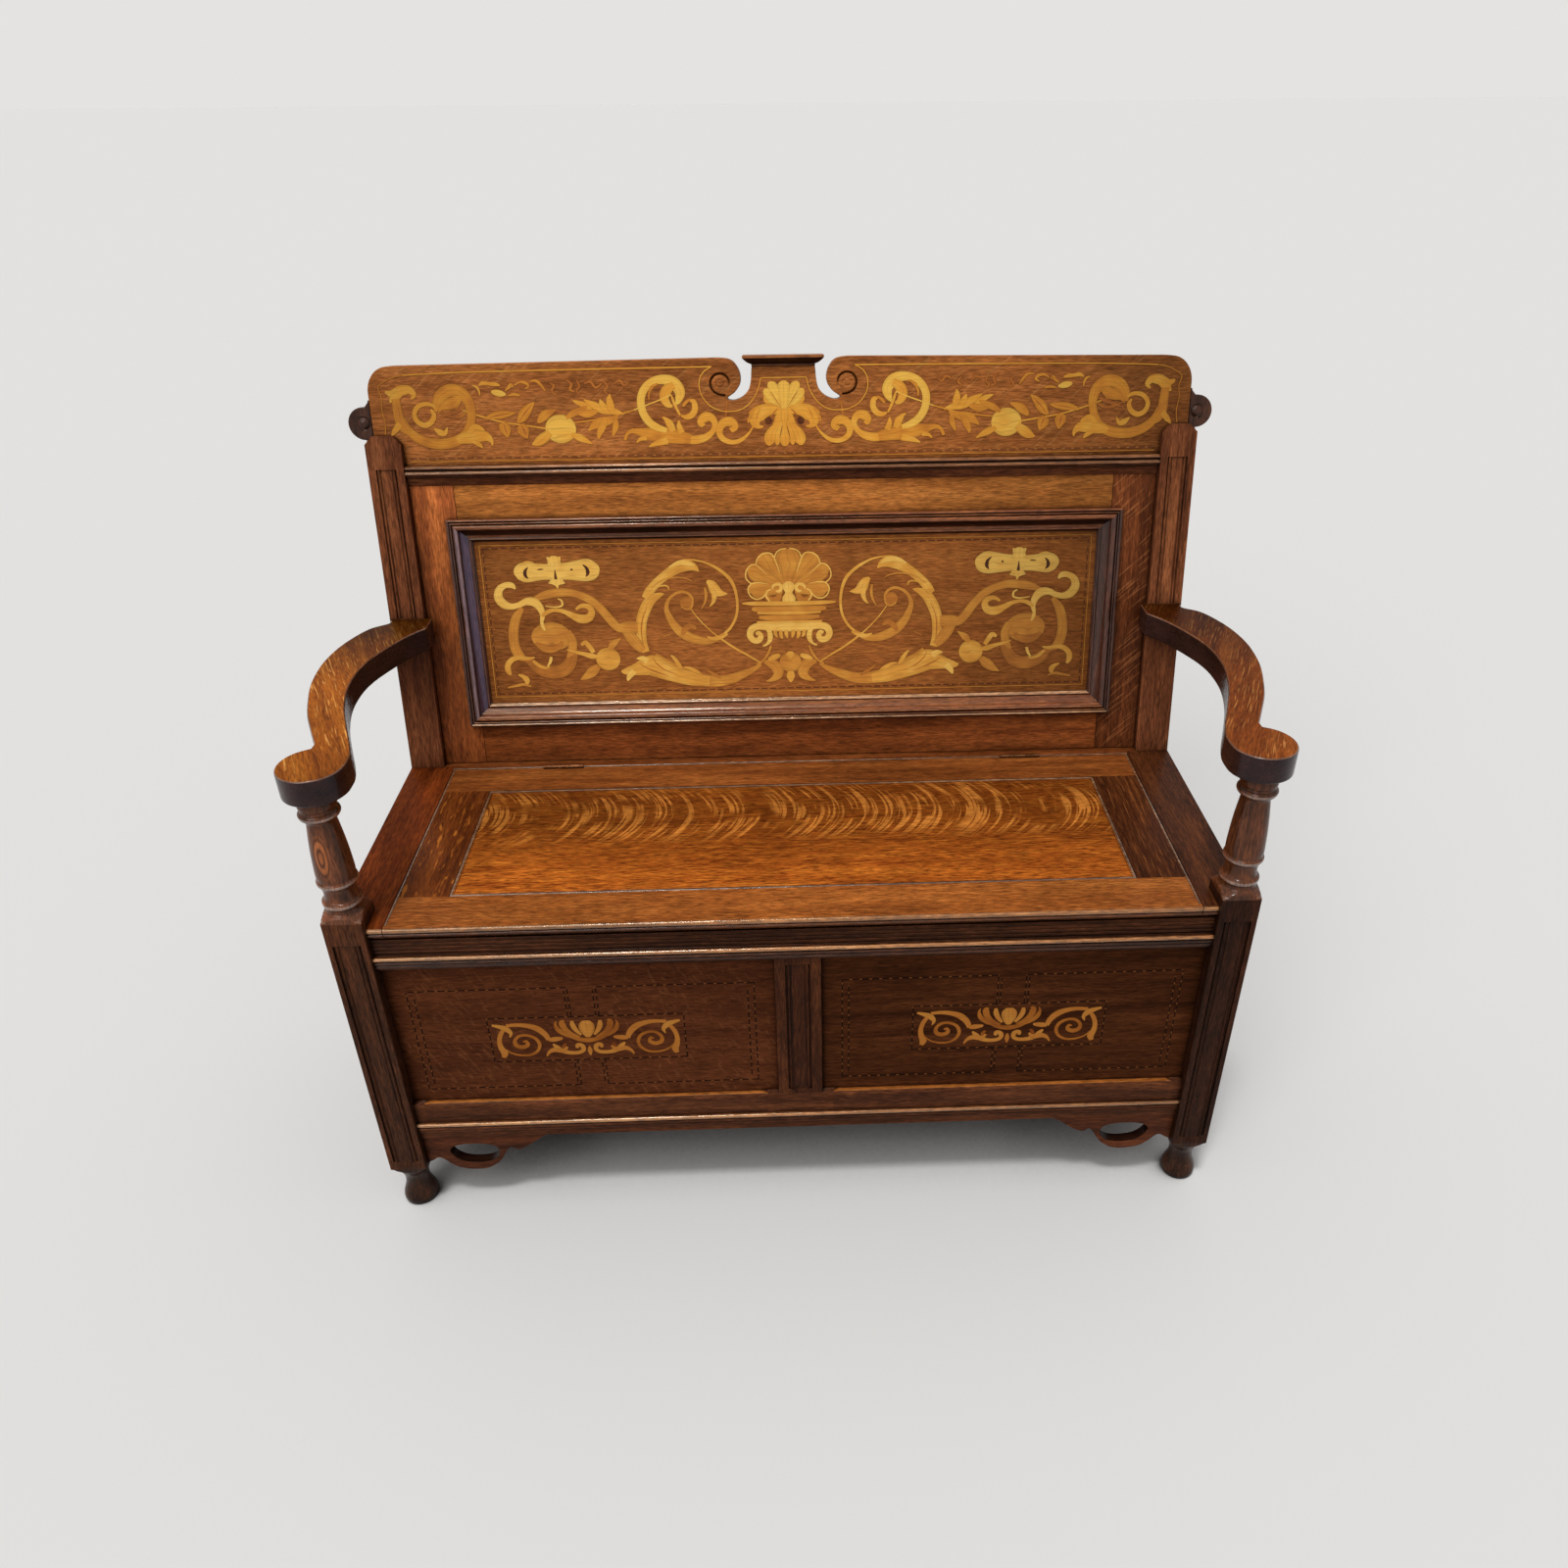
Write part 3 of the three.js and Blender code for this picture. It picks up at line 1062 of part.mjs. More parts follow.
function ear() {
  const x0 = CREST_HALF + GAP;
  const y0 = FRAME_SET + GAP;
  const points = [[x0, EAR_RISE - EAR_R], [EAR_X, EAR_RISE - EAR_R]];
  const steps = TURNED_SIDES / 2;
  for (let i = 1; i <= steps; i += 1) {
    const angle = (Math.PI * earTurnShare * i) / steps - Math.PI / 2;
    points.push([EAR_X + EAR_R * Math.cos(angle), EAR_RISE + EAR_R * Math.sin(angle)]);
  }
  points.push(
    [(x0 + EAR_X) / 2, EAR_RISE + EAR_R + EAR_NECK_H * earNeckShare],
    [x0, EAR_RISE + EAR_R + EAR_NECK_H],
  );
  const ring = [];
  const hole = [];
  for (let i = 0; i < TURNED_SIDES; i += 1) {
    const angle = (Math.PI * 2 * i) / TURNED_SIDES;
    ring.push([EAR_X + EAR_RING_R * Math.cos(angle), EAR_RISE + EAR_RING_R * Math.sin(angle)]);
    const r = EAR_RING_R - EAR_RING_W;
    hole.push([EAR_X + r * Math.cos(angle), EAR_RISE + r * Math.sin(angle)]);
  }
  const button = new THREE.CylinderGeometry(
    EAR_BUTTON_R, EAR_BUTTON_R * buttonTopShare, EAR_BUTTON_PROUD * 2, SMALL_SIDES);
  button.translate(EAR_X, y0, EAR_RISE);
  return join(
    cut(prismY(points, y0, y0 + EAR_T), prismY(ring, y0 - OVERRUN, y0 + EAR_RING_D, [hole])),
    solid(button),
  );
}
addPair("crest_ear", ear(), OAK, back);

// Arms with eased edges: plan outline as [share of the way back, share of the bulge beyond the post's axis]
const armOuterShares = [
  [0.968, 0.25], [0.927, 0.555], [0.856, 0.77], [0.77, 0.925], [0.671, 1], [0.58, 0.985], [0.496, 0.92],
  [0.405, 0.785], [0.305, 0.6], [0.214, 0.37], [0.125, 0.13],
];
const armInnerShares = [
  [0.055, -0.588], [0.12, -0.477], [0.235, -0.215], [0.35, 0.023], [0.4726, 0.19], [0.585, 0.223],
  [0.671, 0.154], [0.7546, -0.015], [0.8355, -0.23], [0.8825, -0.4],
];
const armEndShare = 0.92;
const paddleSteps = 18;
const armOuterSteps = 26;
const armInnerSteps = 24;

function smoothed(points, steps) {
  const curve = new THREE.SplineCurve(points.map(([x, y]) => new THREE.Vector2(x, y)));
  return curve.getPoints(steps).map((p) => [p.x, p.y]);
}

function arm() {
  const reach = SEAT_DEPTH + (ARM_TOP - SEAT_H) * Math.tan(RAKE) - POST_R;
  const place = ([back_, out]) => [POST_X + out * ARM_BULGE, POST_R + back_ * reach];
  const endX = LID_HALF + ARM_LID_CLEARANCE;
  const endY = POST_R + reach + STILE_D;
  const outer = smoothed([[STILE_X1, POST_R + reach], ...armOuterShares.map(place)], armOuterSteps);
  const paddleX = POST_X - ARM_PADDLE_IN;
  const paddleY = POST_R + ARM_PADDLE_BACK;
  const inner = smoothed([
    [paddleX - ARM_PADDLE_R, paddleY], ...armInnerShares.map(place), [endX, POST_R + reach * armEndShare],
  ], armInnerSteps);
  const [notchX, notchY] = outer[outer.length - 1];
  const from = Math.atan2(notchY - paddleY, notchX - paddleX);
  const to = -Math.PI;
  const paddle = [];
  for (let i = 1; i < paddleSteps; i += 1) {
    const angle = from + ((to - from) * i) / paddleSteps;
    paddle.push([paddleX + ARM_PADDLE_R * Math.cos(angle), paddleY + ARM_PADDLE_R * Math.sin(angle)]);
  }
  const outline = [[STILE_X1, endY], ...outer, ...paddle, ...inner, [endX, endY]];
  const shape = new THREE.Shape(outline.map(([x, y]) => new THREE.Vector2(x, y)));
  const plate = solid(new THREE.ExtrudeGeometry(shape, {
    depth: ARM_T - ARM_EASE * 2,
    steps: 1,
    bevelThickness: ARM_EASE,
    bevelSize: ARM_EASE,
    bevelOffset: -ARM_EASE,
    bevelSegments: 2,
  }).translate(0, 0, ARM_UNDER + ARM_EASE));
  const behind = rakedSolid(blockGeometry(0, FRAME_W, -GAP, SEAT_DEPTH, 0, FRAME_W));
  const peg = turned([
    [0, ARM_UNDER - OVERRUN], [ARM_PEG_R + GAP, ARM_UNDER - OVERRUN],
    [ARM_PEG_R + GAP, ARM_UNDER + ARM_PEG_H + GAP], [0, ARM_UNDER + ARM_PEG_H + GAP],
  ], POST_X, POST_R);
  return cut(plate, behind, peg);
}
addPair("arm", arm(), OAK_SEAT);

// The origin is the middle of the base of the whole
settle.updateMatrixWorld(true);
const middle = new THREE.Box3().setFromObject(settle, true).getCenter(new THREE.Vector3());
settle.position.y = -middle.y;
settle.updateMatrixWorld(true);

export default settle;
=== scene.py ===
from itertools import count
from math import radians

import bmesh
import bpy
import numpy as np
from mathutils import Matrix, Vector
from mathutils.geometry import tessellate_polygon


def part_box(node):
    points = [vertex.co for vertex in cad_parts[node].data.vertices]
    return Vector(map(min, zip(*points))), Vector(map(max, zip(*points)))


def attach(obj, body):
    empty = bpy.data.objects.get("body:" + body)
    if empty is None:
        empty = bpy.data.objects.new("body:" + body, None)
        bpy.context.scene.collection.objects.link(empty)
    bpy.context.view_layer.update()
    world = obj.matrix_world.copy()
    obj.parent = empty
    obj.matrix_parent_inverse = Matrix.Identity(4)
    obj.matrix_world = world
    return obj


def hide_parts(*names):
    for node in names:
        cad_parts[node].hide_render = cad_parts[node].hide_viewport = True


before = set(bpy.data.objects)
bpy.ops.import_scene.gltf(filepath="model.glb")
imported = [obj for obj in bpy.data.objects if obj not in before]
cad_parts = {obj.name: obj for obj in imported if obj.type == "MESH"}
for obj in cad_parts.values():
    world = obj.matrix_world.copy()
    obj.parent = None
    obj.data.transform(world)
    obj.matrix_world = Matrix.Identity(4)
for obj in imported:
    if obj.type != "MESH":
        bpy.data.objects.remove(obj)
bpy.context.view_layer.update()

# Front posts
# Each is one length of English oak, 46 mm square, turned at the foot and above the seat as a baluster,
# with a sunk reeded channel worked down the front of its block. Stained dark and waxed over the years.
MM = 0.001
FRAME_W, POST, SEAT_H, SEAT_DEPTH = 1070, 46, 460, 368
POST_R = POST / 2
POST_X = FRAME_W / 2 - POST_R
FOOT_H, BLOCK_TOP, ARM_TOP, ARM_T = 72, 473, 667, 32
ARM_UNDER = ARM_TOP - ARM_T
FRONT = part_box("front_post_right")[0].y


def place(x, y, z):
    """Millimetres on the settle, y back from the front of the posts, to metres in the frame."""
    x, y, z = np.broadcast_arrays(x, y, z)
    return np.stack([x * MM, y * MM + FRONT, z * MM], -1)


def net(rows, columns, ring=True):
    """Quads of a grid of points: each joins (i, j), (i, j + 1), (i + 1, j + 1) and (i + 1, j);
    in a ring the last column joins the first."""
    i, j = np.meshgrid(np.arange(rows - 1), np.arange(columns - (not ring)), indexing="ij")
    k = (j + 1) % columns
    return np.stack([i * columns + j, i * columns + k, (i + 1) * columns + k, (i + 1) * columns + j], -1).reshape(-1, 4)


def tube(grid):
    """A closed skin from a grid of rings: quads between the rings, and the first and last ring as ends."""
    rows, columns = grid.shape[:2]
    ends = [list(range(columns)), list(range((rows - 1) * columns, rows * columns))]
    return grid.reshape(-1, 3), net(rows, columns).tolist() + ends


def curve(knots, steps):
    """Smooth line through knots (Catmull-Rom): between b and c, with a before and d after, the point is
    half of 2b + (c - a)t + (2a - 5b + 4c - d)t^2 + (3b - a - 3c + d)t^3 for t from 0 to 1."""
    k = np.asarray(knots, float)
    t = np.linspace(0, len(k) - 1, steps)
    i = np.minimum(t.astype(int), len(k) - 2)
    f = (t - i)[:, None]
    a, b, c, d = k[np.maximum(i - 1, 0)], k[i], k[i + 1], k[np.minimum(i + 2, len(k) - 1)]
    return 0.5 * (2 * b + (c - a) * f + (2 * a - 5 * b + 4 * c - d) * f**2 + (3 * b - a - 3 * c + d) * f**3)


def linear(colour):
    """An sRGB hex colour as the linear values that a shader takes."""
    c = np.array([int(colour[i:i + 2], 16) for i in (1, 3, 5)]) / 255
    return (*np.where(c <= 0.04045, c / 12.92, ((c + 0.055) / 1.055) ** 2.4), 1.0)


def node(tree, kind, inputs=(), stops=(), out=0, **settings):
    """Adds one shader node with its settings, its inputs in order or by name, each set or linked, and a ramp's
    stops. It gives the output of that number or name, or with None all of them."""
    made = tree.nodes.new("ShaderNode" + kind)
    for key, value in settings.items():
        setattr(made, key, value)
    for key, value in inputs.items() if isinstance(inputs, dict) else enumerate(inputs):
        if isinstance(value, bpy.types.NodeSocket):
            tree.links.new(value, made.inputs[key])
        else:
            made.inputs[key].default_value = value
    for number, (at, colour) in enumerate(stops):
        ramp = made.color_ramp.elements
        stop = ramp[number] if number < 2 else ramp.new(at)
        stop.position, stop.color = at, linear(colour)
    return made.outputs if out is None else made.outputs[out]


def new_finish(name):
    """An empty finish, with its tree of nodes and its shader."""
    finish = bpy.data.materials.new(name)
    finish.use_nodes = True
    return finish, finish.node_tree, finish.node_tree.nodes["Principled BSDF"]


# The turn that lays the grain of a piece along x, for each way that a piece runs. The back leans by RAKE, and
# the grain of an arm is skewed because the arm is sawn askew from its board.
RAKE = radians(10.4)
ARM_SKEW = radians(24)
RUNS = {
    "x": (0, 0, 0), "y": (0, 0, -np.pi / 2), "z": (0, np.pi / 2, 0),
    "slope x": (RAKE, 0, 0), "slope z": (RAKE, np.pi / 2, 0),
    "arm left": (0, 0, -np.pi / 2 - ARM_SKEW), "arm right": (0, 0, -np.pi / 2 + ARM_SKEW),
}


def faded(tree, spot, axis, middle, distances, shades):
    """One shade at the first distance in mm from a place on the x or y axis, passing to another at the second.
    A place on the y axis is measured back from the front of the posts."""
    place_on = node(tree, "SeparateXYZ", {0: spot}, out="XY".index(axis))
    middle = middle * MM + (FRONT if axis == "Y" else 0)
    away = node(tree, "Math", (place_on, middle), operation="SUBTRACT")
    away = node(tree, "Math", {0: away}, operation="ABSOLUTE")
    return node(tree, "MapRange", (away, distances[0] * MM, distances[1] * MM, *shades))


# Sizes of the markings of oak in mm, along and across the grain. Real pores and fibres are a few tenths of a
# millimetre across, and are drawn this coarse so that they show.
GROWTH_BAND, WIDE_CLOUD, SMALL_CLOUD = (280, 16), (260, 150), (40, 26)
PORE, PALE_FIBRE, MOTTLE, FIBRE = (16, 1.9), (32, 2.6), (12, 1.6), (55, 1.2)
RAY_PATCH, FIGURE_LINE, FIGURE_PATCH = (110, 80), (70, 5), (45, 45)
FIGURE_BOW, KNOT_RINGS = 7.5, 13.0
BOARD_STEP, BOARD_SHIFT = 0.37, (0.731, 0.417, 0.593)
OAK_IOR, WAX_ROUGH = 1.5, 0.1


def oak(name, run, pale, body, dark, rough=0.36, streak=0.6, ray=None, fleck=None, coat=0.04, figure=None, fade=None,
        polish=0.04, sheen="#ffffff", nook_size=6, hollow=28, bands=(0, 1), mottle=0.16, ray_skew=0.0, knot=None):
    """Fumed and waxed oak. run is the way of the grain. Soft growth bands pass from dark to pale, with paler
    fibres, dark dashes of open pores and a fine mottle over them. ray gives the size along and across the grain,
    in mm, the cover and the strength of the ray flecks, fleck their colour, and figure where, in mm back from the
    front, they run in arcs; ray_skew turns them in the board's plane. fade gives an axis, a place on it, two
    distances from there in mm, and the shades between, painted across the board as light and shade. knot gives
    the place across and up of a knot, and its half width and half height, in mm. polish is the gloss of the bare
    wood, sheen a tint painted on its shine and coat the wax. Nooks of nook_size mm are darkened as painted shade
    and dirt, and hollows of hollow mm as painted shade."""
    finish, tree, shader = new_finish(name)
    spot = node(tree, "TexCoord", out="Object")
    own = node(tree, "Attribute", out="Fac", attribute_name="board")
    away = node(tree, "VectorMath", {0: BOARD_SHIFT, "Scale": own}, operation="SCALE")
    moved = node(tree, "VectorMath", (spot, away), operation="ADD")
    turned = node(tree, "Mapping", {"Vector": moved, "Rotation": RUNS[run]})
    # Grain wanders by a few millimetres over a length of about 140 mm
    bend = node(tree, "TexNoise", {"Vector": turned, "Scale": 7.0, "Detail": 1.0}, out="Color")
    wavy = node(tree, "VectorMath", (bend, (0.004, 0.009, 0.009), turned), operation="MULTIPLY_ADD")

    def pattern(along, across, detail, low, high, place=wavy, to=(0.0, 1.0)):
        """Noise cells of that size in mm, along and across the grain, brought to to[0] at low and to[1] at high."""
        fine = 1 / (across * MM)
        size = node(tree, "VectorMath", (place, (1 / (along * MM), fine, fine)), operation="MULTIPLY")
        cells = node(tree, "TexNoise", {"Vector": size, "Scale": 1.0, "Detail": detail, "Roughness": 0.6})
        return node(tree, "MapRange", (cells, low, high, *to))

    growth = pattern(*GROWTH_BAND, 3.0, *bands)
    colour = node(tree, "ValToRGB", {0: growth}, [(0.15, dark), (0.85, pale), (0.5, body)])
    pale_fibres = pattern(*PALE_FIBRE, 2.0, 0.5, 0.68, to=(0.0, 0.55 * streak))
    colour = node(tree, "Mix", {0: pale_fibres, 6: colour, 7: linear(pale)}, out=2, data_type="RGBA")
    pores = pattern(*PORE, 2.0, 0.5, 0.64)
    dashes = node(tree, "Math", (pores, 0.75 * streak), operation="MULTIPLY")
    colour = node(tree, "Mix", {0: dashes, 6: colour, 7: linear(dark)}, out=2, data_type="RGBA")
    if ray:
        along, across, cover, strength = ray
        skewed = node(tree, "Mapping", {"Vector": wavy, "Rotation": (0, ray_skew, 0)})
        shapes = (pattern(along, across, 1.0, cover, cover + 0.06, place=skewed), pattern(*RAY_PATCH, 1.0, 0.32, 0.46))
        if figure:
            x, _, z = node(tree, "SeparateXYZ", {0: moved}, out=None)
            middle = (figure[0] + figure[1]) / 2 * MM + FRONT
            real_y = node(tree, "SeparateXYZ", {0: spot}, out=1)
            off = node(tree, "Math", (real_y, middle), operation="SUBTRACT")
            square = node(tree, "Math", (off, off), operation="MULTIPLY")
            bow = node(tree, "Math", (square, FIGURE_BOW, x), operation="MULTIPLY_ADD")
            arc = node(tree, "CombineXYZ", (real_y, bow, z))
            away = node(tree, "Math", {0: off}, operation="ABSOLUTE")
            reach = (figure[1] - figure[0]) / 2 * MM
            near = node(tree, "MapRange", (away, reach, 0.6 * reach))
            patches = node(tree, "Math", (pattern(*FIGURE_PATCH, 1.0, 0.36, 0.52, place=arc), near),
                           operation="MULTIPLY")
            shapes = (pattern(*FIGURE_LINE, 1.0, 0.5, 0.58, place=arc), patches)
        flecks = node(tree, "Math", shapes, operation="MULTIPLY")
        flecks = node(tree, "Math", (flecks, strength), operation="MULTIPLY")
        colour = node(tree, "Mix", {0: flecks, 6: colour, 7: linear(fleck or pale)}, out=2, data_type="RGBA")
    if knot:
        # Rings are the sine of the distance from the middle of the knot, taken in half widths and half heights
        across, up, half_wide, half_high = knot
        off = node(tree, "VectorMath", (bend, (0.012, 0, 0.03), spot), operation="MULTIPLY_ADD")
        off = node(tree, "VectorMath", (off, (across * MM, 0, up * MM)), operation="SUBTRACT")
        off = node(tree, "VectorMath", (off, (1 / (half_wide * MM), 0, 1 / (half_high * MM))), operation="MULTIPLY")
        far = node(tree, "VectorMath", {0: off}, out="Value", operation="LENGTH")
        wave = node(tree, "Math", (far, KNOT_RINGS), operation="MULTIPLY")
        wave = node(tree, "Math", {0: wave}, operation="SINE")
        ring = node(tree, "MapRange", (wave, -1.2, 0.4))
        rings = node(tree, "Mix", {0: ring, 6: linear(dark), 7: linear(fleck)}, out=2, data_type="RGBA")
        inside = node(tree, "MapRange", (far, 1.1, 0.75, 0.0, 0.7))
        colour = node(tree, "Mix", {0: inside, 6: colour, 7: rings}, out=2, data_type="RGBA")
    # Occlusion darkens nooks as painted shade and dirt, and wider hollows as painted shade
    nook = node(tree, "AmbientOcclusion", {"Distance": nook_size * MM}, out="AO", samples=6)
    wide = node(tree, "AmbientOcclusion", {"Distance": hollow * MM}, out="AO", samples=5)
    shades = [pattern(*SMALL_CLOUD, 2.0, 0.3, 0.7, to=(0.86, 1.12)),
              pattern(*MOTTLE, 3.0, 0.36, 0.64, to=(1 - mottle, 1 + mottle)),
              node(tree, "MapRange", (nook, 0.3, 0.75, 0.25)), node(tree, "MapRange", (wide, 0.4, 0.9, 0.45))]
    if fade:
        shades.append(faded(tree, spot, *fade))
    shade = pattern(*WIDE_CLOUD, 2.0, 0.3, 0.7, to=(0.8, 1.14))
    for other in shades:
        shade = node(tree, "Math", (shade, other), operation="MULTIPLY")
    colour = node(tree, "Mix", {0: 1.0, 6: colour, 7: shade}, out=2, data_type="RGBA", blend_type="MULTIPLY")
    tree.links.new(colour, shader.inputs["Base Color"])
    fibres = pattern(*FIBRE, 2.0, 0.25, 0.75)
    gloss = node(tree, "MapRange", (fibres, 0, 1, rough + 0.07, rough - 0.04))
    tree.links.new(gloss, shader.inputs["Roughness"])
    relief = node(tree, "Math", (fibres, pores), operation="SUBTRACT")
    bump = node(tree, "Bump", {"Height": relief, "Strength": 0.25, "Distance": 0.0003})
    tree.links.new(bump, shader.inputs["Normal"])
    shader.inputs["IOR"].default_value = OAK_IOR
    shader.inputs["Specular IOR Level"].default_value = polish
    shader.inputs["Specular Tint"].default_value = linear(sheen)
    shader.inputs["Coat Weight"].default_value = coat
    shader.inputs["Coat Roughness"].default_value = WAX_ROUGH
    return finish


board_number = count(1)


def own_grain(mesh):
    """Gives a board its own number, one more for each, by which its grain is moved along."""
    moved_by = np.full(len(mesh.vertices), next(board_number) * BOARD_STEP)
    mesh.attributes.new("board", "FLOAT", "POINT").data.foreach_set("value", moved_by)


def make(name, shells, finish, body="box", stands_for=(), sharp=38, ease=0.0, veneer=None, also=()):
    """Joins closed skins, each (points, faces), into one piece. ease rounds its arrises, in mm. also lists further
    finishes, each with the rule that says, from faces' middles and outward ways, which have it."""
    starts = np.cumsum([0] + [len(points) for points, faces in shells])
    points = np.concatenate([points for points, faces in shells])
    faces = [[corner + start for corner in face] for start, (own, skin) in zip(starts, shells) for face in skin]
    mesh = bpy.data.meshes.new(name)
    mesh.from_pydata(points.tolist(), [], faces)
    own_grain(mesh)
    if veneer is not None:
        marks = np.asarray(veneer, np.float32).ravel()
        mesh.attributes.new("veneer", "FLOAT_VECTOR", "POINT").data.foreach_set("vector", marks)
    return finished(name, mesh, finish, body, stands_for, sharp, ease, 1e-6, also)


def finished(name, mesh, finish, body, stands_for, sharp, ease, weld, also=()):
    """A mesh as a piece that rides on a body: points nearer than weld metres are merged, faces turned outward,
    the finishes laid on, and its arrises rounded, or kept crisp where they turn more than sharp degrees."""
    shape = bmesh.new()
    shape.from_mesh(mesh)
    bmesh.ops.remove_doubles(shape, verts=shape.verts, dist=weld)
    if ease:
        bmesh.ops.dissolve_limit(shape, angle_limit=radians(0.5), verts=shape.verts, edges=shape.edges)
    bmesh.ops.recalc_face_normals(shape, faces=shape.faces)
    shape.to_mesh(mesh)
    shape.free()
    mesh.shade_smooth()
    mesh.materials.clear()
    mesh.materials.append(finish)
    at, way = np.empty((2, 3 * len(mesh.polygons)), np.float32)
    mesh.polygons.foreach_get("center", at)
    mesh.polygons.foreach_get("normal", way)
    finish_number = np.zeros(len(mesh.polygons), np.int32)
    for number, (other, has_it) in enumerate(also, 1):
        mesh.materials.append(other)
        finish_number[has_it(at.reshape(-1, 3), way.reshape(-1, 3))] = number
    mesh.polygons.foreach_set("material_index", finish_number)
    piece = bpy.data.objects.new(name, mesh)
    bpy.context.scene.collection.objects.link(piece)
    if ease:
        arris = piece.modifiers.new("arris", "BEVEL")
        arris.width, arris.segments, arris.limit_method, arris.angle_limit = ease * MM, 2, "ANGLE", radians(sharp)
    else:
        mesh.set_sharp_from_angle(angle=radians(sharp))
    flat = piece.modifiers.new("faces", "WEIGHTED_NORMAL")
    flat.keep_sharp = True
    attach(piece, body)
    if stands_for:
        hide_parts(*stands_for)
    return piece


def planed(node_name, finish, body="box", ease=0.7, sharp=35):
    """The same board as a CAD node, as a merged copy with its arrises worn round."""
    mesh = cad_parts[node_name].data.copy()
    mesh.name = node_name + "_planed"
    own_grain(mesh)
    return finished(node_name + "_planed", mesh, finish, body, (node_name,), sharp, ease, 2e-5)


CHANNEL_DEPTH, CHANNEL_BEAD_DROP, CHANNEL_BAND_DROP = 2.4, 0.4, 1.5
CHANNEL_SHARES = (0.068, 0.186, 0.254)


def channel(across, width):
    """Depth of a sunk channel at a distance from its middle: two quirks with a bead between, then a flat band."""
    edge = (width / 2 - np.abs(across)) / width
    quirk, bead, band = CHANNEL_SHARES
    t = np.clip((edge - quirk) / (bead - quirk), 0, 1)
    round_bead = CHANNEL_DEPTH - (CHANNEL_DEPTH - CHANNEL_BEAD_DROP) * np.sin(np.pi * t)
    depth = np.where((edge > quirk) & (edge < bead), round_bead, CHANNEL_DEPTH)
    return np.where(edge > band, CHANNEL_BAND_DROP, depth) * (edge > 0)


def channel_stations(width):
    """Places across a channel where its depth is worked out, close together at each step."""
    quirk, bead, band = CHANNEL_SHARES
    marks = [-0.001, 0.001, 0.02, quirk - 0.001, quirk, quirk + 0.012, quirk + 0.03, (quirk + bead) / 2,
             bead - 0.03, bead - 0.012, bead, bead + 0.001, band - 0.001, band + 0.001, 0.38]
    half = width / 2 - width * np.array(marks)
    return np.concatenate([-half, [0], half[::-1]])


POST_CHANNEL_W, CHANNEL_TOP, CHANNEL_LOW, CHANNEL_POINT, POST_ARRIS = 32.5, 442, 84, 6, 1.3
# Turned profiles: (radius in half widths of the post, share of the height)
foot_profile = [
    (0.848, 0), (0.926, 0.028), (0.957, 0.083), (0.926, 0.167), (0.817, 0.278), (0.713, 0.389), (0.67, 0.5),
    (0.687, 0.611), (0.748, 0.694), (0.848, 0.778), (0.93, 0.833), (1.0, 0.889), (1.2, 0.944), (1.43, 1),
]
baluster_profile = [
    (1.43, 0), (1.23, 0.024), (1.0, 0.0485), (0.87, 0.067), (0.835, 0.091), (0.89, 0.103), (0.957, 0.112),
    (0.98, 0.127), (0.957, 0.142), (0.89, 0.152), (0.817, 0.164), (0.79, 0.206), (0.817, 0.248), (0.878, 0.273),
    (0.95, 0.282), (0.995, 0.297), (0.98, 0.312), (0.92, 0.324), (0.92, 0.339), (0.935, 0.376), (0.905, 0.479),
    (0.87, 0.558), (0.813, 0.648), (0.74, 0.739), (0.713, 0.782), (0.76, 0.806), (0.826, 0.818), (0.926, 0.827),
    (0.98, 0.842), (0.974, 0.857), (0.913, 0.87), (0.848, 0.879), (0.848, 0.894), (0.89, 0.903), (0.913, 0.927),
    (0.887, 0.964), (0.826, 1),
]
PROFILE_STEPS = 4

# Fumed oak, planed and waxed: red brown with a soft shine on the left post, and on the right one painted darker as
# painted shade. Turned oak has taken more wax, shines more and is darkened in its quirks by painted shade and
# dirt, and the left baluster shows a knot. Rings and shoulders carry pale painted highlights.
KNOT = (-508, 574, 9, 24)
oak_post = oak("fumed_oak_post", "z", "#80482c", "#50301f", "#1c0e0a", rough=0.3, mottle=0.3)
oak_turned = oak("turned_oak_baluster", "z", "#a05c3a", "#663c26", "#20100b", rough=0.22, coat=0.35, mottle=0.25,
                 nook_size=9)
oak_post_shaded = oak("painted_shade_fumed_post", "z", "#5e3420", "#3c2216", "#180c08", rough=0.3, mottle=0.3)
oak_foot = oak("turned_oak_foot", "z", "#683a24", "#402618", "#180c08", rough=0.24, coat=0.2, mottle=0.25,
               nook_size=9)
oak_ring_highlight = oak("painted_highlight_turned_ring", "z", "#b48c74", "#8a6654", "#4a3026", rough=0.2, coat=0.6, polish=0.8,
               mottle=0.3, nook_size=2, hollow=4)
oak_arris_highlight = oak("painted_highlight_arris", "z", "#a07050", "#764c36", "#40261a", rough=0.24, coat=0.4, polish=0.4,
                mottle=0.3, nook_size=2, hollow=4)
oak_knotty = oak("turned_oak_knotty", "z", "#a05c3a", "#663c26", "#20100b", rough=0.22, coat=0.35, mottle=0.25,
                 nook_size=9, fleck="#c87440", knot=KNOT)
SHOULDER_H, BALUSTER_H = 4, ARM_UNDER - BLOCK_TOP
RING_CRESTS, RING_LINE = np.array([0.128, 0.3, 0.846]), 0.011


def on_a_ring(at, way):
    """The lines of painted highlight along the crests of the three half-round rings turned on a baluster."""
    share = (at[:, 2:] / MM - BLOCK_TOP) / BALUSTER_H
    return np.any(np.abs(share - RING_CRESTS) < RING_LINE, axis=1)


def on_a_shoulder(at, way):
    """The turned shoulders that run out over the top of the square block, which take a painted highlight."""
    return (np.abs(at[:, 2] / MM - BLOCK_TOP - SHOULDER_H / 2) < SHOULDER_H / 2) & (way[:, 2] > 0.25)


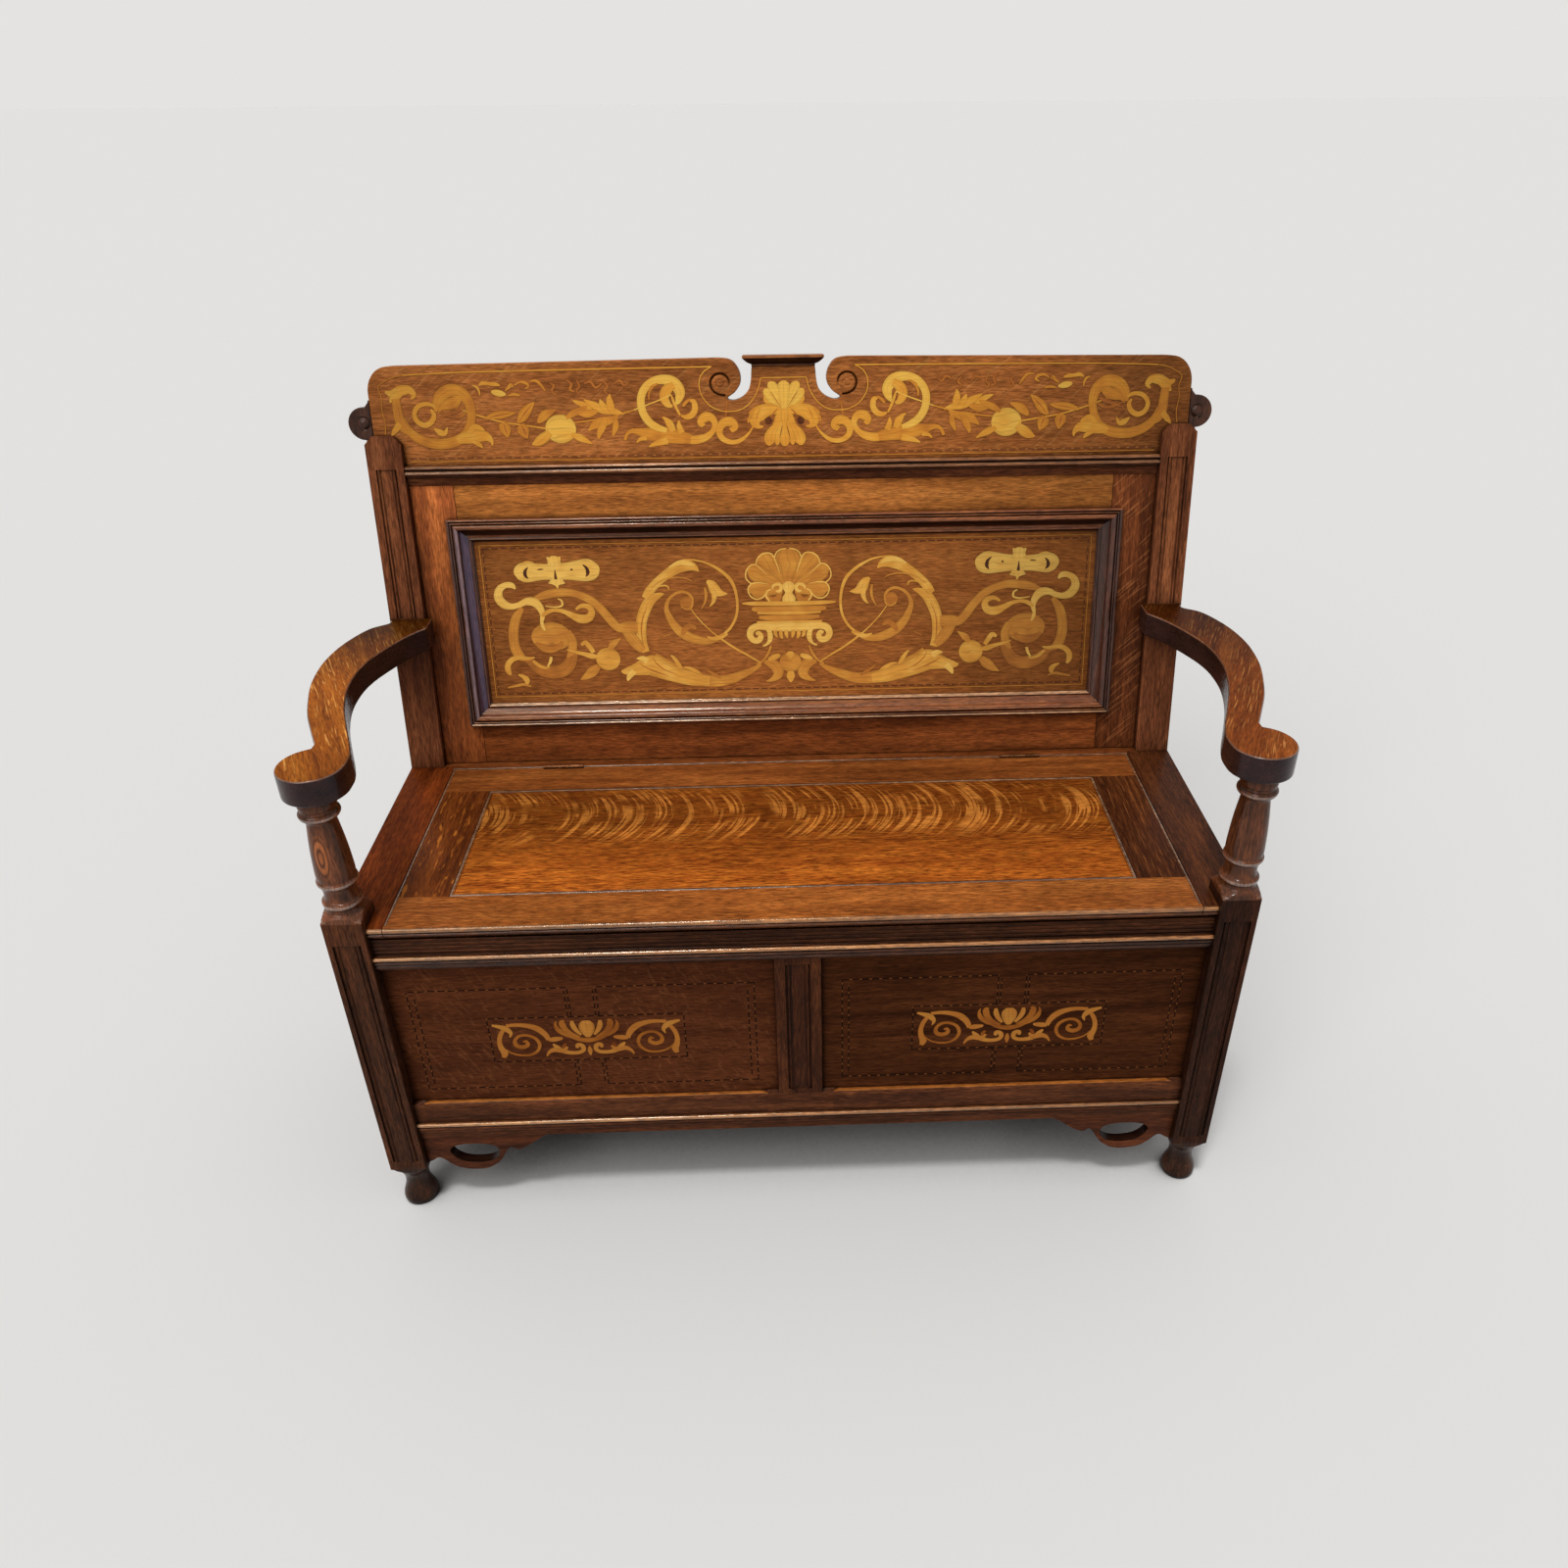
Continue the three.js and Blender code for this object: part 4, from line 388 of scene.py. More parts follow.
foot = curve(foot_profile, PROFILE_STEPS * len(foot_profile)) * (POST_R, FOOT_H)
baluster = curve(baluster_profile, PROFILE_STEPS * len(baluster_profile)) * (POST_R, BALUSTER_H) + (0, BLOCK_TOP)
stops = np.concatenate([CHANNEL_LOW - CHANNEL_POINT + np.linspace(0, CHANNEL_POINT + 2, 9), [120, 200, 300, 400],
                        [CHANNEL_TOP - 0.4, CHANNEL_TOP]])
shaft = np.stack([np.full(len(stops), 1.5 * POST_R), stops], -1)
turning = np.concatenate([foot, shaft, baluster])

side = POST_R - POST_ARRIS
bow = np.linspace(0, np.pi / 2, 5)[1:-1]
corner = np.stack([side + POST_ARRIS * np.sin(bow), -side - POST_ARRIS * np.cos(bow)], -1)
front_marks = np.concatenate([[-side], channel_stations(POST_CHANNEL_W), [side]])
plain_marks = np.linspace(-side, side, 11)
quarter = np.array([[0, -1], [1, 0]])
front_face = np.stack([front_marks, np.full(len(front_marks), -POST_R)], -1)
plain_face = np.stack([plain_marks, np.full(len(plain_marks), -POST_R)], -1)
square = np.concatenate([
    front_face, corner, plain_face @ quarter.T, corner @ quarter.T, plain_face @ quarter.T @ quarter.T,
    corner @ quarter.T @ quarter.T, plain_face @ quarter, corner @ quarter,
])
reach = np.linalg.norm(square, axis=1)
# Each ring is the square section, drawn in to the turned radius wherever that is the smaller of the two
for hand, middle in (("right", POST_X), ("left", -POST_X)):
    share = np.minimum(1, turning[:, :1] / reach)
    across, deep = square[:, 0] * share, square[:, 1] * share
    high = np.broadcast_to(turning[:, 1:], share.shape)
    on_front = (square[:, 1] < -POST_R + 0.01) & (share > 0.999)
    run_out = np.clip((high - CHANNEL_LOW + CHANNEL_POINT * (1 - 2 * np.abs(across) / POST_CHANNEL_W)) / 1.5, 0, 1)
    run_out = run_out * (high < CHANNEL_TOP - 0.1)
    deep = deep + channel(across, POST_CHANNEL_W) * run_out * on_front
    make("post_" + hand, [tube(place(middle + across, POST_R + deep, high))], oak_post_shaded if middle > 0 else oak_post,
         stands_for=["front_post_" + hand], sharp=50,
         also=[(oak_turned if middle > 0 else oak_knotty, lambda at, way: at[:, 2] > BLOCK_TOP * MM),
               (oak_foot, lambda at, way: at[:, 2] < FOOT_H * MM), (oak_ring_highlight, on_a_ring),
               (oak_arris_highlight, on_a_shoulder)])


# Front rails, muntin and panels
# Oak rails tenoned into the posts, with planted bead mouldings, a reeded muntin between, and two flat
# panels let into grooves. The low rail has a rounded, stopped chamfer on its upper arris.
RAIL_Y, PANEL_Y = 9, 17
POST_IN = FRAME_W / 2 - POST
LOW_RAIL, TOP_RAIL = (118, 178), (398, 441.7)

# Fumed oak under old wax: the reeded rail is nearly black in its hollows, with the upward faces of its reeds painted
# lighter as painted light, and the low rail warmer. The upper beads and the chamfer carry golden painted highlights.
# The panels are planed and almost dull, with faint pale ray flecks on the left one, and the right one is painted
# darker as painted shade.
oak_rail = oak("fumed_oak_rail", "x", "#64381f", "#3e2213", "#1a0d08", mottle=0.3)
oak_low_rail = oak("fumed_oak_low_rail", "x", "#8a5030", "#5a321d", "#28130c", mottle=0.3)
oak_bead_dark = oak("dark_oak_bead", "x", "#78462a", "#4c2a19", "#1e0f0a", rough=0.24, polish=0.2, mottle=0.35)
oak_bead_highlight = oak("painted_highlight_bead", "x", "#d2945a", "#a4683a", "#50290f", rough=0.18, coat=0.5, polish=0.9,
                      sheen="#ffe2bc", mottle=0.4, nook_size=2, hollow=4)
oak_chamfer_highlight = oak("painted_highlight_chamfer", "x", "#bc7436", "#945420", "#55270d", rough=0.34, coat=0.0, polish=0.2,
               sheen="#ffc98a", mottle=0.3, nook_size=2, hollow=4)
oak_muntin = oak("fumed_oak_muntin", "z", "#7a4526", "#4c2817", "#1e0e09", mottle=0.3)
oak_front = oak("panel_oak_front", "x", "#7c4428", "#5e321c", "#34180e", rough=0.44, streak=0.6, ray=(4, 16, 0.6, 0.25),
                ray_skew=radians(28), fleck="#8c5636", coat=0.0, polish=0.02, bands=(-0.5, 1.5), mottle=0.25, hollow=45)
oak_front_shaded = oak("painted_shade_front_panel", "x", "#6a3a20", "#4c2813", "#260f08", rough=0.44, streak=0.6,
                     coat=0.0, polish=0.02, bands=(0.1, 0.9), mottle=0.25, hollow=45)


def moulded(profile, start, end, across, out, mitres=(0, 0)):
    """A straight length of moulding. A profile point (a, u) at the share t of the run lies at
    start + (end - start)t + a * across + u * out, pulled in along the run by a at a mitred end."""
    profile = np.asarray(profile, float)
    start, end, across, out = (np.asarray(v, float) for v in (start, end, across, out))
    along = (end - start) / np.linalg.norm(end - start)
    a, u = profile[:, :1], profile[:, 1:]
    ring = a * across + u * out
    return np.stack([start + ring + along * a * mitres[0], end + ring - along * a * mitres[1]])


def beads(ground, spans, steps=10):
    """A row of half-round beads over flat ground: each (from, to, proud) is an arc of height proud sin(turn)."""
    turn = np.linspace(0, np.pi, steps)
    rows = [np.stack([(low + high) / 2 - (high - low) / 2 * np.cos(turn), ground + (proud - ground) * np.sin(turn)], -1)
            for low, high, proud in spans]
    return np.concatenate(rows)


def closed_length(grid):
    """A length of moulding as a closed skin in metres: its two end rings joined by quads, with flat ends."""
    return tube(place(grid[..., 0], grid[..., 1], grid[..., 2]))


UP, BACK, ACROSS, TOWARD = (0, 0, 1), (0, 1, 0), (1, 0, 0), (0, -1, 0)
RAIL_T, REED_DEPTH, CHAMFER, CHAMFER_IN, CHAMFER_STOP = 21, 1.4, 7, 13, 9
REEDS = (0.5, 0.63, 0.76, 0.88, 1)
MUNTIN_HALF = 27.5
LET_IN = 0.2

high = TOP_RAIL[1] - TOP_RAIL[0]
reeds = beads(-REED_DEPTH, [(low * high, top * high, 0) for low, top in zip(REEDS, REEDS[1:])])
section = np.concatenate([[(0, -RAIL_T), (0, 0), (REEDS[0] * high - 1, 0)], reeds, [(high, -RAIL_T)]])
grid = moulded(section, (-POST_IN, RAIL_Y, TOP_RAIL[0]), (POST_IN, RAIL_Y, TOP_RAIL[0]), UP, TOWARD)
# The upward faces of the reeds take the low rail's lighter finish, as painted light
make("reeded_top_rail", [closed_length(grid)], oak_rail, stands_for=["front_top_rail"],
     also=[(oak_low_rail, lambda at, way: (way[:, 2] > 0.5) & (way[:, 1] < -0.2))])

# The low rail is a row of rings along its length, each its section with the upper arris rounded by cut
inner, outer = MUNTIN_HALF + CHAMFER_IN, POST_IN - CHAMFER_IN
stop = CHAMFER_STOP * np.array([0, 0.3, 0.7, 1])
along = np.concatenate([[0], inner + stop, outer - stop[::-1], [POST_IN]])
cut = CHAMFER * np.array([0, 0, 0.45, 0.85, 1, 1, 0.85, 0.45, 0, 0])
along, cut = np.concatenate([-along[:0:-1], along]), np.concatenate([cut[:0:-1], cut])[:, None]
bow = np.linspace(0, np.pi / 2, 6)
back = np.concatenate([0 * cut, cut * (1 - np.cos(bow)), RAIL_T + 0 * cut, RAIL_T + 0 * cut], 1)
low, top = LOW_RAIL
up = np.concatenate([low + 0 * cut, top - cut * (1 - np.sin(bow)), top + 0 * cut, low + 0 * cut], 1)


def on_the_chamfer(at, way):
    """The faces of the rounded chamfer that look up, which take a painted highlight."""
    near = (at[:, 2] > (LOW_RAIL[1] - CHAMFER) * MM) & (at[:, 1] < FRONT + (RAIL_Y + CHAMFER) * MM)
    return near & (way[:, 2] > 0.85)


make("chamfered_low_rail", [tube(place(along[:, None], RAIL_Y + back, up))], oak_low_rail,
     stands_for=["front_bottom_rail"], sharp=30, also=[(oak_chamfer_highlight, on_the_chamfer)])
planed("front_muntin", oak_muntin, ease=0.0, sharp=30)

# Planted mouldings: name, node, finish, height of the foot, height, how far proud, and the beads as shares
# (from, to, proud) of the height and of the projection
for name, node_name, finish, foot_z, high, proud, shares in (
    ("rail_beads", "front_rail_moulding", oak_bead_dark, TOP_RAIL[0] + 3, 18, 5.5,
     [(0.04, 0.3, 0.6), (0.34, 0.6, 0.8), (0.66, 0.98, 1)]),
    ("sill_beads", "sill_moulding", oak_low_rail, LOW_RAIL[0] + 11, 17.5, 4.5,
     [(0.04, 0.26, 0.55), (0.3, 0.56, 0.8), (0.63, 0.96, 1)]),
):
    ground = 0.35 * proud
    rows = beads(ground, [(a * high, b * high, s * proud) for a, b, s in shares])
    rows = np.concatenate([[(0, -LET_IN), (0, ground)], rows, [(high, ground), (high, -LET_IN)]])
    grid = moulded(rows, (-POST_IN, RAIL_Y, foot_z), (POST_IN, RAIL_Y, foot_z), UP, TOWARD)
    # The forward faces of the upper beads take a golden painted highlight
    make(name, [closed_length(grid)], finish, stands_for=[node_name],
         also=[(oak_bead_highlight, lambda at, way: (at[:, 2] > (foot_z + 0.6 * high) * MM) & (way[:, 1] < -0.2))])

planed("front_panel_right", oak_front_shaded, ease=0.3)
planed("front_panel_left", oak_front, ease=0.3)


# Inlay of the front panels
# Veneers about 0.3 mm thick let in flush and now standing a hair proud: a tablet with a lotus cup between
# scrolls in pale woods, framed by chequered stringing. The light woods are box, satin and stained pear.

# Woods by their tone, from bog oak over stained pear and satinwood to box; CHEQUER marks the stringing.
# The fibres of the veneer are drawn coarser than real ones, so that they show.
DARK, RED, MID, HONEY, PALE, CHEQUER = 0.04, 0.36, 0.56, 0.76, 0.97, 2.0
VENEER_FIBRE_L, VENEER_FIBRE_W, CHEQUER_STEP, CHEQUER_DARK = 30, 1.2, 12, 8.5
GRAVED_LINES, GRAVER_DRIFT = 19.0, 9.0


def veneer(name, tones, strings, polish=0.15, coat=0.08, run="slope x", fade=("X", 0, (0, 600), (1, 1))):
    """Marquetry veneers under one wax polish. The veneer attribute holds the wood's tone, the place across the
    strip, where hot sand has shaded both edges and a graver has cut fine lines, and the distance along it in
    metres, for the chequered stringing, whose dark and light blocks are strings. polish is the gloss of the wood,
    coat the wax on it, and fade as for oak."""
    finish, tree, shader = new_finish(name)
    mark = node(tree, "Attribute", out="Vector", attribute_name="veneer")
    tone, across, along = node(tree, "SeparateXYZ", {0: mark}, out=None)
    place_on = node(tree, "TexCoord", out="Object")
    spot = node(tree, "Mapping", {"Vector": place_on, "Rotation": RUNS[run]})
    fine = 1 / (VENEER_FIBRE_W * MM)
    size = node(tree, "VectorMath", (spot, (1 / (VENEER_FIBRE_L * MM), fine, fine)), operation="MULTIPLY")
    grain = node(tree, "TexNoise", {"Vector": size, "Scale": 1.0, "Detail": 2.0})
    # Clouds of about 22 mm, in which the tone drifts
    cloud = node(tree, "TexNoise", {"Vector": spot, "Scale": 45.0, "Detail": 1.0})
    drift = node(tree, "MapRange", (cloud, 0.3, 0.7, -0.1, 0.1))
    wood = node(tree, "Math", (tone, drift), operation="ADD")
    colour = node(tree, "ValToRGB", {0: wood}, tones)
    off = node(tree, "Math", (across, 0.5), operation="SUBTRACT")
    off = node(tree, "Math", {0: off}, operation="ABSOLUTE")
    burnt = node(tree, "MapRange", (off, 0.36, 0.5, 1.0, 0.72))
    turn = node(tree, "Math", (cloud, GRAVER_DRIFT), operation="MULTIPLY")
    turn = node(tree, "Math", (across, GRAVED_LINES, turn), operation="MULTIPLY_ADD")
    cuts = node(tree, "Math", {0: turn}, operation="SINE")
    graved = node(tree, "MapRange", (cuts, 0.75, 1.0, 1.0, 0.8))
    shade = node(tree, "MapRange", (grain, 0.3, 0.7, 0.86, 1.1))
    for other in (burnt, graved):
        shade = node(tree, "Math", (shade, other), operation="MULTIPLY")
    shaded = node(tree, "Mix", {0: 1.0, 6: colour, 7: shade}, out=2, data_type="RGBA", blend_type="MULTIPLY")
    step = node(tree, "Math", (along, CHEQUER_STEP * MM), operation="MODULO")
    dash = node(tree, "Math", (step, CHEQUER_DARK * MM), operation="GREATER_THAN")
    string = node(tree, "Mix", {0: dash, 6: linear(strings[0]), 7: linear(strings[1])}, out=2, data_type="RGBA")
    chequered = node(tree, "Math", (tone, 1.5), operation="GREATER_THAN")
    clean = node(tree, "Mix", {0: chequered, 6: shaded, 7: string}, out=2, data_type="RGBA")
    final = node(tree, "Mix", {0: 1.0, 6: clean, 7: faded(tree, place_on, *fade)}, out=2, data_type="RGBA",
                 blend_type="MULTIPLY")
    tree.links.new(final, shader.inputs["Base Color"])
    gloss = node(tree, "MapRange", (grain, 0, 1, 0.34, 0.26))
    tree.links.new(gloss, shader.inputs["Roughness"])
    shader.inputs["IOR"].default_value = OAK_IOR
    shader.inputs["Specular IOR Level"].default_value = polish
    shader.inputs["Coat Weight"].default_value = coat
    shader.inputs["Coat Roughness"].default_value = 0.15
    return finish


def strips(strokes, face, rise=0.3, root=0.15, close=7):
    """Cut veneers laid on a face. A stroke is its wood's tone and knots (across, up, half width): at s from -1 to 1
    across it the point is the line's point plus s times the half width along the line's normal. It stands rise mm
    proud and is rooted root mm deep, each a hair above the one before, so that crossing strokes don't flicker."""
    side = np.array([-1, -1, -0.5, 0, 0.5, 1, 1])
    level = np.array([-root, rise, rise, rise, rise, rise, -root])
    shells, marks = [], []
    for number, (tone, knots) in enumerate(strokes):
        line = curve(knots, close * (len(knots) - 1) + 1)
        way = np.gradient(line[:, :2], axis=0)
        way /= np.maximum(np.linalg.norm(way, axis=1, keepdims=True), 1e-9)
        half = np.maximum(line[:, 2:], 0.12) * side
        u = line[:, :1] - way[:, 1:] * half
        v = line[:, 1:2] + way[:, :1] * half
        lift = level + np.where(level > 0, number * 0.0015, 0)
        shells.append(tube(face(u, v, np.broadcast_to(lift, u.shape))))
        run = np.concatenate([[0], np.cumsum(np.linalg.norm(np.diff(line[:, :2], axis=0), axis=1))])
        marks.append(np.stack(np.broadcast_arrays(tone, (side + 1) / 2, run[:, None] * MM), -1).reshape(-1, 3))
    return shells, np.concatenate(marks)


def both_hands(strokes, middle=0.0):
    """Strokes drawn on the left of a middle line, with their mirror images on the right."""
    return strokes + [(tone, [(2 * middle - u, v, w) for u, v, w in knots]) for tone, knots in strokes]


def moved(strokes, along):
    """The same strokes, set further to the right."""
    return [(tone, [(u + along, v, w) for u, v, w in knots]) for tone, knots in strokes]


def stringing(tone, half, *points):
    """A thin string of one width through points (across, up)."""
    return (tone, [(u, v, half) for u, v in points])


# Veneers mellowed to brown and gold under thin wax, without much shine; the stringing is dark, with dull red
inlay_dark = veneer("marquetry_front", [(0.0, "#2a140a"), (1.0, "#d08a3c"), (RED, "#84441e"), (MID, "#b06828"),
                                        (HONEY, "#c47a34")],
                    ("#1c0d06", "#7c4a26"), polish=0.03, coat=0.0, run="x")

# Strokes of the left half of a tablet, in mm from its middle line and above the floor, with half widths
tablet_half = [
    (HONEY, [(-48, 274, 3), (-52, 284, 4), (-60, 293, 4.5), (-71, 298, 3.6), (-84, 300, 2.8), (-97, 299, 2.4)]),
    (PALE, [(-114, 300.5, 1.5), (-106, 298, 3), (-98, 294, 4.2), (-93, 287, 2.6), (-95, 280, 0.6)]),
    (HONEY, [(-101, 293, 2.5), (-106, 284, 3), (-108.5, 274, 3), (-108, 264, 3.6), (-105, 255, 4.6),
             (-107, 247, 2.6)]),
    (MID, [(-104, 262, 0.8), (-96, 254, 1.1), (-85, 250, 1.5), (-73, 250.5, 1.8), (-64, 257, 2),
           (-60.5, 267, 2.3), (-64, 277, 2.3), (-73, 282.5, 2), (-83, 282, 2.1), (-89.5, 275, 2.3),
           (-89, 267, 3), (-82, 263.5, 3.2), (-75, 267, 2.8), (-76, 273, 2), (-80, 272, 1)]),
    (HONEY, [(-48.5, 274, 2.2), (-42, 275, 3.8), (-34, 276, 2.6), (-31, 277, 1)]),
    (PALE, [(-44, 267, 1.2), (-40, 262, 3.2), (-35, 256, 3.6), (-25, 252, 3), (-14, 252, 2.8), (-8, 256, 2.8),
            (-8.5, 262.5, 3.2), (-13.5, 264, 3.6), (-15.5, 259.5, 1.6)]),
    (HONEY, [(-54, 247, 0.8), (-50, 254, 2.4), (-43, 257.5, 3.6), (-33, 256, 3.6), (-27, 262, 1.4)]),
    (RED, [(-28, 268, 1.6), (-31, 264, 2.4), (-32, 260, 1.5)]),
    (MID, [(-10, 277, 1.5), (-21, 284, 3.2), (-27.5, 293, 4), (-29, 302, 4), (-26, 305, 1)]),
    (PALE, [(-8, 281, 1.6), (-13.5, 289, 3), (-16.5, 297, 3.3), (-17, 304, 2)]),
    (MID, [(-16, 276, 1.2), (-27, 282, 2.8), (-35, 290, 3.2), (-37.5, 299, 1.8), (-36, 304, 0.7)]),
]
tablet_middle = [
    (PALE, [(0, 277, 2.5), (0, 284, 7), (0, 292, 9.6), (0, 299, 8.8), (0, 304, 4.5)]),
    (MID, [(-24, 280, 0.8), (-14, 274.5, 2.6), (0, 272, 3.6), (14, 274.5, 2.6), (24, 280, 0.8)]),
    (HONEY, [(0, 262, 1), (0, 256, 3), (0, 251, 2.2), (0, 247, 0.8)]),
]
TABLET_X = 259
TABLET_FRAME = (119, 240, 311)
FIELD = (53, 466, 197, 357)
PAIR_IN, PAIR_W, PAIR_LOW, SECOND_IN, SECOND_LOW = 17, 4, 5, 8, 9


def panel_strings(middle):
    """Chequered stringing: a rectangle round the field, one round the tablet, and short pairs that join them."""
    half, low, high = TABLET_FRAME
    x0, x1, z0, z1 = FIELD
    inner0, inner1, low1, high1 = x0 + SECOND_IN, x1 - SECOND_IN, z0 + SECOND_LOW, z1 - SECOND_LOW
    rows = [
        ((x0, z0), (middle - PAIR_IN, z0)), ((middle + PAIR_IN, z0), (x1, z0)),
        ((x0, z1), (middle - PAIR_IN, z1)), ((middle + PAIR_IN, z1), (x1, z1)),
        ((x0, z0), (x0, z1)), ((x1, z0), (x1, z1)),
        ((inner0, low1), (inner0, high1)), ((inner1, low1), (inner1, high1)),
        ((middle - half, low), (middle + half, low)), ((middle - half, high), (middle + half, high)),
        ((middle - half, low), (middle - half, high)), ((middle + half, low), (middle + half, high)),
    ]
    for x in (middle - PAIR_IN, middle + PAIR_IN):
        rows += [((x, z0), (x, low)), ((x, high), (x, z1)),
                 ((x + PAIR_W, z0 + PAIR_LOW), (x + PAIR_W, low)), ((x + PAIR_W, high), (x + PAIR_W, z1 - PAIR_LOW))]
    return [stringing(CHEQUER, 0.6, *row) for row in rows]


for hand, sign in (("right", 1), ("left", -1)):
    tablet = both_hands(tablet_half) + tablet_middle
    shells, marks = strips(panel_strings(TABLET_X) + moved(tablet, TABLET_X),
                           lambda u, v, d: place(sign * u, PANEL_Y - d, v), rise=0.25)
    make("front_marquetry_" + hand, shells, inlay_dark, veneer=marks, sharp=60)


# Pierced brackets
# A pair of shaped brackets in 14 mm oak, sawn with lobed lower edges and an eye, their arrises taken off, and
# glued up in the corners under the low rail.
BRACKET_L, BRACKET_H, BRACKET_Y, BRACKET_T, EYE_L, EYE_H = 160, 63, 11, 14, 64, 35
EYE_ALONG, EYE_DOWN = 0.4, 0.52
# Fumed oak, planed and waxed brown on the face and nearly black on the sawn edges
oak_sawn = oak("sawn_oak_edge", "x", "#3a1f14", "#26130c", "#120906", rough=0.3, nook_size=14)
oak_bracket = oak("fumed_oak_bracket", "x", "#85492a", "#5c301c", "#2a140c", mottle=0.25)
WELL_RINGS, WELL_SPOKES = 34, 96


def sawn(outer, where, thick, ease=1.0, holes=(), relief=(), steps=4):
    """A board sawn to an outline. Round its edge, at an angle a of the rounding, the line is set in by
    ease (1 - sin a) and lies ease (1 - cos a) below the face; the two faces are filled. relief is
    (u, v, radius, depth(r, turn)) for round carvings worked into the front face."""
    turn = np.linspace(0, np.pi / 2, steps)
    inset = np.concatenate([ease * (1 - np.sin(turn)), ease * (1 - np.sin(turn[::-1]))])
    level = np.concatenate([ease * (1 - np.cos(turn)), thick - ease * (1 - np.cos(turn[::-1]))])
    points, faces, rings, start = [], [], [], 0
    for number, outline in enumerate([outer, *holes]):
        outline = np.asarray(outline, float)
        following, before = np.roll(outline, -1, 0), np.roll(outline, 1, 0)
        area = np.sum(outline[:, 0] * following[:, 1] - following[:, 0] * outline[:, 1])
        if area < 0:
            outline, following, before = outline[::-1], before[::-1], following[::-1]
        way = following - before
        way /= np.linalg.norm(way, axis=1, keepdims=True)
        inward = np.stack([-way[:, 1], way[:, 0]], -1) * (-1 if number else 1)
        flat = outline[None] + inward[None] * inset[:, None, None]
        deep = np.broadcast_to(level[:, None], flat.shape[:2])
        points.append(where(flat[..., 0], flat[..., 1], deep).reshape(-1, 3))
        faces += (net(len(level), len(outline)) + start).tolist()
        rings.append((flat[0], flat[-1], start, start + (len(level) - 1) * len(outline)))
        start += len(level) * len(outline)
    wells = []
    for u, v, radius, depth in relief:
        spokes = np.linspace(0, 2 * np.pi, WELL_SPOKES + 1)[:-1]
        r, turn = np.meshgrid(radius * np.linspace(1, 0, WELL_RINGS), spokes, indexing="ij")
        x, y = u + r * np.cos(turn), v + r * np.sin(turn)
        points.append(where(x, y, depth(r, turn)).reshape(-1, 3))
        faces += (net(WELL_RINGS, WELL_SPOKES) + start).tolist()
        wells.append((np.stack([x[0], y[0]], -1), start))
        start += WELL_RINGS * WELL_SPOKES
    for face, extra in ((0, wells), (1, [])):
        loops = [(ring[face], ring[2 + face]) for ring in rings] + extra
        numbers = np.concatenate([first + np.arange(len(loop)) for loop, first in loops])
        fill = tessellate_polygon([[Vector((u, v, 0)) for u, v in loop] for loop, first in loops])
        faces += [[int(numbers[i]) for i in three] for three in fill]
    return np.concatenate(points), faces


# Outlines as shares of a bracket's length and height, and of its eye's
bracket_edge = [
    (0, 0.74), (0.045, 0.7), (0.09, 0.62), (0.13, 0.66), (0.18, 0.8), (0.24, 0.92), (0.32, 0.985),
    (0.4, 1), (0.47, 0.98), (0.53, 0.9), (0.58, 0.79), (0.62, 0.64), (0.65, 0.5), (0.675, 0.41), (0.7, 0.385),
    (0.72, 0.43), (0.75, 0.45), (0.79, 0.42), (0.85, 0.32), (0.9, 0.22), (0.95, 0.12), (1, 0.05),
]
eye_edge = [
    (-0.5, 0.06), (-0.42, -0.26), (-0.25, -0.45), (0, -0.5), (0.25, -0.42), (0.42, -0.18), (0.5, 0.14),
    (0.42, 0.36), (0.22, 0.47), (0, 0.5), (-0.22, 0.46), (-0.42, 0.34), (-0.5, 0.06),
]
lobes = np.concatenate([[(0, 0)], curve(bracket_edge, 90), [(1, 0)]])
lobes = lobes * (-BRACKET_L, -BRACKET_H) + (POST_IN, LOW_RAIL[0])
eye_at = (POST_IN - EYE_ALONG * BRACKET_L, LOW_RAIL[0] - EYE_DOWN * BRACKET_H)
eye = curve(eye_edge, 61)[:-1] * (EYE_L, EYE_H) + eye_at
for hand, sign in (("right", 1), ("left", -1)):
    make("pierced_bracket_" + hand,
         [sawn(lobes, lambda u, v, d: place(sign * u, BRACKET_Y + d, v), BRACKET_T, ease=0.9, holes=[eye])],
         oak_bracket, stands_for=["bracket_" + hand], sharp=55,
         also=[(oak_sawn, lambda at, way: np.abs(way[:, 1]) < 0.5)])


# Sides, back stiles and back of the box
# Rails tenoned into post and stile round a flat panel at each end and along the back. The stiles stand
# upright to the seat and lean back above it, with a reeded channel down the front of the raked part.

# Fumed oak that few hands touch: an even dark brown at the sides, redder on the stiles, and dull on the back
oak_side = oak("fumed_oak_side", "y", "#74422a", "#52291a", "#28130c")
oak_side_panel = oak("panel_oak_side", "y", "#7a4528", "#59301b", "#32190e", rough=0.42)
oak_stile = oak("fumed_oak_stile", "slope z", "#b06c42", "#7c462a", "#301810", mottle=0.3)
oak_box_back = oak("back_oak_rail", "x", "#7d5030", "#5e3a22", "#352013", rough=0.5, coat=0.1)
for hand in ("right", "left"):
    planed("side_top_rail_" + hand, oak_side)
    planed("side_bottom_rail_" + hand, oak_side)
    planed("side_panel_" + hand, oak_side_panel, ease=0.3)
    planed("back_stile_" + hand, oak_stile, ease=0.0, sharp=30)
planed("box_back_top_rail", oak_box_back)
planed("box_back_bottom_rail", oak_box_back)
planed("box_back_panel", oak_box_back, ease=0.3)


# Floor of the box
# Three boards of plain oak laid along the length, on a bearer fixed inside each end. They were planed and
# never stained or polished.

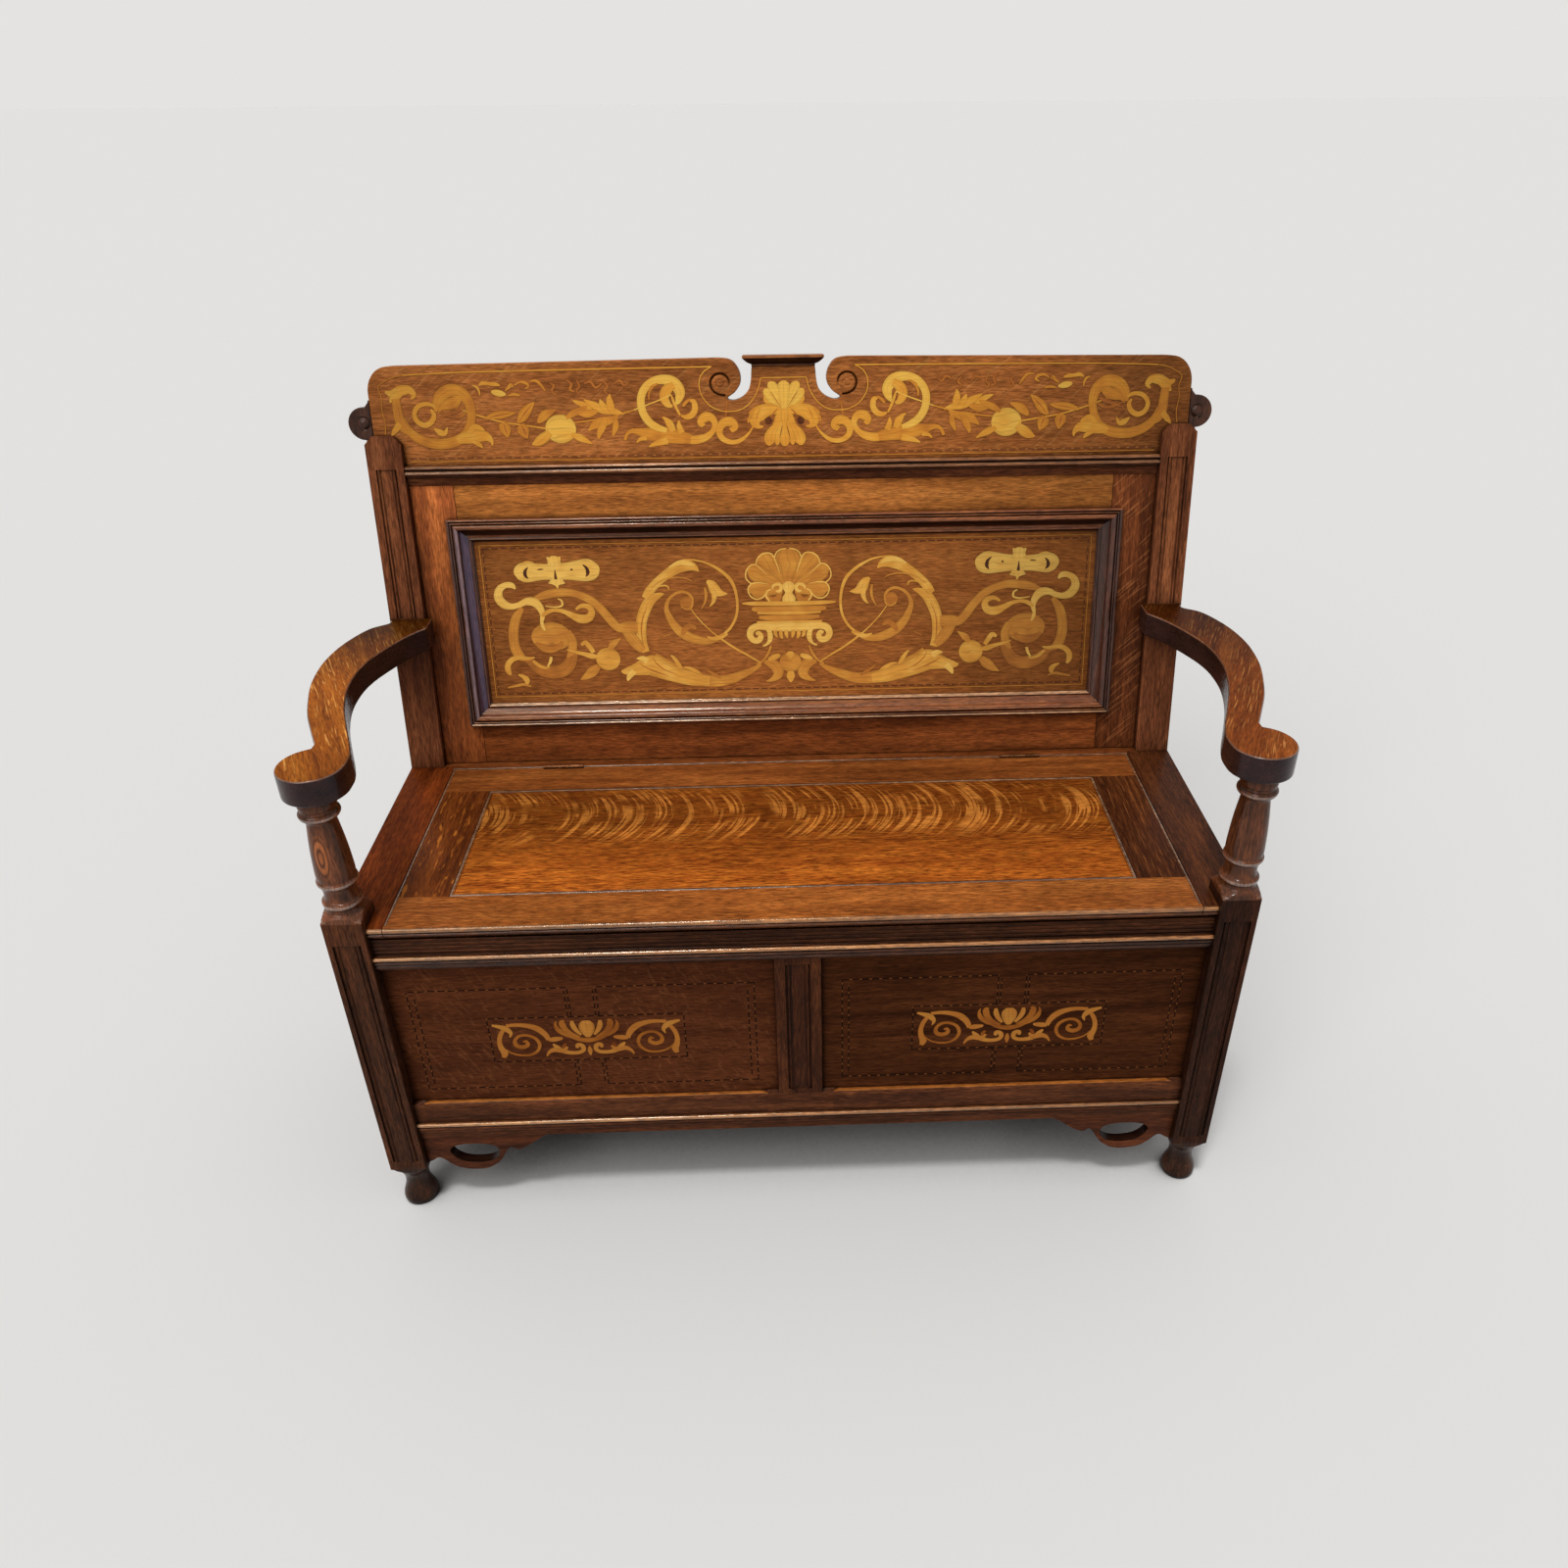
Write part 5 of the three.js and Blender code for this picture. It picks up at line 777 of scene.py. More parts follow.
# Raw oak: pale, grey brown and without shine
oak_inside = oak("raw_oak_inside", "x", "#b08a5e", "#967048", "#6a4a2c", rough=0.75, coat=0.0)
oak_bearer = oak("raw_oak_bearer", "y", "#a88358", "#8c6843", "#624528", rough=0.75, coat=0.0)
for number in (1, 2, 3):
    planed(f"bottom_board_{number}", oak_inside, ease=0.8)
for hand in ("right", "left"):
    planed("bearer_" + hand, oak_bearer, ease=0.8)


# Fixed parts of the seat
# An oak board at each end, let in round the post and stile, with a front lip moulded to match the lid, and an
# oak strip behind the lid on the back rail, which carries the hinges.
LID_HALF, END_IN, STILE_X1, SEAT_UNDER, SEAT_EDGE = 470.4, 471.3, 530, 442, 5
SEAT_T = SEAT_H - SEAT_UNDER
QUIRK = 0.12 * SEAT_T
TOP_ROLL = SEAT_UNDER + 0.6 * SEAT_T
# Waxed oak: red brown at the left end, darker in the shade of the right arm, with a polished lip
oak_lip = oak("oak_lip", "x", "#92562e", "#60351b", "#28120a", rough=0.24, polish=0.3, mottle=0.35)
oak_end = oak("seat_oak_end", "y", "#a05020", "#783614", "#3c1709", coat=0.0, polish=0.02, mottle=0.3)
oak_end_dark = oak("seat_oak_end_dark", "y", "#74401f", "#4e2814", "#241009", ray=(50, 2, 0.6, 0.3),
                   fleck="#8a5230", mottle=0.3)
oak_strip = oak("seat_oak_strip", "x", "#a45e2e", "#7c401c", "#3c1b0c", mottle=0.3)
# The forward faces of the moulded edge are painted darker as painted shade, and those of its top roll take a painted
# highlight
moulded_edge = [(oak_lip, lambda at, way: way[:, 1] < -0.3),
                (oak_bead_highlight, lambda at, way: (at[:, 2] > TOP_ROLL * MM) & (way[:, 1] < -0.2))]
SEAT_ROLLS = ((0.37, 0.59, 0.9), (0.63, 0.96, 1))
SEAT_COVE = np.array([(0.45, 0), (0.36, 0.05), (0.27, 0.14), (0.2, 0.3)])


def seat_edge(back):
    """Section of the seat's front edge: a cove under two beads, then the flat top back to y = back. Up a bead, from
    the share low to high of the thickness, it comes forward by a share of the quirk times the sine of a half turn."""
    turn = np.linspace(0, np.pi, 11)
    rolls = [np.stack([QUIRK - QUIRK * share * np.sin(turn),
                       SEAT_T * ((low + high) / 2 - (high - low) / 2 * np.cos(turn))], -1)
             for low, high, share in SEAT_ROLLS]
    flat = [(QUIRK, SEAT_T), (back - SEAT_EDGE, SEAT_T), (back - SEAT_EDGE, 0)]
    return np.concatenate([SEAT_COVE * SEAT_T, *rolls, flat])


for hand, sign in (("right", 1), ("left", -1)):
    lip = moulded(seat_edge(POST), (sign * END_IN, SEAT_EDGE, SEAT_UNDER), (sign * POST_IN, SEAT_EDGE, SEAT_UNDER),
                  BACK, UP)
    end_grain = ((POST, SEAT_UNDER), (POST, SEAT_H), (SEAT_DEPTH, SEAT_H), (SEAT_DEPTH, SEAT_UNDER))
    plank = np.array([[(sign * x, y, z) for y, z in end_grain] for x in (END_IN, STILE_X1)], float)
    make("seat_board_" + hand, [closed_length(lip), closed_length(plank)], oak_end_dark if sign > 0 else oak_end,
         stands_for=["seat_end_" + hand], sharp=38, also=moulded_edge)
planed("seat_rear_strip", oak_strip, ease=0.5)


# Hinges
# A pair of cast brass butts let in behind the lid, each with two leaves, bored knuckles and a pin. They keep the
# shape of the solids and take an old finish.
TARNISH = 6.25


def old_brass(name, tarnish, rubbed):
    """Cast brass left unpolished: metallic, brown with tarnish in clouds about 6 mm across, brighter where rubbed."""
    finish, tree, shader = new_finish(name)
    spot = node(tree, "TexCoord", out="Object")
    cloud = node(tree, "TexNoise", {"Vector": spot, "Scale": 1 / (TARNISH * MM), "Detail": 3.0})
    colour = node(tree, "ValToRGB", {0: cloud}, [(0.35, tarnish), (0.7, rubbed)])
    rough = node(tree, "MapRange", (cloud, 0.3, 0.7, 0.55, 0.35))
    tree.links.new(colour, shader.inputs["Base Color"])
    tree.links.new(rough, shader.inputs["Roughness"])
    shader.inputs["Metallic"].default_value = 1.0
    return finish


brass = old_brass("old_brass_hinge", "#4c2c18", "#6c462c")
for hand in ("right", "left"):
    for part in ("hinge_fixed_leaf_", "hinge_lid_leaf_", "hinge_pin_"):
        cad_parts[part + hand].data.materials.clear()
        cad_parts[part + hand].data.materials.append(brass)


# Lid
# Two rails run through with stiles and one wide quarter-sawn panel between. The front edge is moulded, and
# a small bead runs round the panel. The panel shows ray figure across its rear third.
LID_Y1, LID_PANEL_X, LID_PANEL_Y0, LID_PANEL_Y1, PANEL_DROP = 359.4, 409, 66, 301.6, 0.6
# Quarter-sawn oak rubbed by sitting: orange brown with coarse grain in front, redder towards the back and painted
# darker there as painted shade, with wide arcs of bright ray figure on the panel, and dark stiles with fine flecks
oak_lid_front = oak("lid_oak_front", "x", "#c47a38", "#985423", "#54260e", rough=0.33, streak=0.7,
                    bands=(-0.3, 1.3), mottle=0.38)
oak_lid_rear = oak("lid_oak_rear", "x", "#b06a30", "#86481e", "#44200d", rough=0.33, mottle=0.3)
oak_lid_left = oak("lid_oak_stile_left", "y", "#98521f", "#703714", "#3a190b", rough=0.33,
                   ray=(26, 5, 0.61, 0.9), fleck="#bc6e28", mottle=0.25)
oak_lid_right = oak("lid_oak_stile_right", "y", "#6c3a1c", "#472310", "#220f07", rough=0.33,
                    ray=(50, 2, 0.58, 0.4), fleck="#96592c", mottle=0.25)
oak_seat = oak("quartered_oak_seat", "x", "#d07c2a", "#a4541a", "#581d08", rough=0.33, streak=1.0,
               ray=(5, 30, 0.56, 0.9), fleck="#f89c42", figure=(165, 306), fade=("Y", 0, (90, 235), (1.1, 0.52)),
               bands=(-0.3, 1.3), mottle=0.38)

GROOVE_Y, GROOVE_LOW, GROOVE_TOP = 60, 447.7, 454.3
grooved = [(LID_PANEL_Y0, SEAT_H), (LID_PANEL_Y0, GROOVE_TOP), (GROOVE_Y, GROOVE_TOP), (GROOVE_Y, GROOVE_LOW),
          (LID_PANEL_Y0, GROOVE_LOW), (LID_PANEL_Y0, SEAT_UNDER)]
section = np.concatenate([seat_edge(LID_PANEL_Y0)[:-2], np.array(grooved) - (SEAT_EDGE, SEAT_UNDER)])
grid = moulded(section, (-LID_HALF, SEAT_EDGE, SEAT_UNDER), (LID_HALF, SEAT_EDGE, SEAT_UNDER), BACK, UP)
make("lid_front_edge", [closed_length(grid)], oak_lid_front, "lid", ["lid_front_rail"], sharp=38,
     also=moulded_edge)
planed("lid_rear_rail", oak_lid_rear, "lid", ease=0.5)
planed("lid_stile_right", oak_lid_right, "lid", ease=0.4)
planed("lid_stile_left", oak_lid_left, "lid", ease=0.4)
planed("lid_panel", oak_seat, "lid", ease=0.25)

# Fine beads of oak, painted pale and grey all over as a painted highlight, and polished
oak_bead = oak("fine_oak_bead", "x", "#b08a68", "#7e583e", "#3c2214", rough=0.22, coat=0.4, polish=0.6, mottle=0.5,
               nook_size=1, hollow=3)
BEAD_R, BEAD_GAP, EDGE_BEAD_W, EDGE_BEAD_PROUD, EDGE_BEAD_Y = 1.6, 0.6, 2.4, 0.7, 12
EDGE_BEAD_END, JOINT_BEAD_Y = LID_Y1 - 1, LID_Y1 + 0.9


def bead_frame(x, y0, y1, top, radius):
    """Four mitred lengths of half-round bead on a level rectangle: at a turn a from 0 to half round, a point lies
    radius (1 - cos a) in and radius / 2 sin a above top."""
    turn = np.linspace(0, np.pi, 9)
    arch = np.stack([radius - radius * np.cos(turn), 0.5 * radius * np.sin(turn)], -1)
    section = np.concatenate([[(0, -LET_IN)], arch, [(2 * radius, -LET_IN)]])
    ends = [((-x, y0), (x, y0), BACK), ((x, y1), (-x, y1), TOWARD),
            ((-x, y1), (-x, y0), ACROSS), ((x, y0), (x, y1), (-1, 0, 0))]
    return [closed_length(moulded(section, (*a, top), (*b, top), way, UP, (1, 1))) for a, b, way in ends]


lid_bead = bead_frame(LID_PANEL_X - BEAD_GAP, LID_PANEL_Y0 + BEAD_GAP, LID_PANEL_Y1 - BEAD_GAP,
                      SEAT_H - PANEL_DROP, BEAD_R)
make("lid_bead", lid_bead, oak_bead, "lid", sharp=50)
edge_bead = beads(0, [(0, EDGE_BEAD_W, EDGE_BEAD_PROUD)])
edge_bead = np.concatenate([[(0, -LET_IN)], edge_bead, [(EDGE_BEAD_W, -LET_IN)]])
lengths = [moulded(edge_bead, (sign * (LID_HALF - BEAD_GAP), EDGE_BEAD_Y, SEAT_H),
                   (sign * (LID_HALF - BEAD_GAP), EDGE_BEAD_END, SEAT_H), (-sign, 0, 0), UP)
           for sign in (1, -1)]
make("lid_edge_beads", [closed_length(length) for length in lengths], oak_bead, "lid", sharp=50)
# One more bead on the fixed strip hides the joint behind the lid
joint = moulded(edge_bead, (-LID_HALF, JOINT_BEAD_Y, SEAT_H), (LID_HALF, JOINT_BEAD_Y, SEAT_H), BACK, UP)
make("joint_bead", [closed_length(joint)], oak_bead, sharp=50)


# Framed back
# Stiles and rails of oak, mortised together and leaning back 10.4 degrees round a wide panel, with a bold
# bolection moulding lapped over the joint, mitred at its corners and glued.
COS_RAKE, SIN_RAKE = np.cos(RAKE), np.sin(RAKE)


def slope(u, d, v):
    """A point of the raked back, u across, d into it and v up it, in metres in the frame."""
    return place(u, SEAT_DEPTH + d * COS_RAKE + v * SIN_RAKE, SEAT_H + v * COS_RAKE - d * SIN_RAKE)


# Quarter-sawn oak under old wax, with its light and shade painted in: golden on the top rail and painted darker
# to the right, red brown low down and on the stiles, which are painted lighter towards the top, with slanting ray
# flecks on the right stile
oak_frame_top = oak("frame_oak_top", "slope x", "#e29248", "#c27636", "#703c1a", rough=0.3, mottle=0.3,
                    fade=("X", -150, (250, 600), (1.05, 0.5)))
oak_frame_low = oak("frame_oak_low", "slope x", "#a85e2e", "#80421e", "#401d0d", rough=0.32, mottle=0.3)
oak_frame_left = oak("frame_oak_left", "slope z", "#a8602f", "#7a401f", "#3a1b0e",
                     fade=("Y", 0, (400, 445), (1.6, 2.3)), mottle=0.3, hollow=45)
oak_frame_right = oak("frame_oak_right", "slope z", "#834825", "#562c16", "#28120a", ray=(2.6, 50, 0.6, 0.3),
                      ray_skew=radians(42), fleck="#b07042", fade=("Y", 0, (400, 445), (1.2, 1.9)), mottle=0.3,
                      hollow=45)
planed("back_frame_bottom_rail", oak_frame_low)
planed("back_frame_top_rail", oak_frame_top)
planed("back_frame_stile_right", oak_frame_right)
planed("back_frame_stile_left", oak_frame_left)

BOL_W, BOL_PROUD, BOL_X, BOL_LOW, BOL_HIGH, FRAME_D, PANEL_D, LAP = 30, 9.8, 441.9, 57, 338.7, 9.7, 12.7, 14.3
# Section of the bolection, from its outer edge in: (share of the width, share of how far it stands proud)
bolection_face = [
    (0, 0.78), (0.02, 0.92), (0.07, 1), (0.12, 0.92), (0.136, 0.78), (0.15, 0.86), (0.185, 0.94), (0.22, 0.86),
    (0.236, 0.74), (0.25, 0.8), (0.3, 0.96), (0.375, 1), (0.45, 0.94), (0.5, 0.78), (0.515, 0.55),
    (0.57, 0.34), (0.66, 0.14), (0.77, 0.01), (0.83, -0.02), (0.85, 0.05), (0.895, 0.1), (0.94, 0.04),
    (0.97, -0.1), (1, -0.2),
]
face = curve(bolection_face, 3 * len(bolection_face)) * (BOL_W, BOL_PROUD)
section = np.concatenate([[(0, 0)], face, [(BOL_W, FRAME_D - PANEL_D), (LAP, FRAME_D - PANEL_D), (LAP, 0)]])
# Moulded oak under thick wax: bright lines of painted highlight along the beads of the bottom and left lengths,
# red brown between, a cold blue painted reflection in the cove of the left length, and undersides painted nearly
# black as painted shade
oak_bolection = oak("bolection_oak", "slope x", "#b4703e", "#80462a", "#38190e", rough=0.2, coat=0.4, polish=0.3,
                    sheen="#ffe2bc", mottle=0.3, nook_size=9, hollow=14)
oak_bolection_reflection = oak("painted_reflection_bolection", "slope z", "#6a4a50", "#443038", "#1a1014", rough=0.2, coat=0.6,
                         polish=0.7, sheen="#b4aaf0", mottle=0.3, nook_size=9, hollow=14)
oak_side_highlight = oak("painted_highlight_bolection_side", "slope z", "#b08c88", "#80605e", "#3c2824", rough=0.2, coat=0.6,
                    polish=0.8, sheen="#e0d8ff", mottle=0.3, nook_size=2, hollow=4)
oak_bolection_dark = oak("bolection_oak_dark", "slope z", "#7a4832", "#4e2c20", "#1c0e0a", rough=0.2, coat=0.3,
                         polish=0.3, mottle=0.3, nook_size=9, hollow=14)
oak_bolection_highlight = oak("painted_highlight_bolection", "slope x", "#d8a478", "#a87850", "#583420", rough=0.16, coat=0.6,
                         polish=0.9, sheen="#ffe8cc", mottle=0.4, nook_size=2, hollow=4)
# Undersides of the mouldings, painted nearly black as painted shade
oak_shaded = oak("shaded_oak_moulding", "slope x", "#5e3824", "#3a2116", "#1a0e09", rough=0.3, mottle=0.2, nook_size=9)
BEAD_CRESTS, BEAD_LINE = np.array([0.08, 0.33, 0.89]) * BOL_W, 1.4
COVE, ROUND = (0.5, 0.82), (0.36, 0.46)


def on_low_beads(at, way):
    """Crests of the three beads of the bottom length, with painted highlights, found by their height up the slope."""
    up_slope = (at[:, 2:] / MM - SEAT_H) / COS_RAKE - BOL_LOW
    return np.any(np.abs(up_slope - BEAD_CRESTS) < BEAD_LINE, axis=1) & (way[:, 2] > 0.1)


def in_from_side(band):
    """The rule for the faces of a side length between two shares of its width, counted in from its outer edge."""
    def within(at, way):
        share = (BOL_X - np.abs(at[:, 0]) / MM) / BOL_W
        return np.abs(share - sum(band) / 2) < (band[1] - band[0]) / 2
    return within


# Bands of painted highlight on the bottom length, and of painted reflection and highlight on the left one
painted_light_bands = {"bottom": [(oak_bolection_highlight, on_low_beads)],
        "left": [(oak_bolection_reflection, in_from_side(COVE)), (oak_side_highlight, in_from_side(ROUND))]}
for name, start, end, way, finish, node_name in (
    ("bottom", (-BOL_X, BOL_LOW), (BOL_X, BOL_LOW), UP, oak_bolection, "bolection_bottom"),
    ("top", (-BOL_X, BOL_HIGH), (BOL_X, BOL_HIGH), (0, 0, -1), oak_bolection, "bolection_top"),
    ("right", (BOL_X, BOL_LOW), (BOL_X, BOL_HIGH), (-1, 0, 0), oak_bolection_dark, "bolection_side_right"),
    ("left", (-BOL_X, BOL_LOW), (-BOL_X, BOL_HIGH), ACROSS, oak_bolection_dark, "bolection_side_left"),
):
    grid = moulded(section, (start[0], FRAME_D, start[1]), (end[0], FRAME_D, end[1]), way, TOWARD, (1, 1))
    make("bolection_length_" + name, [tube(slope(grid[..., 0], grid[..., 1], grid[..., 2]))], finish,
         stands_for=[node_name], sharp=42,
         also=[(oak_shaded, lambda at, way: way[:, 2] < -0.15)] + painted_light_bands.get(name, []))

# A wide planed board, golden brown under wax and painted darker to the right as painted shade
oak_field = oak("panel_oak_back", "slope x", "#cc8440", "#a86430", "#703a16", rough=0.32, bands=(-0.4, 1.4),
                mottle=0.28, fade=("X", -80, (200, 480), (0.96, 0.5)))
planed("back_panel", oak_field, ease=0.0)


# Marquetry of the back panel
# Veneers in box, satin and stained pear let into the panel: a scallop shell on a console between two great
# leaf scrolls, bands out to curled ends, fruit, and a strap above each side. Hot sand has shaded the edges.

# Veneers under fresh wax: straw yellow box, golden satinwood and russet pear, painted darker to the right as painted
# shade
inlay = veneer("marquetry_back", [(0.0, "#4a2712"), (1.0, "#ffca62"), (RED, "#c0762e"), (MID, "#d68e38"),
                                  (HONEY, "#eca844")],
               ("#5c2e14", "#a8662c"), fade=("X", -120, (250, 500), (1.05, 0.6)))


def disc(tone, u, v, across, up):
    """A round veneer as one stroke: its half width is up times the root of 1 - t^2, for t from -1 to 1 across."""
    t = np.sin(np.linspace(-np.pi / 2, np.pi / 2, 9))
    return (tone, [(u + across * a, v, up * (1 - a * a) ** 0.5) for a in t])


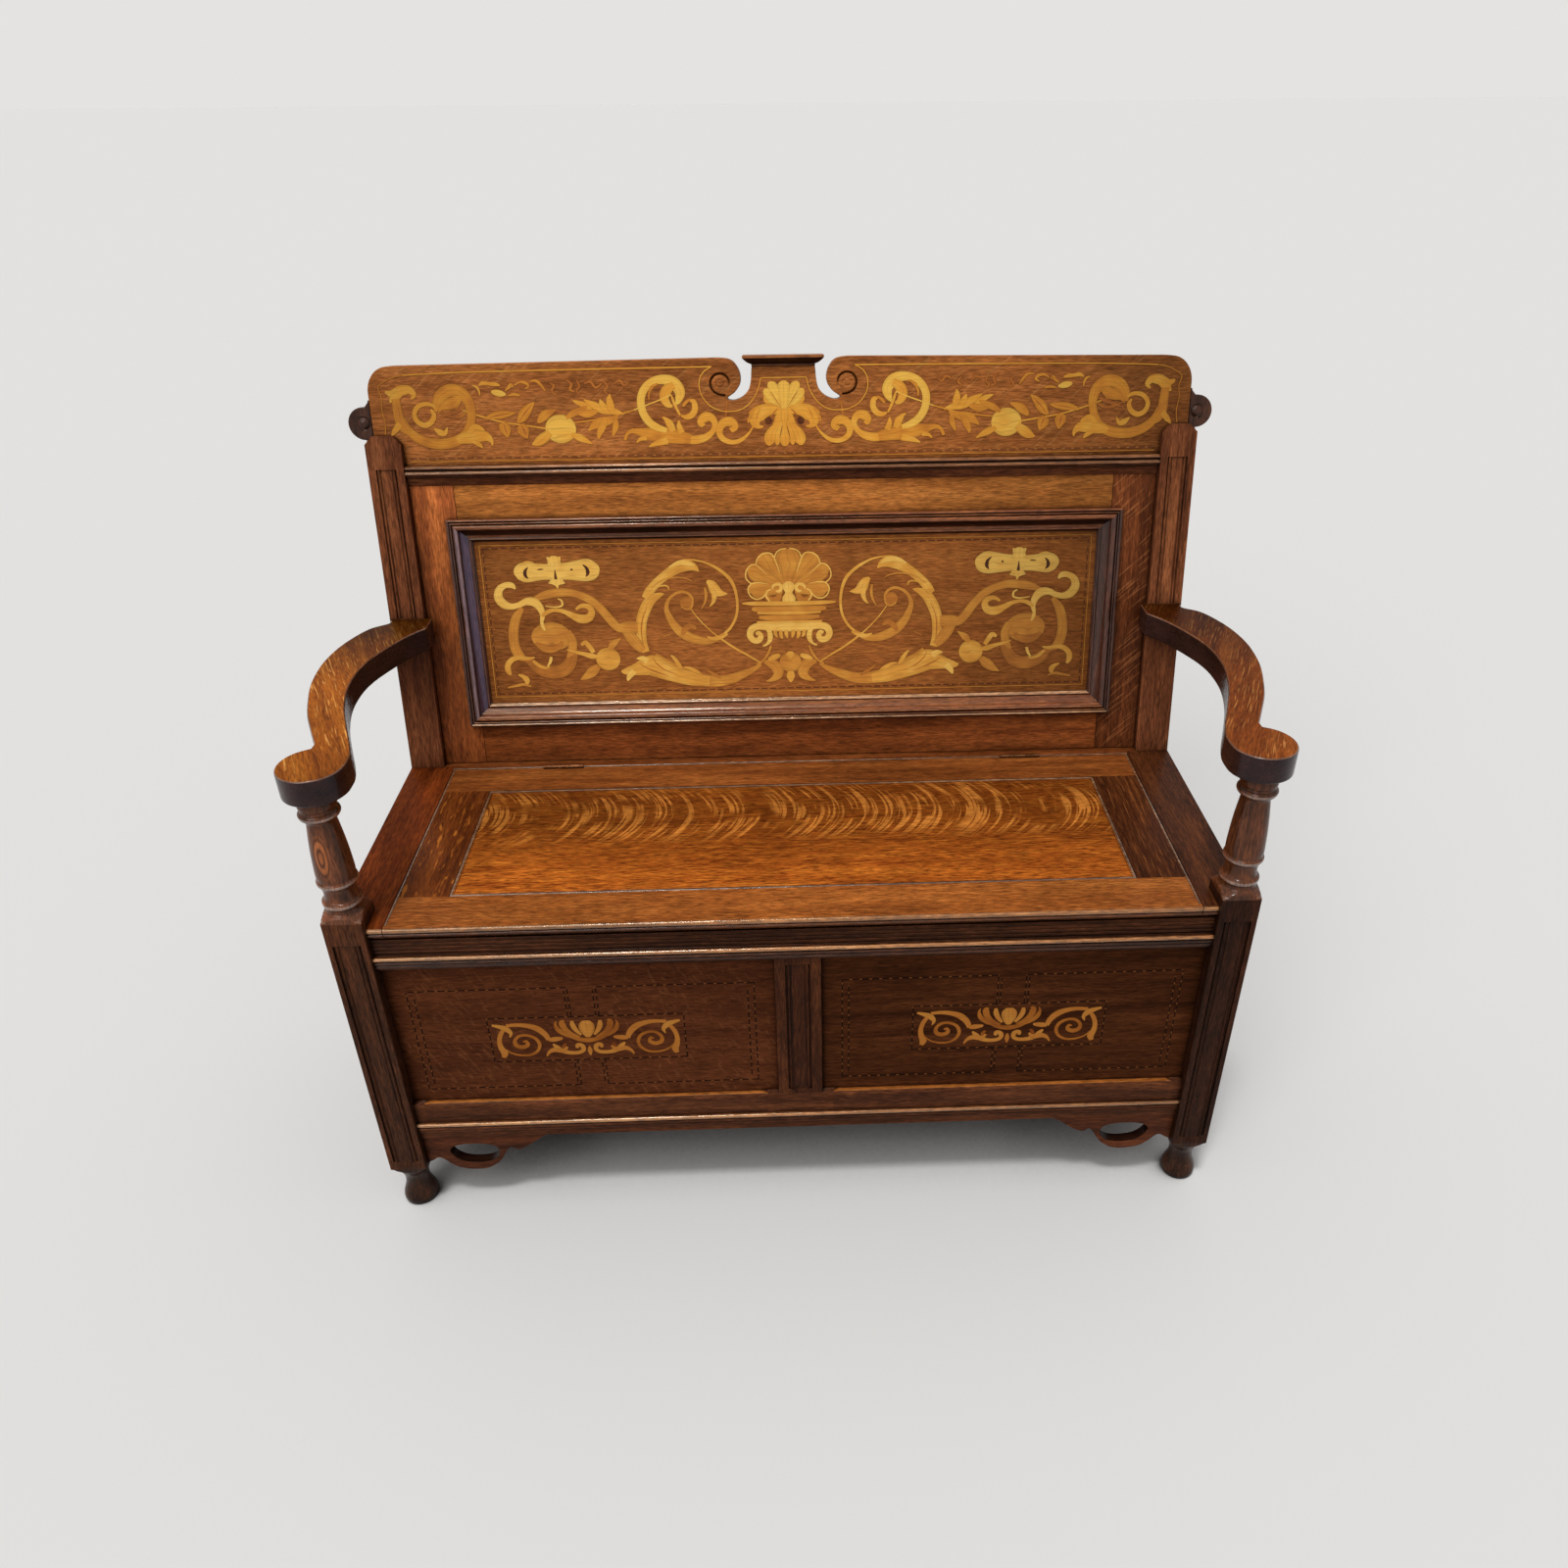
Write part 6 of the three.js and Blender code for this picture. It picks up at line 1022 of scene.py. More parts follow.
# Strokes of the left half, in mm from the middle line and up the slope from the seat, with half widths
panel_half = [
    (MID, [(-6, 240, 5), (-15, 256, 8), (-24, 268, 12), (-30, 275, 13), (-34, 281, 10), (-37, 285, 4)]),
    (MID, [(-8, 240, 5), (-22, 250, 8), (-35, 257, 11), (-43, 261, 12), (-49, 264, 9), (-54, 266, 3)]),
    (MID, [(-8, 236, 5), (-22, 238, 8), (-36, 238, 11), (-43, 238, 11.5), (-49, 238, 9), (-53.5, 237, 3)]),
    (PALE, [(-2, 292, 0.9), (-9, 291, 0.9), (-15, 287, 0.9), (-18, 280, 0.9)]),
    (PALE, [(-18, 280, 0.9), (-23, 286, 0.9), (-32, 286, 0.9), (-40, 280, 0.9), (-43, 271.5, 0.9)]),
    (PALE, [(-43, 271.5, 0.9), (-50, 270.5, 0.9), (-56, 263, 0.9), (-56.5, 253, 0.9), (-50, 246, 0.9)]),
    (PALE, [(-50, 246, 0.9), (-54.5, 239, 0.9), (-52, 230, 0.9), (-45, 225, 0.9), (-36, 226.5, 0.9),
            (-31, 232, 0.9)]),
    (PALE, [(-18, 280, 0.8), (-14.5, 270, 0.7), (-11.5, 260, 0.3)]),
    (PALE, [(-43, 271.5, 0.8), (-35, 264, 0.7), (-28, 258, 0.3)]),
    (PALE, [(-50, 246, 0.8), (-40, 247, 0.7), (-27, 245, 0.3)]),
    (RED, [(-31, 229, 3), (-26, 224.5, 4), (-20, 223, 4.5), (-14, 226, 4.5), (-13, 232, 3.5)]),
    (PALE, [(-22, 238, 1), (-20, 243, 2), (-13, 244.5, 2.2), (-10, 240, 2.4), (-13, 235, 2), (-17, 236, 1)]),
    (PALE, [(-26, 222, 0.9), (-30, 228, 1), (-29, 235, 1), (-24, 238, 0.8)]),
    (HONEY, [(-63, 219.5, 1), (-50, 219, 2.6), (-25, 218.5, 3), (0, 218.5, 3)]),
    (MID, [(-50, 212, 2), (-44, 211, 3.6), (-22, 211, 4), (0, 211, 4)]),
    (HONEY, [(-43, 206, 1.6), (-22, 205.5, 2.2), (0, 205.5, 2.2)]),
    (MID, [(-41, 200, 2.5), (-22, 199, 4), (0, 199, 4)]),
    (HONEY, [(-44, 193.5, 1.4), (-22, 193, 1.8), (0, 193, 1.8)]),
    (PALE, [(0, 186, 6.5), (-15, 186, 6), (-30, 187, 5.5), (-42, 187.5, 5), (-51, 184, 5), (-54, 176, 4.6),
            (-50, 169, 4.2), (-43, 168, 4.2), (-39.5, 173, 4), (-42, 178, 3.4), (-46, 177, 2)]),
    (PALE, [(-31, 185, 2), (-27, 178, 3.6), (-27, 169, 3.4), (-31, 163, 1.8), (-37, 160, 1)]),
    (HONEY, [(-20, 182, 2.4), (-19, 176, 2.4), (-17, 172, 1)]),
    (HONEY, [(-12, 182, 2.4), (-12, 175, 2.6), (-10, 170, 1)]),
    (HONEY, [(-5, 182, 2.4), (-4.5, 176, 2.6), (-3, 171, 1)]),
    (MID, [(-26, 160, 1.4), (-30, 150, 1.7), (-37, 140, 1.6), (-46, 134, 1.5)]),
    (MID, [(-36, 137, 2), (-28, 136, 6), (-19, 130, 8), (-17.5, 120, 7), (-25, 113, 3.5), (-34, 110, 1)]),
    (HONEY, [(-30, 141, 2), (-22, 144, 4), (-14, 147, 2.5)]),
    (MID, [(-40, 134, 2), (-55, 125.5, 4.5), (-75, 117, 6.5), (-95, 112, 7.5), (-115, 113, 8.5), (-135, 117, 10),
           (-155, 126, 10.5), (-172, 136, 9.5), (-186, 148, 7)]),
    (HONEY, [(-148, 126, 1.5), (-152, 135, 3), (-158, 145, 2.4), (-163, 150, 0.8)]),
    (HONEY, [(-120, 118, 1.5), (-128, 125, 3), (-138, 131, 2.2), (-146, 133, 0.8)]),
    (RED, [(-96, 116, 1.2), (-104, 121, 2.6), (-113, 127, 1.6), (-118, 132, 0.6)]),
    (HONEY, [(-112, 112, 7), (-130, 115, 9.5), (-148, 119.5, 10.5), (-173, 128, 12), (-188, 135.5, 15),
             (-200, 134, 12), (-211, 131, 8.6), (-221, 129, 6), (-228, 128.5, 3.6), (-231.5, 130, 1)]),
    (PALE, [(-214, 129, 5), (-220, 123, 4.2), (-223, 117.5, 2.4), (-223.5, 115, 0.8)]),
    (PALE, [(-195, 142, 5), (-201, 146, 4), (-207, 146.5, 2), (-209.5, 145.5, 0.6)]),
    (RED, [(-188, 149, 0.3), (-183, 139, 0.8), (-172, 129.5, 0.8), (-156, 122.5, 0.3)]),
    (RED, [(-206, 139, 0.3), (-197, 133, 0.8), (-184, 127, 0.8), (-168, 121, 0.3)]),
    (HONEY, [(-196.5, 155, 5.5), (-200, 168, 6.4), (-201, 182, 7), (-199.5, 198, 7.4), (-194, 213, 7.8),
             (-187.5, 224, 7.2), (-180, 230, 5.6), (-172, 233.5, 3.2), (-167, 234.5, 0.8)]),
    (RED, [(-199, 166, 0.3), (-200.5, 182, 0.8), (-198, 200, 0.8), (-191, 216, 0.3)]),
    (HONEY, [(-193, 229, 4.8), (-186.5, 238, 6.2), (-176, 249.5, 6), (-162, 260.5, 6.4), (-148, 268.5, 7.6),
             (-136, 272.5, 8.2), (-126, 270, 5.6), (-119, 264, 0.8)]),
    (PALE, [(-158, 270, 1), (-146, 275.5, 3), (-134, 275.5, 4), (-124, 271, 1)]),
    (HONEY, [(-138, 280, 0.8), (-124, 279, 1.1), (-110, 275.5, 1.4), (-97, 269, 2), (-86, 261, 2.3),
             (-77, 251, 2.5), (-71.5, 237, 2.1), (-69.5, 220, 1.9), (-71.5, 203, 1.9), (-79, 188, 1.9),
             (-89, 178, 1.9)]),
    (MID, [(-88, 179, 1.5), (-100, 171.5, 4.2), (-114, 168.5, 5), (-130, 172, 6.4), (-145, 180, 6.6),
           (-156, 192, 5.6), (-162.5, 205, 4.4), (-165, 216, 3.2), (-161, 227, 2.5), (-152, 234.5, 2.1),
           (-142, 237, 2.1), (-133, 233, 2.1), (-129, 225, 2)]),
    (HONEY, [(-84, 178, 1), (-94, 173, 2.6), (-105, 172, 2.6), (-112, 175, 0.8)]),
    (RED, [(-126, 186, 2), (-134, 190, 4), (-141, 186, 4), (-146, 178, 2)]),
    disc(RED, -138, 222, 9, 9.5),
    (MID, [(-129, 225, 1.4), (-131, 216, 1.6), (-138, 213, 1.4), (-145, 217, 1.2)]),
    (HONEY, [(-109, 251, 2), (-103, 246, 6), (-98, 238, 7.5), (-91, 234, 4.5), (-82, 233, 0.6)]),
    (HONEY, [(-103, 240, 3.4), (-100, 231, 3.6), (-102, 222, 2.4), (-107, 216, 0.8)]),
    (MID, [(-112, 242, 1.6), (-111, 232, 2), (-113, 222, 1.6), (-118, 213, 0.6)]),
    (MID, [(-184, 243, 0.8), (-168, 253, 1.2), (-151, 256.5, 1.2), (-137, 255, 1), (-129, 251, 0.5)]),
    (HONEY, [(-180, 242, 0.8), (-170, 245.5, 1.1), (-162, 245, 1.3), (-160, 240, 0.9)]),
    (HONEY, [(-132, 213, 0.7), (-122, 199, 0.8), (-106, 182, 0.9), (-89, 168, 1.5), (-72, 156, 1.5),
             (-60, 149, 1.4), (-49, 142, 1.2), (-40, 136, 1)]),
    (RED, [(-160, 180, 0.6), (-170, 176, 1), (-180, 171, 0.8)]),
    (MID, [(-221, 188, 7), (-214.5, 175.5, 7.8), (-206.5, 165, 7.4), (-200, 157, 5)]),
    (MID, [(-205, 190, 8), (-212, 190, 8), (-220, 190, 8), (-231, 190, 6), (-239, 198, 6), (-251, 214, 5.8),
           (-264, 227, 5.6), (-279, 235, 5.2), (-295, 239, 5.5), (-311, 238.5, 6), (-325, 236, 5.5),
           (-337, 232, 3.6), (-344, 229, 1.5)]),
    (MID, [(-357, 219, 3), (-366, 207, 6), (-371, 193, 6.6), (-373, 178, 6.8), (-371.5, 163, 7), (-366, 150, 7)]),
    (RED, [(-367, 150, 4), (-356, 147, 5), (-344, 136, 8), (-330, 130, 9), (-316, 130, 9), (-304, 137, 9),
           (-297, 149, 7.5), (-295, 163, 6), (-300, 171, 3)]),
    disc(MID, -322, 179, 27, 20),
    (MID, [(-300, 186, 5), (-294, 172, 6), (-297, 158, 5), (-303, 150, 2)]),
    (RED, [(-344, 172, 2), (-336, 165, 5), (-324, 162, 6), (-312, 166, 4), (-308, 172, 2)]),
    (HONEY, [(-347, 151, 1), (-356, 149.5, 2.4), (-367, 151, 3), (-377, 149, 3.6), (-384, 142, 4),
             (-385, 134, 4), (-382, 127, 2)]),
    (HONEY, [(-350, 146, 2), (-342, 139, 2.4), (-334, 136, 1.6), (-328, 137, 0.8)]),
    (PALE, [(-331, 138, 1.2), (-327, 144, 2), (-325, 151, 2)]),
    (HONEY, [(-372, 127, 1), (-365, 124, 3), (-361, 119, 4), (-362, 113, 2)]),
    (MID, [(-388, 109, 1), (-378, 111, 1.8), (-366, 113, 2), (-356, 110, 1)]),
    (PALE, [(-341, 226, 3), (-351, 227, 3.6), (-361, 223.5, 3.8), (-371, 221.5, 4.2), (-381, 225, 6),
            (-387, 234, 6), (-385, 244, 5), (-377, 250, 4), (-368, 250, 4), (-363.5, 245, 1.2)]),
    (PALE, [(-362, 224.5, 2), (-350, 228, 5), (-340, 226.5, 6), (-333.5, 219, 5), (-331, 209, 3.6),
            (-333, 200, 2.4), (-332, 193, 2.4), (-329.5, 188, 1)]),
    (HONEY, [(-331, 207, 2), (-325, 212.5, 3), (-315, 215.5, 2.6), (-303, 213.5, 3), (-292, 208, 4.4),
             (-281, 203, 6), (-270, 204, 5.6), (-265, 212, 4.6), (-269, 219, 3.8), (-278, 220.5, 3),
             (-286, 216, 1.6)]),
    (PALE, [(-326, 221, 0.6), (-313, 219.5, 1), (-304, 221.5, 1.4), (-304, 228, 1.4), (-309, 231, 0.7)]),
    disc(HONEY, -248, 146.5, 16.5, 16),
    (MID, [(-246, 160, 2.5), (-240, 167, 5), (-232, 173, 2), (-229, 175, 0.8)]),
    (MID, [(-288, 118, 0.8), (-279, 123, 5), (-270, 130, 7), (-262, 137, 4)]),
    (HONEY, [(-283, 167, 2), (-277, 170, 3.4), (-272, 164, 3.6), (-267, 156, 3)]),
    (HONEY, [(-303, 161, 0.8), (-291, 157, 2), (-281, 154.5, 2.8), (-270, 151, 4), (-262, 150, 2)]),
    (PALE, [(-363, 266, 2), (-360, 266.5, 8), (-353, 267, 12.5), (-345, 267, 13.5), (-335, 267, 11.8),
            (-322, 267, 10.5), (-308, 267.3, 10.8), (-294, 267.5, 11.5), (-280, 268, 13.5), (-268, 268.5, 15),
            (-259, 268.5, 13), (-252, 269, 7), (-250, 269, 1)]),
    (PALE, [(-309, 274, 10), (-309, 281, 8.5), (-309, 285, 8.5), (-309, 288, 3)]),
    (PALE, [(-316, 283, 2), (-317.5, 287, 1.2)]), (PALE, [(-302, 283, 2), (-301, 287, 1.2)]),
    (PALE, [(-308, 260, 8), (-308, 255, 9), (-308, 251.5, 11), (-308, 249, 3), (-307.5, 245, 1)]),
    (DARK, [(-344, 273.5, 0.5), (-348, 269, 2), (-348.5, 263, 2.2), (-345, 258.5, 0.5)]),
    (DARK, [(-272, 276, 0.5), (-267, 271, 2), (-266, 264.5, 2.4), (-269, 259.5, 0.5)]),
    (DARK, [(-309, 270, 0.4), (-309, 262, 1.6), (-308.7, 257, 2.2)]),
    (DARK, [(-332, 270, 0.6), (-328, 270.5, 1), (-324, 270.5, 0.5)]), disc(DARK, -287, 269.5, 1.6, 1.4),
    (HONEY, [(-352, 279, 0.7), (-345, 281, 0.9), (-336, 279.5, 0.7)]),
]
panel_middle = [
    (MID, [(0, 238, 6), (0, 255, 10), (0, 270, 15), (0, 280, 16.5), (0, 287, 13), (0, 291.5, 5)]),
    (PALE, [(0, 221, 9), (0, 227, 8.5), (0, 233, 5), (0, 239, 8), (0, 244, 8), (0, 248, 3)]),
    disc(MID, 0, 137, 15, 14),
    (HONEY, [(0, 152, 3), (0, 147, 6), (0, 142, 1)]),
    (HONEY, [(0, 124, 4), (0, 118, 6), (0, 112, 4), (0, 108, 1)]),
]
BORDER_X, BORDER_V = 405, (96, 303)
low, high = BORDER_V
x, inner = BORDER_X, 4
border = [
    stringing(MID, 0.5, (-x, low), (x, low)), stringing(MID, 0.5, (-x, high), (x, high)),
    stringing(MID, 0.5, (-x, low), (-x, high)), stringing(MID, 0.5, (x, low), (x, high)),
    stringing(CHEQUER, 0.55, (-x + inner, low + inner), (x - inner, low + inner)),
    stringing(CHEQUER, 0.55, (-x + inner, high - inner), (x - inner, high - inner)),
    stringing(CHEQUER, 0.55, (-x + inner, low + inner), (-x + inner, high - inner)),
    stringing(CHEQUER, 0.55, (x - inner, low + inner), (x - inner, high - inner)),
]
FIELD_D = 13
shells, marks = strips(border + panel_middle[:1] + both_hands(panel_half) + panel_middle[1:],
                       lambda u, v, d: slope(u, FIELD_D - d, v))
make("panel_marquetry", shells, inlay, veneer=marks, sharp=60)


# Crest
# A shaped board on top of the frame, its ends lapped on the stiles, rising to a neck with an urn's cap
# between two carved volutes. A moulding covers its lower joint and a turned scroll ear ends it each side.

# Quarter-sawn oak, planed and waxed: the board is golden brown with slanting flecks and painted darker to the right
# as painted shade, its moulding bright on top and painted darker below as painted shade, the cap glossy with its
# undersides painted dark as painted shade, and the turned ears nearly black
oak_crest = oak("crest_oak", "slope x", "#d08646", "#ac6632", "#6c3818", rough=0.3, streak=0.6, bands=(-0.2, 1.2),
                mottle=0.3, hollow=12, ray=(2.6, 34, 0.61, 0.25), ray_skew=radians(-50), fleck="#d89858",
                fade=("X", -80, (300, 560), (1.05, 0.55)))
oak_moulding = oak("crest_oak_moulding", "slope x", "#c08450", "#8c5632", "#3a1b0e", rough=0.2, coat=0.5,
                   polish=0.4, sheen="#ffe2bc", mottle=0.3, hollow=10)
oak_moulding_shade = oak("painted_shade_crest_moulding", "slope x", "#8a5232", "#5e3420", "#2c150c", polish=0.02, mottle=0.3,
                nook_size=3, hollow=6)
oak_cap = oak("cap_oak", "slope x", "#ca8044", "#9c5c30", "#4c2512", rough=0.26, coat=0.3, mottle=0.25, nook_size=12)
oak_ear = oak("ear_oak", "slope z", "#6f4530", "#48291b", "#20110c", rough=0.26, coat=0.4, mottle=0.25)
CREST_D, CREST_T, FRAME_RISE, CREST_TOP, CREST_HALF = 10, 22, 394, 531.5, 520
LEDGE, STEP_V, STILE_X0 = 438.5, 408.8, 485
NECK_HALF, NECK_TOP, SLOT_LOW = 39.7, 520.8, 480.8
VOLUTE_X, VOLUTE_V, VOLUTE_W, VOLUTE_H, SLOT_SHARE = 80, 500.5, 26, 31, 0.34
CORNER, FALL, FIT = 33, 4.5, 0.3
# Outlines as shares: of the slot beside the neck, of a volute from its middle, and of the rounded corner
slot_edge = [(0, 1), (0.02, 0.85), (0.05, 0.58), (0.14, 0.32), (0.36, 0.12), (0.64, 0.01), (0.86, -0.01),
             (1.01, 0.035)]
volute_edge = [
    (-0.325, -0.57), (-0.42, -0.5), (-0.56, -0.42), (-0.72, -0.32), (-0.94, -0.06), (-1, 0.24), (-0.9, 0.56),
    (-0.66, 0.84), (-0.36, 0.96), (0.1, 1),
]
corner_edge = [(1.1, -0.006), (0.86, 0.006), (0.58, 0.06), (0.34, 0.2), (0.17, 0.4), (0.075, 0.58), (0.015, 0.8),
               (0, 0.95), (0, 1.1)]
slot_x = VOLUTE_X - SLOT_SHARE * VOLUTE_W
throat = curve(slot_edge, 30) * (slot_x - NECK_HALF, NECK_TOP - SLOT_LOW) + (NECK_HALF, SLOT_LOW)
scroll = curve(volute_edge, 50)
scroll[:, 1] *= np.where(scroll[:, 1] > 0, CREST_TOP - VOLUTE_V, VOLUTE_H)
scroll = scroll * (VOLUTE_W, 1) + (VOLUTE_X, VOLUTE_V)
shoulder = curve(corner_edge, 40) * (-CORNER, -CORNER) + (CREST_HALF, CREST_TOP - FALL)
feet = [(CREST_HALF, LEDGE), (STILE_X1, LEDGE), (STILE_X1, STEP_V), (STILE_X0 - FIT, STEP_V),
        (STILE_X0 - FIT, FRAME_RISE + FIT)]
half = np.concatenate([throat, scroll, shoulder, feet])
crest_edge = np.concatenate([half, half[::-1] * (-1, 1)])
WELL_R, GROOVE_W, GROOVE_D = 16.7, 1.15, 3.2


def volute(hand):
    """Depth of a carved volute. The groove follows the radius 12.4 + 3.4 e^(-13 w) - 0.9 w, for w from 0 at the tip
    of the slot to 1 once round, and runs out at 0.93. Inside it are a fine ring at radius 4.6 and a disc that
    swells 0.8 mm towards its middle; everything fades to the face at the rim."""
    def depth(r, turn):
        wound = np.mod(hand * (turn - np.pi / 2) + 1.144 * np.pi, 2 * np.pi) / (2 * np.pi)
        path = 12.4 + 3.4 * np.exp(-13 * wound) - 0.9 * wound
        groove = GROOVE_D * np.exp(-(((r - path) / GROOVE_W) ** 2)) * np.clip((0.93 - wound) * 5, 0, 1)
        eye = 0.8 * np.exp(-(((r - 4.6) / 1.1) ** 2))
        return (groove + eye - 0.8 * np.clip(1 - r / 10, 0, 1) ** 0.5) * np.clip((WELL_R - r) / 0.8, 0, 1)
    return depth


wells = [(sign * VOLUTE_X, VOLUTE_V, WELL_R, volute(sign)) for sign in (1, -1)]
make("shaped_crest", [sawn(crest_edge, lambda u, v, d: slope(u, CREST_D + d, v), CREST_T, ease=1.4, relief=wells)],
     oak_crest, stands_for=["crest_board"], sharp=48)

moulding_face = [
    (0, 0.06), (0.1, 0.2), (0.28, 0.34), (0.4, 0.46), (0.44, 0.6), (0.47, 0.62), (0.49, 0.86), (0.55, 0.98),
    (0.605, 1.02), (0.66, 0.98), (0.72, 0.86), (0.74, 0.62), (0.76, 0.62), (0.78, 0.8), (0.84, 0.95), (0.89, 0.985),
    (0.92, 0.95), (0.97, 0.8), (1, 0.6),
]
MOULD_LOW, MOULD_H, MOULD_PROUD = 381.3, 25, 8.5
rows = np.concatenate([[(0, 0)], curve(moulding_face, 60), [(1, 0)]]) * (MOULD_H, MOULD_PROUD)
grid = moulded(rows, (-STILE_X0 + FIT, FRAME_D, MOULD_LOW), (STILE_X0 - FIT, FRAME_D, MOULD_LOW), UP, TOWARD)
make("crest_rail_moulding", [tube(slope(grid[..., 0], grid[..., 1], grid[..., 2]))], oak_moulding,
     stands_for=["crest_moulding"], sharp=45,
     also=[(oak_moulding_shade, lambda at, way: way[:, 2] < -0.05), (oak_shaded, lambda at, way: way[:, 2] < -0.4)])

CAP_OVER, CAP_H = 11.3, 13
cap_edge = [(0.04, 0), (0.04, 0.16), (0.2, 0.2), (0.5, 0.34), (0.8, 0.55), (0.97, 0.7), (1, 0.76), (1, 0.9),
            (0.96, 0.98), (0.9, 1)]
over = curve(cap_edge, 40) * (CAP_OVER, CAP_H)
around = np.array([(-1, 0), (1, 0), (1, 1), (-1, 1)])
u = around[:, 0] * (NECK_HALF + over[:, :1])
d = np.where(around[:, 1], CREST_D + CREST_T + over[:, :1], CREST_D - over[:, :1])
make("urn_top", [tube(slope(u, d, NECK_TOP + FIT + over[:, 1:] + 0 * u))], oak_cap, stands_for=["urn_cap"],
     sharp=30, also=[(oak_shaded, lambda at, way: way[:, 2] < -0.3)])

EAR_X, EAR_V, EAR_R, EAR_T, EAR_D, EAR_WELL_R, EAR_WELL_OUT = 529.5, 458.8, 20, 23, 10.3, 8.8, 0.6
turn = np.linspace(-np.pi / 2, np.pi * 0.54, 40)
bow = np.stack([EAR_X + EAR_R * np.cos(turn), EAR_V + EAR_R * np.sin(turn)], -1)
neck = curve([bow[-1], ((CREST_HALF + EAR_X) / 2, EAR_V + EAR_R + 2.4), (CREST_HALF + FIT, EAR_V + EAR_R + 8)], 8)
ear_edge = np.concatenate([[(CREST_HALF + FIT, EAR_V - EAR_R)], bow, neck[1:]])


def ear_face(r, turn):
    """Depth of a scroll ear: a groove 1.7 mm deep that winds in once from radius 8.8 to 7, round a button
    of radius 5.4, an ellipse in section, that stands 1.8 mm proud."""
    wound = np.mod(turn + np.pi * 0.4, 2 * np.pi) / (2 * np.pi)
    groove = 1.7 * np.exp(-(((r - EAR_WELL_R + 1.8 * wound) / 1.1) ** 2)) * np.clip((1 - wound) * 9, 0, 1)
    return groove - 1.8 * np.clip(1 - (r / 5.4) ** 2, 0, 1) ** 0.5


for hand, sign in (("right", 1), ("left", -1)):
    make("scroll_ear_" + hand,
         [sawn(ear_edge, lambda u, v, d: slope(sign * u, EAR_D + d, v), EAR_T, ease=1.2,
               relief=[(EAR_X + EAR_WELL_OUT, EAR_V, EAR_WELL_R, ear_face)])],
         oak_ear, stands_for=["crest_ear_" + hand], sharp=50)


# Marquetry of the crest
# A palmette and scrolls in the middle, linked scrolls and fruit sprays out to a large scroll at each end,
# inside a line of pale stringing that follows the outline and dips round the volutes.

# Veneers as on the panel, a little redder, painted darker to the right as painted shade
inlay_crest = veneer("marquetry_crest", [(0.0, "#5a2a10"), (1.0, "#ffc654"), (RED, "#be6e2c"), (MID, "#e29232"),
                                         (HONEY, "#f4a83c")],
                     ("#8a4c24", "#c27c3c"), fade=("X", -60, (200, 560), (1.05, 0.6)))
